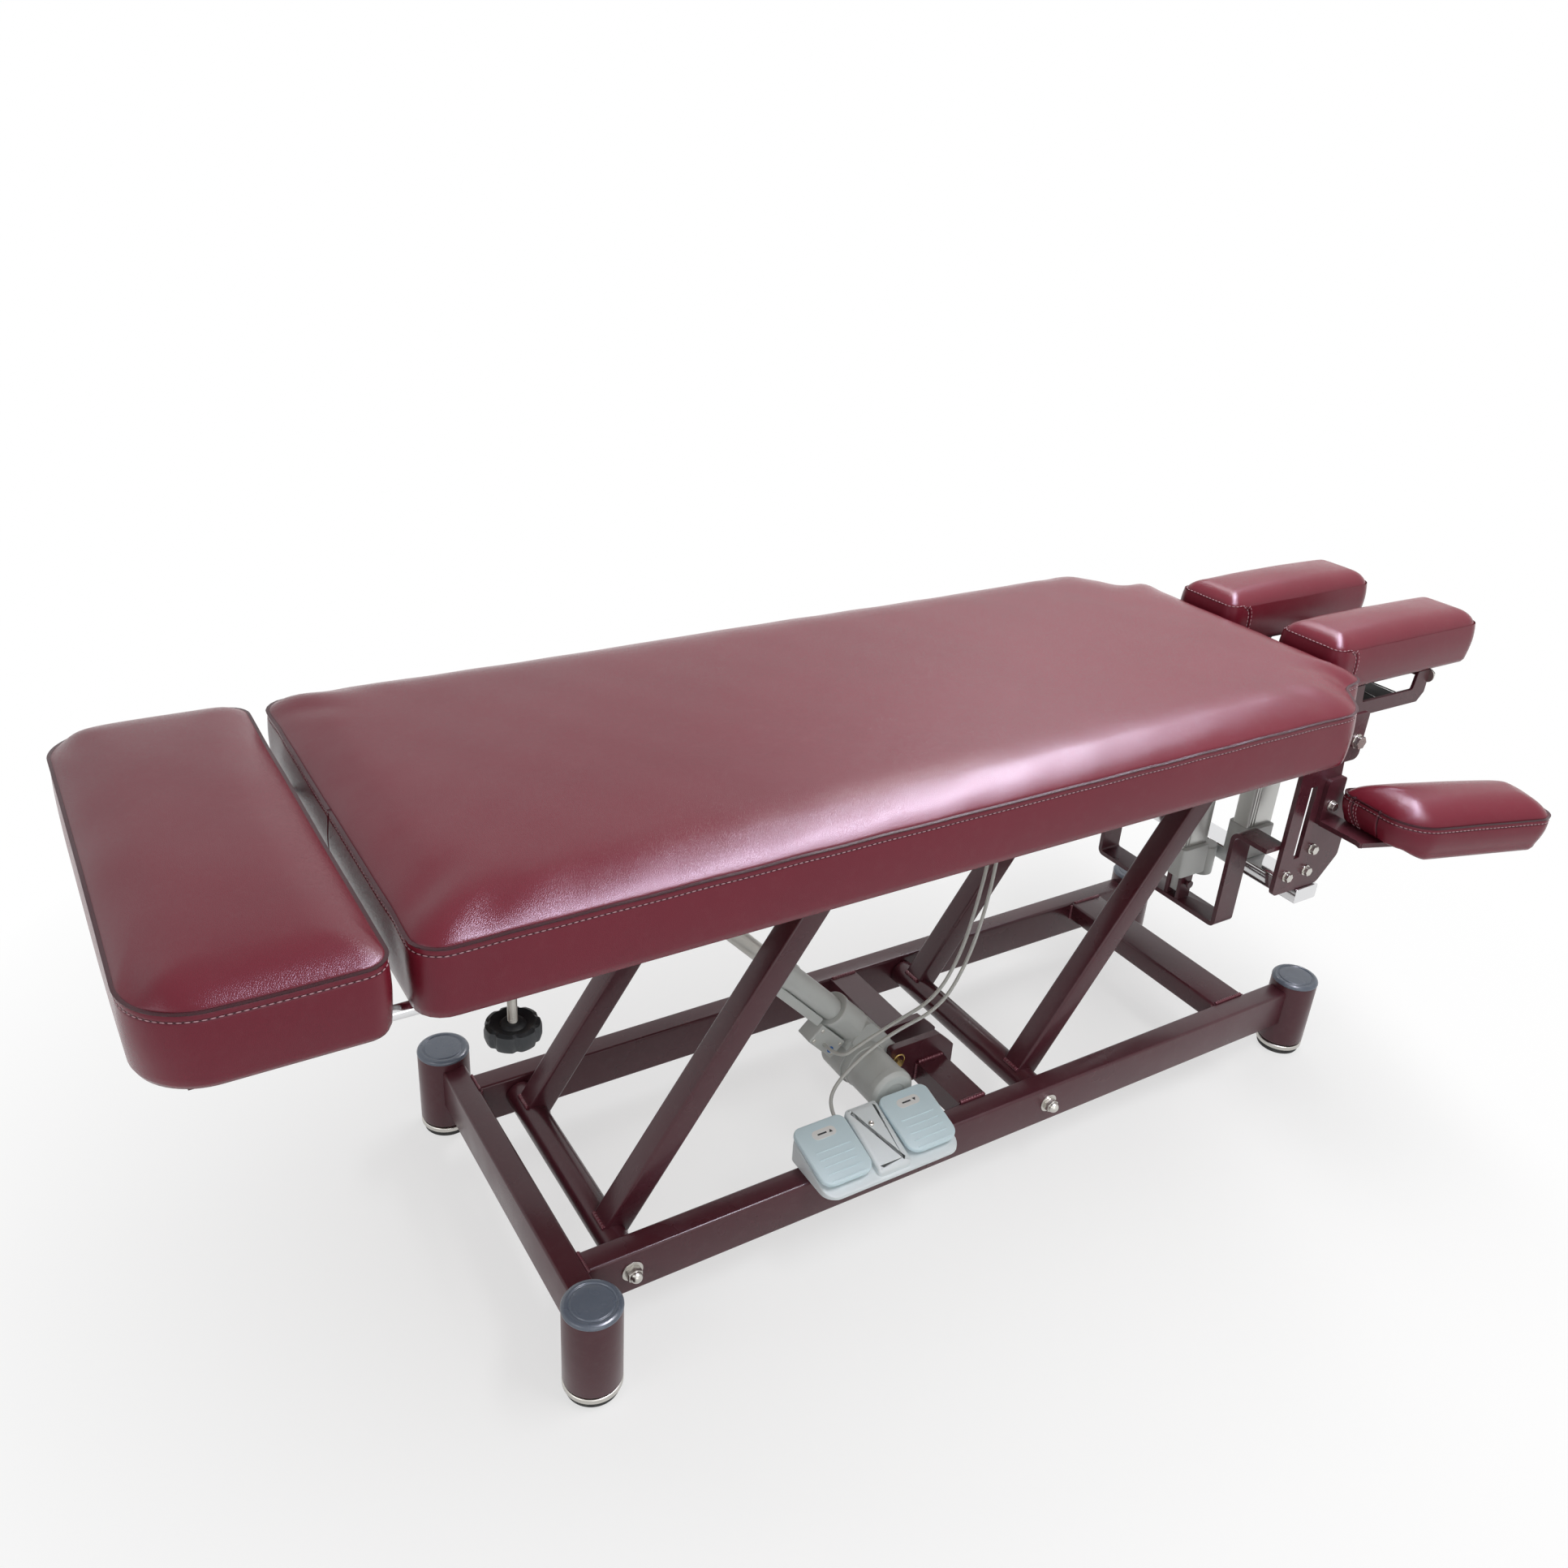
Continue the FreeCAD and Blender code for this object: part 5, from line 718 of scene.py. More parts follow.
class TABLE_OT_axles(bpy.types.Operator):
    """Through bolts with domed nuts, thrust washers and the plates that hold the lift drive."""
    bl_idname = "table.axles"
    bl_label = "Axles and drive mount"

    def execute(self, context):
        for node, body, across in (("lower_axle_bolts", "base", 0.019), ("upper_axle_bolts", "top", 0.017)):
            low, high = node_box(node)
            overhang = 0.002 + across * 0.5 + across * 0.45
            reach = high[1] - overhang
            z = (low[2] + high[2]) / 2
            xs = (low[0] + across * 0.78, high[0] - across * 0.78)
            shank = [(0, 0), (0.0078, 0), (0.0078, 2 * reach), (0, 2 * reach)]
            parts = []
            for x in xs:
                parts.append(turned(shank, [x, -reach, z], Y, 28))
                parts.extend(domed_nut(across, [x, sign * reach, z], Y * sign) for sign in SIGNS)
            make(node + "_dressed", together(parts), "zinc plate", body, [node], 30)
        low, high = node_box("lower_washers")
        outer, depth = 0.017, 0.002
        profile = rounded_profile([(0.0082, 0), (outer, 0), (outer, depth), (0.0082, depth)], 0.0005)
        parts = [hollow(profile, [x, sign * (high[1] - depth), (low[2] + high[2]) / 2], Y * sign, 40)
                 for x in (low[0] + outer, high[0] - outer) for sign in SIGNS]
        make("lower_washers_dressed", together(parts), "washer white", "base", ["lower_washers"], 30)
        eased("drive_mount", PAINT, "base", 0.0014)
        eased("drive_pin", "cotter brass", "base", 0.0006)
        width = sizes().weld_width

        def across_weld(y, wider):
            return weld([[0.036, y, 0.1272], [0.081, y, 0.1272]], width * wider, reference=Z)
        beads = []
        for y, sign in ((-0.0675, -1), (-0.0075, 1)):
            for x in (0.034, 0.083):
                beads.append(weld([[x, y + sign * 0.001, 0.096], [x, y + sign * 0.001, 0.1262]], width))
            beads.append(across_weld(y + sign * 0.0012, 1.2))
        beads.extend(across_weld(sign * 0.1742, 1.1) for sign in SIGNS)
        welded("drive_mount_welds", beads, "base")
        return {"FINISHED"}


def welded(name, beads, body):
    """Weld beads of one body as a piece."""
    make(name, together(beads), "weld paint with painted sheen", body, sharp=60)


def joint_place(name):
    """Position of a joint at rest."""
    for joint in frame["joints"]:
        if joint["name"] == name:
            return np.array(joint["pos_m"], float)
    raise ValueError(name)


def arm_frame_parts(lower, upper, lower_half, upper_half):
    """Two square arms between two pivot tubes: bars on the pivot line, tubes turned about the axles."""
    s = sizes()
    ahead = unit(upper - lower)
    parts = []
    beads = []
    for sign in SIGNS:
        shift = Y * sign * ARM_Y
        parts.append(bar(lower + shift + ahead * 0.012, upper + shift - ahead * 0.012, ARM_SIDE, ARM_SIDE,
                         s.tube_corner, 0.0005, Y * sign))
        across = np.cross(ahead, Y)
        for end, direction in ((lower, 1), (upper, -1)):
            for edge in (-1, 1):
                middle = end + shift + across * edge * 0.0186 + ahead * direction * 0.010
                beads.append(weld([middle - Y * 0.016, middle + Y * 0.016], s.weld_width * 1.15, reference=Z))
    for centre, half in ((lower, lower_half), (upper, upper_half)):
        profile = rounded_profile([(0.0082, 0), (0.021, 0), (0.021, 2 * half), (0.0082, 2 * half)], 0.001)
        parts.append(hollow(profile, centre - Y * half, Y))
    return parts, beads


class TABLE_OT_lift_arms(bpy.types.Operator):
    """Both welded arm frames of the parallelogram, the cross bar and the lugs of the push rod."""
    bl_idname = "table.lift_arms"
    bl_label = "Lift arms"

    def execute(self, context):
        lift, top = joint_place("lift"), joint_place("top")
        reach = top - lift
        for node, start, body in (("foot_arm_frame", lift, "foot_arms"),
                                  ("head_arm_frame", joint_place("head_arms"), "head_arms")):
            parts, beads = arm_frame_parts(start, start + reach, node_box(node)[1][1], 0.1598)
            make(node + "_dressed", together(parts), PAINT, body, [node])
            welded(node + "_welds", beads, body)
        eased("foot_cross_bar", PAINT, "foot_arms", 0.0016)
        eased("rod_pin", "zinc plate", "foot_arms", 0.0006)
        return {"FINISHED"}


class TABLE_OT_lift_drive(bpy.types.Operator):
    """Lift drive: turned outer tube, collar and push rod, gear housing, motor with end cap, junction box."""
    bl_idname = "table.lift_drive"
    bl_label = "Lift drive"

    def execute(self, context):
        low_pin, high_pin = joint_place("lift_drive"), joint_place("push_rod")
        run = np.linalg.norm(high_pin - low_pin)
        ahead = (high_pin - low_pin) / run
        below = np.cross(ahead, Y)
        if below[2] > 0:
            below = -below
        y = (node_box("drive_push_rod")[0][1] + node_box("drive_push_rod")[1][1]) / 2
        base = low_pin + Y * y
        tube_low, tube_high = 0.058, 0.302
        grey = "drive housing grey"
        outer = rounded_profile([(0.0163, tube_low), (0.018, tube_low), (0.018, tube_high - 0.03),
                                 (0.0196, tube_high - 0.029), (0.0196, tube_high), (0.0163, tube_high)], 0.0008)
        make("drive_outer_tube_dressed", hollow(outer, base, ahead, 56), grey, "lift_drive", ["drive_outer_tube"],
             30)
        eased("drive_gear_housing", grey, "lift_drive", 0.0022)
        collar = rounded_profile([(0.0183, 0.152), (0.0268, 0.152), (0.0268, 0.1605), (0.0255, 0.162),
                                  (0.0183, 0.162)], 0.0009)
        make("drive_collar_lip", hollow(collar, base, ahead, 56), grey, "lift_drive", sharp=30)
        motor_low, motor_high = node_box("drive_motor")
        centre = (motor_low + motor_high) / 2
        radius = (motor_high[0] - motor_low[0]) / 2
        depth = motor_high[1] - motor_low[1]
        start = np.array([centre[0], motor_high[1], centre[2]])
        can = [(0, 0), (radius, 0), (radius, depth * 0.16), (radius - 0.0014, depth * 0.165),
               (radius - 0.0014, depth * 0.80), (radius, depth * 0.805), (radius, depth * 0.93),
               (radius - 0.005, depth), (radius * 0.5, depth), (radius * 0.46, depth - 0.0012), (0, depth - 0.0012)]
        make("drive_motor_dressed", turned(rounded_profile(can, 0.0012), start, -Y, 64), grey, "lift_drive",
             ["drive_motor"], 30)
        eased("drive_junction_box", grey, "lift_drive", 0.0016)
        dot = turned(rounded_profile([(0, -0.001), (0.0052, -0.001), (0.0052, 0.0012), (0, 0.0016)], 0.0004),
                     base + ahead * 0.122 + below * 0.047 - Y * 0.017, -Y, 32)
        make("drive_marker", dot, "marker blue", "lift_drive", sharp=30)
        screws = []
        for t, drop in ((0.113, 0.032), (0.113, 0.051), (0.161, 0.032), (0.161, 0.051)):
            screws.append(turned(rounded_profile([(0, -0.001), (0.0031, -0.001), (0.0031, 0.0009), (0.0012, 0.0016),
                                                  (0, 0.0008)], 0.0004),
                                 base + ahead * t + below * drop - Y * 0.017, -Y, 20))
        make("junction_screws", together(screws), "zinc plate", "lift_drive", sharp=30)
        rod_low = 0.256
        rod_parts = [rod(0.0125, rod_low, run - 0.012, 0.0008, base, ahead),
                     rod(0.014, 0, 0.042, 0.0015, base + ahead * run - Y * 0.021, Y, 40)]
        make("drive_push_rod_dressed", together(rod_parts), "push rod grey", "push_rod",
             ["drive_push_rod"], 30)
        return {"FINISHED"}


STITCH_ROW = 0.0095  # of the topstitching under the seam of a cushion
CLOTH_FRAMES = 20


def travelled_along(line):
    """Distance covered at every point of a line."""
    return np.concatenate([[0], np.cumsum(np.linalg.norm(np.diff(line, axis=0), axis=1))])


def at_places(line, travelled, places):
    """Points of a line at the given distances."""
    return np.stack([np.interp(places, travelled, line[:, k]) for k in range(line.shape[1])], -1)


def spread(total, pitch, seams):
    """Places along a line: one every pitch, and close ones on both sides of each seam."""
    even = np.linspace(0, total, max(int(round(total / pitch)), 8) + 1)
    close = np.array([0.0006, 0.0013, 0.0021, 0.0032, 0.0050])
    close = np.concatenate([-close[::-1], [0], close])
    for seam in seams:
        even = np.concatenate([even[np.abs(even - seam) > 0.0075], seam + close])
    return np.unique(np.clip(even, 0, total))


def plan(corners, radii):
    """Fine closed outline that starts in the middle of the side between the last corner and the first."""
    loop = softened(corners, radii, 24)
    start = (loop[0] + loop[-1]) / 2
    return np.concatenate([[start], loop, [start]])


def both_sides(near):
    """Near-side corners and their mirror images, anticlockwise."""
    return near + [(x, -y) for x, y in reversed(near)]


def side_sum(points, corners, roll):
    """Sum over the outline's straight sides of (1 - distance / roll) to the fourth, within the roll."""
    start, end = corners, np.roll(corners, -1, 0)
    run = end - start
    from_start = points[..., None, :] - start
    share = np.clip((from_start * run).sum(-1) / (run ** 2).sum(-1), 0, 1)
    distance = np.linalg.norm(from_start - share[..., None] * run, axis=-1)
    return (np.clip(1 - distance / roll, 0, 1) ** 4).sum(-1)


def shortfall(share, fullness):
    """From 0 on the flat top to 1 at the outline: fullness 0 gives a parabola, 1 a quarter of an ellipse."""
    return (1 - np.sqrt(1 - fullness * share)) / (1 - math.sqrt(1 - fullness))


class Cushion:
    """Filled form over a plan outline, as a grid: columns run round it, rows from underneath over the edge.

    Every point lies on the straight line from the outline to a spine. Up to the seam its way in is a quarter
    circle at the lower rim and a sine bulge of the side band. Above it the height falls short of the top by
    the drop times shortfall() of a share: the square root of the sum, over the outline's sides, of
    (1 - distance / roll) to the fourth, taken over the same at the outline. The crown is a parabola along times
    one across. lip(s) is how far the cover is folded down past its board, and taper draws the foot of the side
    band in. s is the way round, h the way up the section, both in metres.
    """

    def __init__(self, corners, radii, spine, bottom, top, drop, roll, pitch=0.008, upright=(),
                 crown=0.002, bulge=0.0024, rim=0.008, lip=None, taper=0.0, fullness=0.62):
        self.bottom, self.top = bottom, top
        outline = plan(corners, radii)
        corners = np.asarray(corners, float)
        way = travelled_along(outline)
        self.total = way[-1]
        self.s = spread(self.total, pitch, upright)[:-1]
        loop = at_places(outline, way, self.s)
        count = len(self.s)
        tangent = unit(at_places(outline, way, (self.s + 0.002) % self.total)
                       - at_places(outline, way, (self.s - 0.002) % self.total))
        inward = np.stack([-tangent[:, 1], tangent[:, 0]], -1)
        target = np.clip(loop[:, 0], *spine)
        target = np.stack([(target + np.roll(target[::-1], 1)) / 2, np.zeros(count)], -1)
        reach = np.linalg.norm(target - loop, axis=1)
        ray = (target - loop) / reach[:, None]
        slant = 1 / np.clip((ray * inward).sum(1), 0.62, 1)
        seam = top - drop
        rim_steps, side_steps = 40, 80
        bend = np.linspace(0, math.pi / 2, rim_steps)
        climb = np.linspace(0, 1, side_steps)
        across = np.linspace(0, 1, 40) ** 1.6
        base_in = np.concatenate([taper + rim * (1 - np.sin(bend)),
                                  taper * (1 - climb) ** 2 - bulge * np.sin(climb * math.pi), 0 * across])
        height = np.concatenate([bottom + rim * (1 - np.cos(bend)),
                                 bottom + rim + (seam - bottom - rim) * climb,
                                 seam + drop * (1 - shortfall((1 - across) ** 2, fullness))])
        rolled = np.concatenate([0 * bend, 0 * climb, across])
        way_up = travelled_along(np.stack([base_in + rolled * roll, height], -1))
        self.seam = way_up[rim_steps + side_steps]
        self.h = spread(way_up[-1], pitch * 0.85, (self.seam, self.seam - STITCH_ROW))
        rolled_here = np.interp(self.h, way_up, rolled)
        inset = (np.interp(self.h, way_up, base_in) + rolled_here * roll)[:, None] * np.ones(count)
        step = np.minimum(inset * slant, reach * 0.92)
        body = np.concatenate([loop + ray * step[..., None],
                               np.broadcast_to(np.interp(self.h, way_up, height)[:, None, None],
                                               step.shape + (1,))], -1)
        share = (np.linspace(0, 1, 22)[1:] * 0.985)[:, None, None]
        inner = body[-1][None] * (1 - share)
        inner[..., :2] += target * share
        rows = len(self.h)
        body_and_inner = np.concatenate([body, inner])
        short = side_sum(body_and_inner[..., :2], corners, roll) ** 0.5
        edge = np.maximum(side_sum(loop, corners, roll) ** 0.5, 0.2)
        low, high = loop.min(0), loop.max(0)
        spot = (2 * body_and_inner[..., :2] - low - high) / (high - low)
        dome = crown * np.clip(1 - spot[..., 0] ** 2, 0, 1) * np.clip(1 - spot[..., 1] ** 2, 0, 1)
        inside = np.append(rolled_here, np.ones(len(inner)))[:, None]
        inside = inside * inside * (3 - 2 * inside)
        filled = top - crown + dome - drop * shortfall(
            np.minimum(short / (edge * (1 - inside) + inside), 1), fullness)
        above = (np.arange(len(filled)) > int(np.argmin(np.abs(self.h - self.seam))))[:, None]
        body_and_inner[..., 2] = np.where(above, filled, body_and_inner[..., 2])
        body, inner = body_and_inner[:rows], body_and_inner[rows:]
        fold = np.zeros(count) if lip is None else lip(np.minimum(self.s, self.total - self.s))
        sink = np.clip(1 - (body[..., 2] - bottom) / (seam - bottom), 0, 1) ** 2
        body[..., 2] -= sink * fold
        inner_edge = body[0].copy()
        inner_edge[:, :2] += ray * 0.0008
        inner_edge[:, 2] = bottom
        share = (np.linspace(1, 0, 7) * 0.985)[:, None, None]
        under = inner_edge[None] * (1 - share)
        under[..., :2] += target * share
        under[..., 2] = bottom
        self.first = len(under)
        self.grid = np.concatenate([under, body, inner])
        # Seam dirt and painted seam shade, filled in by sew().
        self.mask = np.zeros(self.grid.shape[:2])

    def normals(self):
        """Outward directions, from the differences between neighbours."""
        along = np.roll(self.grid, -1, 1) - np.roll(self.grid, 1, 1)
        across = np.gradient(self.grid, axis=0)
        return unit(np.cross(along, across) + 1e-12)

    def uneven(self, seed, size):
        """Sums of a few slow sines with seeded phases, strongest at the seam."""
        values = np.random.default_rng(seed)
        x, y = self.grid[..., 0], self.grid[..., 1]
        rise = np.clip((self.grid[..., 2] - self.bottom) / (self.top - self.bottom), 0, 1) ** 2
        rise[self.first + len(self.h):] *= 0.3
        rise[self.first:self.first + len(self.h)] *= 0.3 + 0.7 * np.exp(-((self.h - self.seam) / 0.03) ** 2)[:, None]
        for low, high, weight in ((8, 26, 1.0), (8, 26, 0.8), (30, 60, 0.5), (40, 90, 0.35)):
            wave = values.uniform(low, high, 2) * values.choice([-1, 1], 2)
            self.grid[..., 2] += size * weight * np.sin(wave[0] * x + wave[1] * y + values.uniform(0, 6.28)) * rise
        return self

    def sew(self, distance, depth, width=0.0012):
        """Groove where distance(s, h) crosses zero: a Gaussian pull along the normals; the same Gaussian marks the
        seam dirt and painted seam shade.
        """
        s, h = self.s[None, :], self.h[:, None]
        near = np.exp(-(distance(np.minimum(s, self.total - s), h) / width) ** 2) * np.ones((len(self.h), 1))
        rows = slice(self.first, self.first + len(self.h))
        self.grid[rows] -= self.normals()[rows] * (near * depth)[..., None]
        self.mask[rows] = np.maximum(self.mask[rows], near)
        return self

    def sew_round(self, depth):
        """Seam all round, and the dent of the topstitching under it."""
        self.sew(lambda s, h: h - self.seam, depth, 0.0016)
        return self.sew(lambda s, h: h - self.seam + STITCH_ROW, 0.0006)

    def sew_upright(self, place, depth):
        """Seam up the side band at a place on the way round, and at its mirror image."""
        return self.sew(lambda s, h: np.hypot(s - place, np.maximum(h - self.seam, 0)), depth)

    def line(self, s, h, lift=0.0003):
        """Points and outward directions on the surface at (s, h), interpolated in both ways."""
        rows = slice(self.first, self.first + len(self.h))
        s_at = np.append(self.s, self.total)
        column = np.interp(s % self.total, s_at, np.arange(len(s_at)))
        row = np.interp(h, self.h, np.arange(len(self.h)))
        c, r = column.astype(int) % len(self.s), np.minimum(row.astype(int), len(self.h) - 2)
        u, v = (column % 1)[:, None], (row - r)[:, None]
        found = []
        for field in (self.grid[rows], self.normals()[rows]):
            low = field[r, c] * (1 - u) + field[r, (c + 1) % len(self.s)] * u
            high = field[r + 1, c] * (1 - u) + field[r + 1, (c + 1) % len(self.s)] * u
            found.append(low * (1 - v) + high * v)
        outward = unit(found[1])
        return found[0] + outward * lift, outward

    def fill(self, voxel, cap, pressure=4.0):
        """Fill the form: cloth under pressure on an even remeshed copy, held underneath and along the seam.

        Its shift, cut off at the cap, is carried over as a mean weighted by a Gaussian of distance.
        """
        scene = bpy.context.scene
        vertices, faces = skin(self.grid, True)
        mesh = bpy.data.meshes.new("filling")
        mesh.from_pydata(vertices.tolist(), [], faces)
        form = linked("filling", mesh)
        even = form.modifiers.new("even faces", "REMESH")
        even.mode = "VOXEL"
        even.voxel_size = voxel
        form_now = form.evaluated_get(bpy.context.evaluated_depsgraph_get())
        evened = bpy.data.meshes.new_from_object(form_now)
        form.modifiers.clear()
        form.data = evened
        rest = coordinates(evened)
        seam_z = self.grid[self.first + int(np.argmin(np.abs(self.h - self.seam))), :, 2].mean()
        held = form.vertex_groups.new(name="held")
        low = np.flatnonzero(rest[:, 2] < self.bottom + voxel)
        sewn = np.flatnonzero(np.abs(rest[:, 2] - seam_z) < voxel * 0.75)
        held.add(sewn.tolist(), 0.35, "REPLACE")
        held.add(low.tolist(), 1.0, "REPLACE")
        cloth = form.modifiers.new("Cloth", "CLOTH")
        cloth.settings.quality = 4
        cloth.settings.mass = 0.4
        cloth.settings.tension_stiffness = 22
        cloth.settings.compression_stiffness = 22
        cloth.settings.shear_stiffness = 12
        cloth.settings.bending_stiffness = 3
        cloth.settings.use_pressure = True
        cloth.settings.uniform_pressure_force = pressure
        cloth.settings.vertex_group_mass = "held"
        cloth.settings.effector_weights.gravity = 0.0
        cloth.point_cache.frame_start = 1
        cloth.point_cache.frame_end = CLOTH_FRAMES
        for number in range(1, CLOTH_FRAMES + 1):
            scene.frame_set(number)
        blown = bpy.data.meshes.new_from_object(form.evaluated_get(bpy.context.evaluated_depsgraph_get()))
        shift = coordinates(blown) - rest
        size = np.linalg.norm(shift, axis=1, keepdims=True)
        shift *= cap * np.tanh(size / cap) / np.maximum(size, 1e-9)
        bpy.data.objects.remove(form)
        for spare in (mesh, evened, blown):
            bpy.data.meshes.remove(spare)
        scene.frame_set(1)
        points = self.grid.reshape(-1, 3).astype(np.float32)
        rest32, shift32 = rest.astype(np.float32), shift.astype(np.float32)
        spreads = []
        for part in np.array_split(points, max(len(points) // 900, 1)):
            gap = (part ** 2).sum(1)[:, None] + (rest32 ** 2).sum(1)[None] - 2 * part @ rest32.T
            weight = np.exp(-np.maximum(gap, 0) / (2 * (voxel * 1.3) ** 2))
            spreads.append(weight @ shift32 / (weight.sum(1, keepdims=True) + 1e-12))
        self.grid += np.concatenate(spreads).reshape(self.grid.shape)
        return self


def coordinates(mesh):
    """Positions of a mesh's vertices, one row each."""
    found = np.empty(len(mesh.vertices) * 3)
    mesh.vertices.foreach_get("co", found)
    return found.reshape(-1, 3)


def stitches(points, outward, pitch, long_, thick, closed=False):
    """Stitches along a line: one small spindle per pitch, its radius a half sine along the thread."""
    if closed:
        points, outward = np.concatenate([points, points[:1]]), np.concatenate([outward, outward[:1]])
    way = travelled_along(points)
    middle = np.arange(pitch / 2, way[-1], pitch)
    at, out = at_places(points, way, middle), unit(at_places(outward, way, middle))
    ahead = unit(at_places(points, way, np.minimum(middle + 0.002, way[-1])) - at)
    rows, columns = 5, 6
    along = np.linspace(-0.5, 0.5, rows)
    swell = np.sqrt(np.maximum(1 - (2 * along) ** 2 * 0.96, 0.02))
    angle = np.linspace(0, 2 * math.pi, columns, endpoint=False)
    side = unit(np.cross(ahead, out))
    up = unit(np.cross(side, ahead))
    ring = np.cos(angle)[None, :, None] * side[:, None] + np.sin(angle)[None, :, None] * up[:, None]
    grid = (at[:, None, None] + ahead[:, None, None] * (along * long_)[None, :, None, None]
            + ring[:, None] * (swell * thick / 2)[None, :, None, None])
    shifts = np.arange(len(at)) * rows * columns
    faces = (quads(rows, columns)[None] + shifts[:, None, None]).reshape(-1, 4).tolist()
    for end in (np.arange(columns)[::-1], np.arange(columns) + (rows - 1) * columns):
        faces.extend((end[None] + shifts[:, None]).tolist())
    return grid.reshape(-1, 3), faces


def panel(wrap, height, corner):
    """Distance to the seam of an end panel: a rounded rectangle in (s, h)."""
    def distance(s, h):
        across, up = s - wrap + corner, h - height + corner
        outside = np.hypot(np.maximum(across, 0), np.maximum(up, 0))
        return outside + np.minimum(np.maximum(across, up), 0) - corner
    return distance


def panel_line(wrap, height, corner, steps=60):
    """The same seam as a line in (s, h), from one side of the object round the end to the other."""
    angle = np.linspace(0, math.pi / 2, 12)
    rise = np.linspace(0.003, height - corner, steps)
    s = np.concatenate([np.full(steps, wrap), wrap - corner + corner * np.cos(angle)])
    h = np.concatenate([rise, height - corner + corner * np.sin(angle)])
    across = np.linspace(wrap - corner, 0, steps)[1:]
    s, h = np.concatenate([s, across]), np.concatenate([h, np.full(len(across), height)])
    return np.concatenate([s, -s[::-1][1:]]), np.concatenate([h, h[::-1][1:]])


def thread_on(cushion, runs):
    """Stitch rows along several (s, h) lines of a cushion."""
    size = sizes()
    parts = []
    for s, h, closed in runs:
        points, outward = cushion.line(s, h)
        parts.append(stitches(points, outward, size.stitch_pitch, size.stitch_length, size.thread, closed))
    return together(parts)


def round_seam(cushion, above):
    """A whole turn of a cushion at a height above its seam."""
    s = np.linspace(0, cushion.total, 900, endpoint=False)
    return s, np.full(len(s), cushion.seam + above), True


class TABLE_OT_cushions(bpy.types.Operator):
    """Main and leg cushions: filled forms over their plan outlines, sewn all round."""
    bl_idname = "table.cushions"
    bl_label = "Main and leg cushions"

    def execute(self, context):
        s = sizes()
        low, high = node_box("main_cushion")
        half = 0.3105
        near = [(low[0] - 0.003, -half), (0.548, -half), (0.612, -0.236), (high[0], -0.228)]
        main = (near, [0.034, 0.060, 0.045, 0.024], (low[0] + 0.30, high[0] - 0.21), low[2], high[2],
                "main_cushion", "top", 0.0095, 3, 0.009,
                lambda s: 0.0075 * np.clip((s - 0.05) / 0.05, 0, 1) * np.clip((1.72 - s) / 0.1, 0, 1))
        low, high = node_box("leg_cushion")
        near = [(low[0] + 0.005, -half), (high[0] + 0.003, -half)]
        leg = (near, [0.068, 0.026], (low[0] + 0.105, high[0] - 0.105), low[2], high[2],
               "leg_cushion", "leg_section", 0.0065, 8, 0.0065, lambda s: 0.0085 + 0 * s)
        for near, radii, spine, bottom, top, node, body, pitch, seed, voxel, lip in (main, leg):
            corners, radii = both_sides(near), radii + radii[::-1]
            uprights = (0.0, travelled_along(plan(corners, radii))[-1]) if body == "top" else ()
            cushion = Cushion(corners, radii, spine, bottom, top - 0.0025, s.seam_drop, s.roll_width, pitch=pitch,
                              upright=uprights, lip=lip)
            cushion.fill(voxel, 0.005).uneven(seed, 0.0008)
            cushion.sew_round(s.seam_depth)
            if uprights:
                cushion.sew_upright(0.0, s.seam_depth * 0.6)
            make(node + "_dressed", skin(cushion.grid, True), "burgundy vinyl", body, [node],
                 75, cushion.mask)
            make(node + "_topstitch", thread_on(cushion, [round_seam(cushion, -STITCH_ROW)]), "thread", body,
                 sharp=80)
        eased("main_board", "plain plywood", "top")
        eased("leg_board", "plain plywood", "leg_section")
        return {"FINISHED"}


class TABLE_OT_head_cushions(bpy.types.Operator):
    """Head cushions: loaf-shaped pads, each with a sewn end panel that wraps its inner corners."""
    bl_idname = "table.head_cushions"
    bl_label = "Head cushions"

    def execute(self, context):
        s = sizes()
        low, high = node_box("head_cushions")
        centre = 0.106
        half = high[1] - centre
        near = [(low[0], -half), (high[0], -half)]
        corners, radii = both_sides(near), [0.022, 0.026, 0.026, 0.022]
        wrap = half - 0.022 + 0.022 * math.pi / 2 + 0.020
        total = travelled_along(plan(corners, radii))[-1]
        parts, seam_dirt_and_shade_masks, threads = [], [], []
        for number, sign in enumerate(SIGNS):
            cushion = Cushion(corners, radii, (low[0] + 0.056, high[0] - 0.056), low[2], high[2] - 0.002, 0.024,
                              0.036, 0.0055, (wrap, total - wrap), 0.006, 0.0030, lip=lambda s: 0.009 + 0 * s,
                              fullness=0.95)
            cushion.fill(0.0045, 0.006).uneven(11 + number, 0.0007)
            height = cushion.seam + 0.004
            cushion.sew(panel(wrap, height, 0.020), s.seam_depth)
            runs = [(*panel_line(wrap + shift, height + shift, 0.020 + shift), False) for shift in (-0.0038, 0.0038)]
            for part, store in ((skin(cushion.grid, True), parts), (thread_on(cushion, runs), threads)):
                v, f = part
                store.append((v + np.array([0, sign * centre, 0]), f))
            seam_dirt_and_shade_masks.append(cushion.mask.ravel())
        make("head_cushions_dressed", together(parts), "burgundy vinyl", "head_section",
             ["head_cushions"], 75, np.concatenate(seam_dirt_and_shade_masks))
        make("head_cushions_topstitch", together(threads), "thread", "head_section",
             sharp=80)
        # The head boards take the near-black underside finish: partly a black underside, partly painted shade under
        # the head cushions.
        eased("head_boards", "dark underside", "head_section")
        return {"FINISHED"}


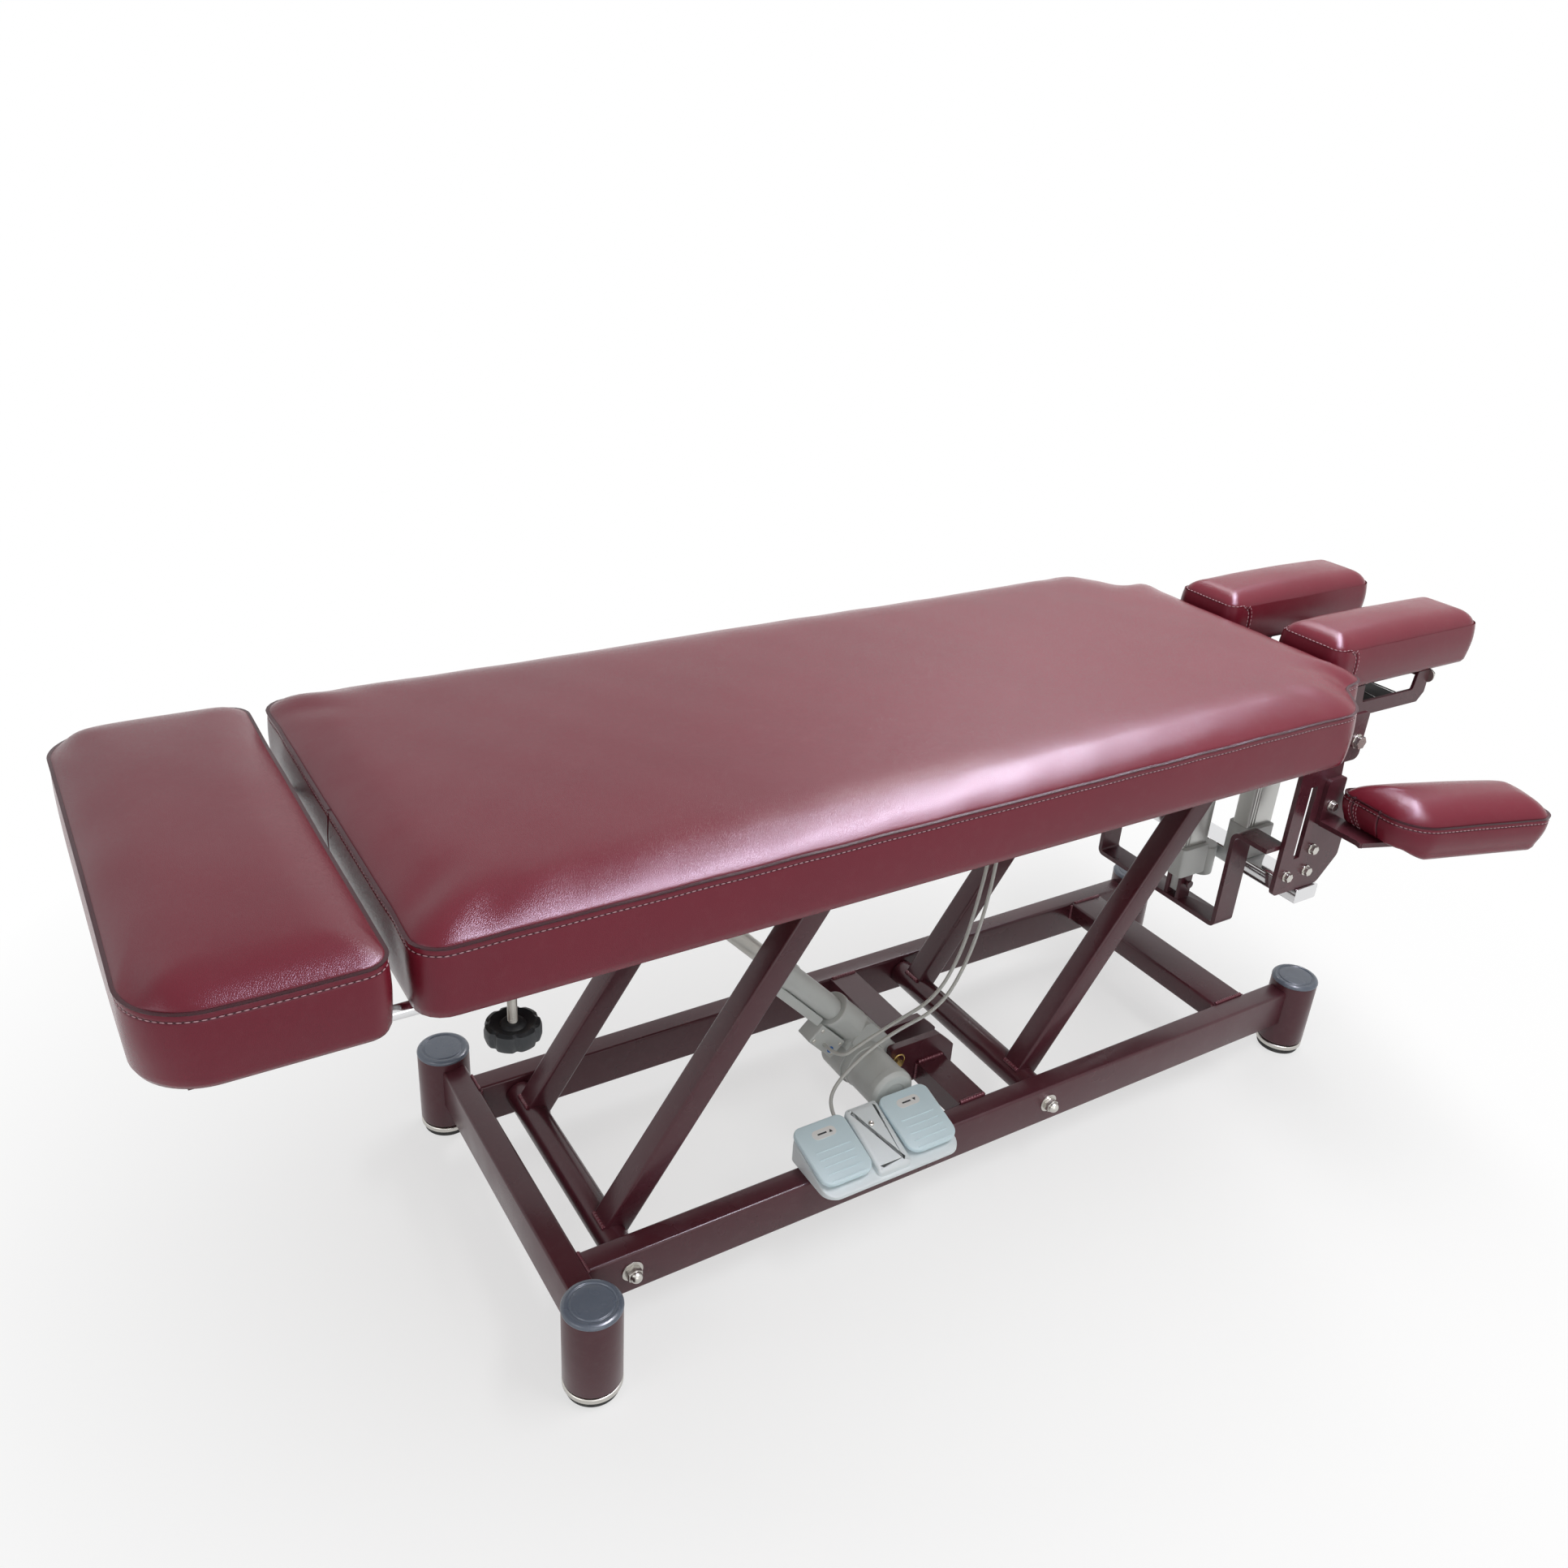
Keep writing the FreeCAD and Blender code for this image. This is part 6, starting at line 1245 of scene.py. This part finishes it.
class TABLE_OT_armrests(bpy.types.Operator):
    """Splayed armrest pads over their bent flat bars."""
    bl_idname = "table.armrests"
    bl_label = "Armrests"

    def execute(self, context):
        s = sizes()
        low, high = node_box("armrest_pad_near")
        turn = math.radians(20.0)
        inner = np.array([0.6945, 0.217])
        basis = np.array([[math.cos(turn), math.sin(turn)], [-math.sin(turn), math.cos(turn)]])
        outer = np.array([inner[0] - 0.010, 0.217 + 0.1400])
        far_inner = inner + basis[0] * 0.297
        corners = np.array([outer, inner, far_inner, far_inner + basis[1] * 0.118])
        centre = corners.mean(0)
        local = [tuple(c) for c in (corners - centre) @ basis.T]
        local, radii = local[1:] + local[:1], [0.014, 0.066, 0.026, 0.062]
        outline = plan(local, radii)
        total = travelled_along(outline)[-1]
        side = 0.024
        for name, sign in SIDES:
            cushion = Cushion(local, radii, (-0.085, 0.085), low[2], high[2] + 0.006, 0.026, 0.050, pitch=0.0055,
                              upright=(side, total - side), bulge=0.003, crown=0.004, taper=0.006,
                              lip=lambda s: 0.0125 * np.clip((s - 0.075) / 0.04, 0, 1), fullness=0.85)
            cushion.fill(0.0045, 0.006).uneven(21, 0.0006)
            cushion.sew_round(s.seam_depth).sew_upright(side, s.seam_depth)
            rise = np.linspace(0.004, cushion.seam, 30)
            runs = [(np.full(30, side + shift), rise, False) for shift in (-0.0095, -0.0045, 0.0045)]
            thread = thread_on(cushion, [round_seam(cushion, -0.0085)] + runs)
            cloth = slab(inset_loop(outline[1:-1], 0.016), 0.0012, 0.0004)
            cloth = (cloth[0] + Z * (low[2] - 0.0008), cloth[1])
            for key, part, finish_name, nodes in (("pad", skin(cushion.grid, True), "burgundy vinyl", True),
                                                  ("topstitch", thread, "thread", False),
                                                  ("underside", cloth, "dark underside", False)):
                v, f = part
                part = (np.concatenate([v[:, :2] @ basis + centre, v[:, 2:]], 1), f)
                part = part if sign > 0 else mirrored(part)
                if nodes:
                    make("armrest_pad_" + name + "_dressed", part, finish_name, "armrest_" + name,
                         ["armrest_pad_" + name], 75, cushion.mask)
                else:
                    make("armrest_" + key + "_" + name, part, finish_name, "armrest_" + name,
                         sharp=60)
            eased("armrest_support_" + name, PAINT, "armrest_" + name, 0.001)
        return {"FINISHED"}


class TABLE_OT_foot_switch(bpy.types.Operator):
    """Foot switch: sloped base with its ridge, two pedals with raised lines and markers."""
    bl_idname = "table.foot_switch"
    bl_label = "Foot switch"

    def execute(self, context):
        low, high = node_box("foot_switch_base")
        centre_x = (low[0] + high[0]) / 2
        front, back = low[1], -0.154
        depth = back - front
        floor = low[2]
        outline = softened(rectangle(low[0], front, high[0], back), [0.022, 0.022, 0.012, 0.012], 8)

        def sloped(outline, insets, shares, start, at_front, rise):
            """Rows at shares of the height of a top that rises evenly from front to back."""
            rows = []
            for inset, share in zip(insets, shares):
                loop = inset_loop(outline, inset)
                height = start + (at_front + rise * (loop[:, 1] - front) / depth) * share
                rows.append(np.concatenate([loop, height[:, None]], 1))
            return skin(np.stack(rows))
        base = sloped(outline, (0.0015, 0.0, 0.0, 0.0004, 0.0015, 0.0032), (0.0, 0.03, 0.7, 0.9, 0.98, 1.0),
                      floor, 0.004, 0.033)
        ridge_half = 0.0275
        ridge_outline = softened(rectangle(centre_x - ridge_half, front + 0.004, centre_x + ridge_half, back),
                                 0.006, 6)
        ridge = sloped(ridge_outline, (0, 0, 0.0006, 0.002, 0.005, 0.010), (0.0, 0.82, 0.92, 0.97, 0.995, 1.0),
                       floor + 0.001, 0.010, 0.040)
        make("foot_switch_base_dressed", together([base, ridge]), "switch white", "base",
             ["foot_switch_base"], 40)
        hinge_rise, toe_rise, toe_in, pedal_depth = 0.048, 0.021, 0.009, 0.008
        run = Y * (front + toe_in - back) + Z * (toe_rise - hinge_rise)
        pedal_length = np.linalg.norm(run)
        down = unit(run)
        normal = unit(np.cross(down, X))
        if normal[2] < 0:
            normal = -normal
        screw_at = np.array([centre_x, back - 0.032, floor + 0.010 + 0.040 * 0.70 + 0.0015])
        screw = turned(rounded_profile([(0, -0.004), (0.0042, -0.004), (0.0042, 0.0006), (0.0026, 0.0014),
                                        (0, 0.0006)], 0.0005), screw_at, normal, 24)
        make("switch_screw", screw, "zinc plate", "base", sharp=30)
        for name, point in (("up", 1), ("down", -1)):
            p_low, p_high = node_box("pedal_" + name)
            x_mid = (p_low[0] + p_high[0]) / 2
            pedal_width = p_high[0] - p_low[0]
            hinge = np.array([x_mid, back, floor + hinge_rise])
            pedal_outline = softened(rectangle(-pedal_width / 2, 0, pedal_width / 2, pedal_length),
                                     [0.013, 0.013, 0.019, 0.019], 9)
            body = placed(slab(pedal_outline, pedal_depth, 0.0026, 5), hinge - normal * pedal_depth, X, down, normal)
            if np.dot(np.cross(X, down), normal) < 0:
                body = (body[0], [face[::-1] for face in body[1]])
            lines = []
            for index in range(5):
                at = 0.046 + index * 0.0115
                half = pedal_width * 0.33
                middle = hinge + down * at + normal * 0.0002
                lines.append(tube(middle + X * np.linspace(-half, half, 8)[:, None], 0.0009, 8, reference=normal))
            make("pedal_" + name + "_dressed", together([body] + lines), "pedal grey blue", "pedal_" + name,
                 ["pedal_" + name], 40)
            badge = hinge + down * 0.021 + normal * 0.0001
            oval = softened(rectangle(-0.019, -0.0075, 0.019, 0.0075), 0.0074, 10)
            label = placed(slab(oval, 0.0005, 0.0001, 1), badge, X, -down, normal)
            make("pedal_label_" + name, label, "label white", "pedal_" + name)
            mark_z = badge + normal * 0.0005
            stroke = softened(rectangle(-0.0105, -0.0012, 0.004, 0.0012), 0.0003, 3)
            arrow = softened([(0.0075, -0.0022 * point), (0.0135, -0.0022 * point), (0.0105, 0.0026 * point)],
                             0.0002, 3)
            prints = [placed(slab(shape, 0.0003, 0.00005, 1), mark_z, X, -down, normal) for shape in (stroke, arrow)]
            make("pedal_print_" + name, together(prints), "print dark", "pedal_" + name)
        return {"FINISHED"}


class TABLE_OT_top_frame(bpy.types.Operator):
    """Top frame: rails, pivot lugs, cross members, sleeves and control box under the cushion."""
    bl_idname = "table.top_frame"
    bl_label = "Top frame"

    def execute(self, context):
        for node, width in (("top_rails", 0.0016), ("top_pivot_lugs", 0.001), ("top_cross_members", 0.0014),
                            ("slide_sleeves", 0.001)):
            eased(node, PAINT, "top", width)
        eased("control_box", "column housing grey", "top", 0.0015)
        eased("rod_blocks", PAINT, "leg_section", 0.001)
        low, high = node_box("slide_rods")
        radius = (high[2] - low[2]) / 2
        rods = [rod(radius, 0, high[0] - low[0], 0.0012,
                    [low[0], sign * (high[1] - radius), (low[2] + high[2]) / 2], X, 40) for sign in SIGNS]
        make("slide_rods_dressed", together(rods), "bright chrome", "leg_section", ["slide_rods"], 30)
        return {"FINISHED"}


class TABLE_OT_clamp_knob(bpy.types.Operator):
    """Hand knob: rim radius dips as a raised cosine at each of seven finger notches."""
    bl_idname = "table.clamp_knob"
    bl_label = "Clamp knob"

    def execute(self, context):
        low, high = node_box("clamp_knob")
        pos = joint_place("clamp_knob")
        bottom = low[2]
        angle = np.linspace(0, 2 * math.pi, 140, endpoint=False)
        lobes = 1 - 0.10 * np.clip(np.cos(7 * angle), 0.25, 1) ** 3
        profile = np.array([(0.010, 0.0015), (0.020, 0.001), (0.024, 0.0), (0.0285, 0.002), (0.030, 0.007),
                            (0.030, 0.015), (0.0285, 0.020), (0.024, 0.022), (0.021, 0.0205), (0.014, 0.019),
                            (0.011, 0.022), (0.009, 0.0225)])
        strength = np.clip((profile[:, :1] - 0.018) / 0.012, 0, 1)
        reach = profile[:, :1] * (1 - strength * (1 - lobes[None]))
        grid = np.stack([pos[0] + reach * np.cos(angle), pos[1] + reach * np.sin(angle),
                         bottom + np.broadcast_to(profile[:, 1:], reach.shape)], -1)
        body = skin(grid)
        make("clamp_knob_dressed", body, "black plastic", "clamp_knob", ["clamp_knob"], 45)
        stem = rod(0.0048, 0, high[2] - bottom - 0.020, 0.0006, [pos[0], pos[1], bottom + 0.020], Z, 28)
        turns = np.linspace(0, 2 * math.pi * 22, 22 * 16)
        rise = np.linspace(0.001, high[2] - bottom - 0.022, len(turns))
        helix = np.stack([pos[0] + 0.0048 * np.cos(turns), pos[1] + 0.0048 * np.sin(turns),
                          bottom + 0.020 + rise], -1)
        make("clamp_stem", together([stem, tube(helix, 0.00055, 5, Z)]), "zinc plate", "clamp_knob",
             sharp=40)
        return {"FINISHED"}


class TABLE_OT_head_end(bpy.types.Operator):
    """Side plates, glides, chrome bar, columns, carriage and tilting head frame."""
    bl_idname = "table.head_end"
    bl_label = "Head end"

    def execute(self, context):
        for node, body, width in (("side_plates", "top", 0.0009), ("column_strap", "top", 0.0012),
                                  ("head_carriage", "head_carriage", 0.0012), ("tilt_levers", "head_section", 0.0008),
                                  ("head_frame", "head_section", 0.0009)):
            eased(node, PAINT, body, width)
        eased("head_pivot_tube", PAINT, "head_section", 0.0006)
        eased("carriage_glides", "black plastic", "top", 0.001)
        eased("side_plate_bolts", "zinc plate", "top", 0.0006)
        eased("head_pivot_bolt", "zinc plate", "head_carriage", 0.0008)
        eased("head_lock_nut", "zinc plate", "head_section", 0.0006)
        # Painted shade: a near-black pan under the head frame, partly a black underside, partly the shade in the gap
        # under the head cushions.
        pan_and_shade = slab(softened(rectangle(0.776, -0.148, 0.912, 0.148), 0.004), 0.002, 0.0005)
        make("head_frame_pan_and_painted_shade", (pan_and_shade[0] + Z * 0.618, pan_and_shade[1]), "dark underside", "head_section")
        rise = Z * 0.004 * np.sin(np.linspace(0, math.pi, 12))[:, None]
        wires = [tube(np.linspace(start, end, 12) + rise, 0.0011, 8)
                 for start, end in (((0.800, -0.146, 0.628), (0.884, -0.020, 0.640)),
                                    ((0.846, -0.146, 0.626), (0.800, -0.040, 0.642)),
                                    ((0.892, -0.146, 0.630), (0.836, 0.010, 0.640)))]
        make("head_frame_wires", together(wires), "bright chrome", "head_section")
        low, high = node_box("chrome_cross_bar")
        middle = (low + high) / 2
        parts = bar([middle[0], low[1], middle[2]], [middle[0], high[1], middle[2]], high[0] - low[0],
                    high[2] - low[2], 0.003, 0.0006, X)
        make("chrome_cross_bar_dressed", parts, "bright chrome", "top", ["chrome_cross_bar"])
        eased("column_profiles", "anodised column", "top", 0.0008)
        eased("column_gearboxes", "column housing grey", "top", 0.0016)
        eased("tilt_motor", "column housing grey", "top", 0.0015)
        eased("height_inner_profile", "anodised column", "head_carriage", 0.001)
        eased("tilt_rod", "bright chrome", "tilt_rod", 0.0008)
        return {"FINISHED"}


FOOT_LEAD = [(-0.165, -0.1537, 0.1472), (-0.165, -0.1317, 0.1472), (-0.160, -0.112, 0.176),
             (-0.116, -0.112, 0.218), (-0.052, -0.104, 0.238), (0.036, -0.102, 0.252), (0.080, -0.098, 0.318),
             (0.104, -0.094, 0.400), (0.122, -0.084, 0.480), (0.136, -0.068, 0.545), (0.1677, -0.056, 0.579),
             (0.2047, -0.056, 0.579)]
LIFT_LEAD = [(-0.1354, -0.0548, 0.2126), (-0.1354, -0.0948, 0.2126), (-0.102, -0.100, 0.234),
             (-0.040, -0.092, 0.244), (0.034, -0.090, 0.262), (0.073, -0.088, 0.324), (0.097, -0.082, 0.402),
             (0.118, -0.072, 0.482), (0.136, -0.056, 0.552), (0.1677, -0.046, 0.589), (0.2047, -0.046, 0.589)]


def spline_points(points):
    """Points read from a smooth spline whose control points are the route."""
    curve = bpy.data.curves.new("route", "CURVE")
    curve.dimensions = "3D"
    curve.resolution_u = 16
    spline = curve.splines.new("NURBS")
    spline.points.add(len(points) - 1)
    spline.points.foreach_set("co", np.concatenate([np.array(points), np.ones((len(points), 1))], 1).ravel())
    spline.order_u = 3
    spline.use_endpoint_u = True
    holder = linked("route", curve)
    mesh = bpy.data.meshes.new_from_object(holder.evaluated_get(bpy.context.evaluated_depsgraph_get()))
    found = coordinates(mesh)
    bpy.data.objects.remove(holder)
    bpy.data.curves.remove(curve)
    bpy.data.meshes.remove(mesh)
    return found


class TABLE_OT_leads(bpy.types.Operator):
    """Leads of the foot switch and the lift drive: tubes along smooth splines through their routes."""
    bl_idname = "table.leads"
    bl_label = "Leads"

    def execute(self, context):
        s = sizes()
        for name, route, keep in (("foot_switch_lead", FOOT_LEAD, 0.59), ("lift_lead", LIFT_LEAD, 0.52)):
            points = spline_points(route)
            piece = make(name + "_dressed", tube(points, s.lead_diameter / 2, 12), "lead grey", "base",
                         [name], 60)
            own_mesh(piece)
        return {"FINISHED"}


def direct_rays(tree):
    """1 for camera, glossy and transmission rays, 0 for diffuse ones."""
    path = add(tree, "ShaderNodeLightPath")
    total = path.outputs["Is Camera Ray"]
    for label in ("Is Glossy Ray", "Is Transmission Ray"):
        larger = add(tree, "ShaderNodeMath", operation="MAXIMUM")
        tree.links.new(total, larger.inputs[0])
        tree.links.new(path.outputs[label], larger.inputs[1])
        total = larger.outputs[0]
    return total


PHOTO_PIXELS = 1932.0
FOCAL_PIXELS = 1658.481
SENSOR = 36.0


class TABLE_OT_stage(bpy.types.Operator):
    """Pale floor, soft lamps, pale world and the camera."""
    bl_idname = "table.stage"
    bl_label = "Stage"

    def execute(self, context):
        scene = context.scene
        floor_mesh = bpy.data.meshes.new("floor")
        floor_mesh.from_pydata([(-14, -14, 0), (14, -14, 0), (14, 14, 0), (-14, 14, 0)], [], [(0, 1, 2, 3)])
        floor = linked("floor", floor_mesh)
        pale = bpy.data.materials.new("pale floor")
        pale.use_nodes = True
        tree = pale.node_tree
        shader = tree.nodes["Principled BSDF"]
        shader.inputs["Base Color"].default_value = (0.93, 0.93, 0.93, 1)
        shader.inputs["Roughness"].default_value = 0.9
        shader.inputs["Specular IOR Level"].default_value = 0.0
        glow = add(tree, "ShaderNodeEmission")
        distance = add(tree, "ShaderNodeVectorMath", operation="LENGTH")
        tree.links.new(add(tree, "ShaderNodeTexCoord").outputs["Object"], distance.inputs[0])
        outside = ranged(tree, distance.outputs["Value"], 0.7, 1.6, 0.62, 1.0)
        amount = add(tree, "ShaderNodeMath", operation="MULTIPLY")
        tree.links.new(outside, amount.inputs[0])
        tree.links.new(direct_rays(tree), amount.inputs[1])
        blend = add(tree, "ShaderNodeMixShader")
        for source, target in ((amount.outputs[0], blend.inputs[0]), (shader.outputs[0], blend.inputs[1]),
                               (glow.outputs[0], blend.inputs[2]),
                               (blend.outputs[0], tree.nodes["Material Output"].inputs["Surface"])):
            tree.links.new(source, target)
        floor_mesh.materials.append(pale)
        world = bpy.data.worlds.new("studio")
        world.use_nodes = True
        tree = world.node_tree
        background = tree.nodes["Background"]
        background.inputs["Color"].default_value = (1.0, 1.0, 1.0, 1)
        tree.links.new(ranged(tree, direct_rays(tree), 0.0, 1.0, 0.24, 1.0), background.inputs["Strength"])
        scene.world = world
        for name, place, target, size, power in (
                ("key strip", (1.15, -0.05, 2.85), (1.0, 0.0, 0.7), (4.6, 0.62), 86.0),
                ("sheen strip", (1.00, -0.20, 2.85), (0.8, 0.0, 0.7), (3.2, 0.40), 190.0),
                ("foot softbox", (-3.0, -0.8, 1.9), (-0.3, 0.0, 0.6), (1.4, 1.4), 14.0),
                ("front softbox", (-0.9, -3.2, 1.3), (0.0, 0.0, 0.3), (2.2, 1.2), 13.0)):
            lamp = bpy.data.lights.new(name, "AREA")
            lamp.shape = "RECTANGLE"
            lamp.size, lamp.size_y = size
            lamp.energy = power
            holder = linked(name, lamp)
            if name == "sheen strip":
                lamp.color = (0.84, 0.84, 1.0)
                holder.visible_diffuse = False
            aim = Vector(target) - Vector(place)
            holder.matrix_world = Matrix.Translation(place) @ aim.to_track_quat("-Z", "Y").to_matrix().to_4x4()
        camera = bpy.data.cameras.new("photo view")
        camera.sensor_width = SENSOR
        camera.lens = SENSOR * FOCAL_PIXELS / PHOTO_PIXELS
        camera.clip_end = 60.0
        holder = linked("photo view", camera)
        right = Vector((0.85270845, -0.51884603, 0.06072143))
        down = Vector((-0.19141808, -0.41849305, -0.88781906))
        ahead = Vector((0.48605289, 0.74542764, -0.45616907))
        turn = Matrix((right, -down, -ahead)).transposed().to_4x4()
        holder.matrix_world = Matrix.Translation((-1.068657, -1.331304, 1.443896)) @ turn
        scene.camera = holder
        scene.view_settings.view_transform = "Standard"
        return {"FINISHED"}


class TABLE_PT_panel(bpy.types.Panel):
    """Sizes, colours and pieces of the table."""
    bl_idname = "TABLE_PT_panel"
    bl_label = "Treatment table"
    bl_space_type = "VIEW_3D"
    bl_region_type = "UI"
    bl_category = "Table"

    def draw(self, context):
        column = self.layout.column()
        for holder in (context.scene.table_sizes, context.scene.table_colours):
            for item in holder.bl_rna.properties:
                if item.identifier not in {"rna_type", "name"}:
                    column.prop(holder, item.identifier)
        for operator in OPERATORS:
            column.operator(operator.bl_idname)


OPERATORS = (
    TABLE_OT_finishes, TABLE_OT_base_frame, TABLE_OT_posts, TABLE_OT_axles, TABLE_OT_lift_arms,
    TABLE_OT_lift_drive, TABLE_OT_top_frame, TABLE_OT_cushions, TABLE_OT_head_cushions, TABLE_OT_armrests,
    TABLE_OT_foot_switch, TABLE_OT_clamp_knob, TABLE_OT_head_end, TABLE_OT_leads, TABLE_OT_stage,
)
CLASSES = (TableSizes, TableColours) + OPERATORS + (TABLE_PT_panel,)


def register():
    for item in CLASSES:
        bpy.utils.register_class(item)
    bpy.types.Scene.table_sizes = bpy.props.PointerProperty(type=TableSizes)
    bpy.types.Scene.table_colours = bpy.props.PointerProperty(type=TableColours)


def unregister():
    del bpy.types.Scene.table_colours
    del bpy.types.Scene.table_sizes
    for item in reversed(CLASSES):
        bpy.utils.unregister_class(item)


def main():
    register()
    for operator in OPERATORS:
        area, name = operator.bl_idname.split(".")
        getattr(getattr(bpy.ops, area), name)()
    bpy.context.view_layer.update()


if __name__ == "__main__":
    main()
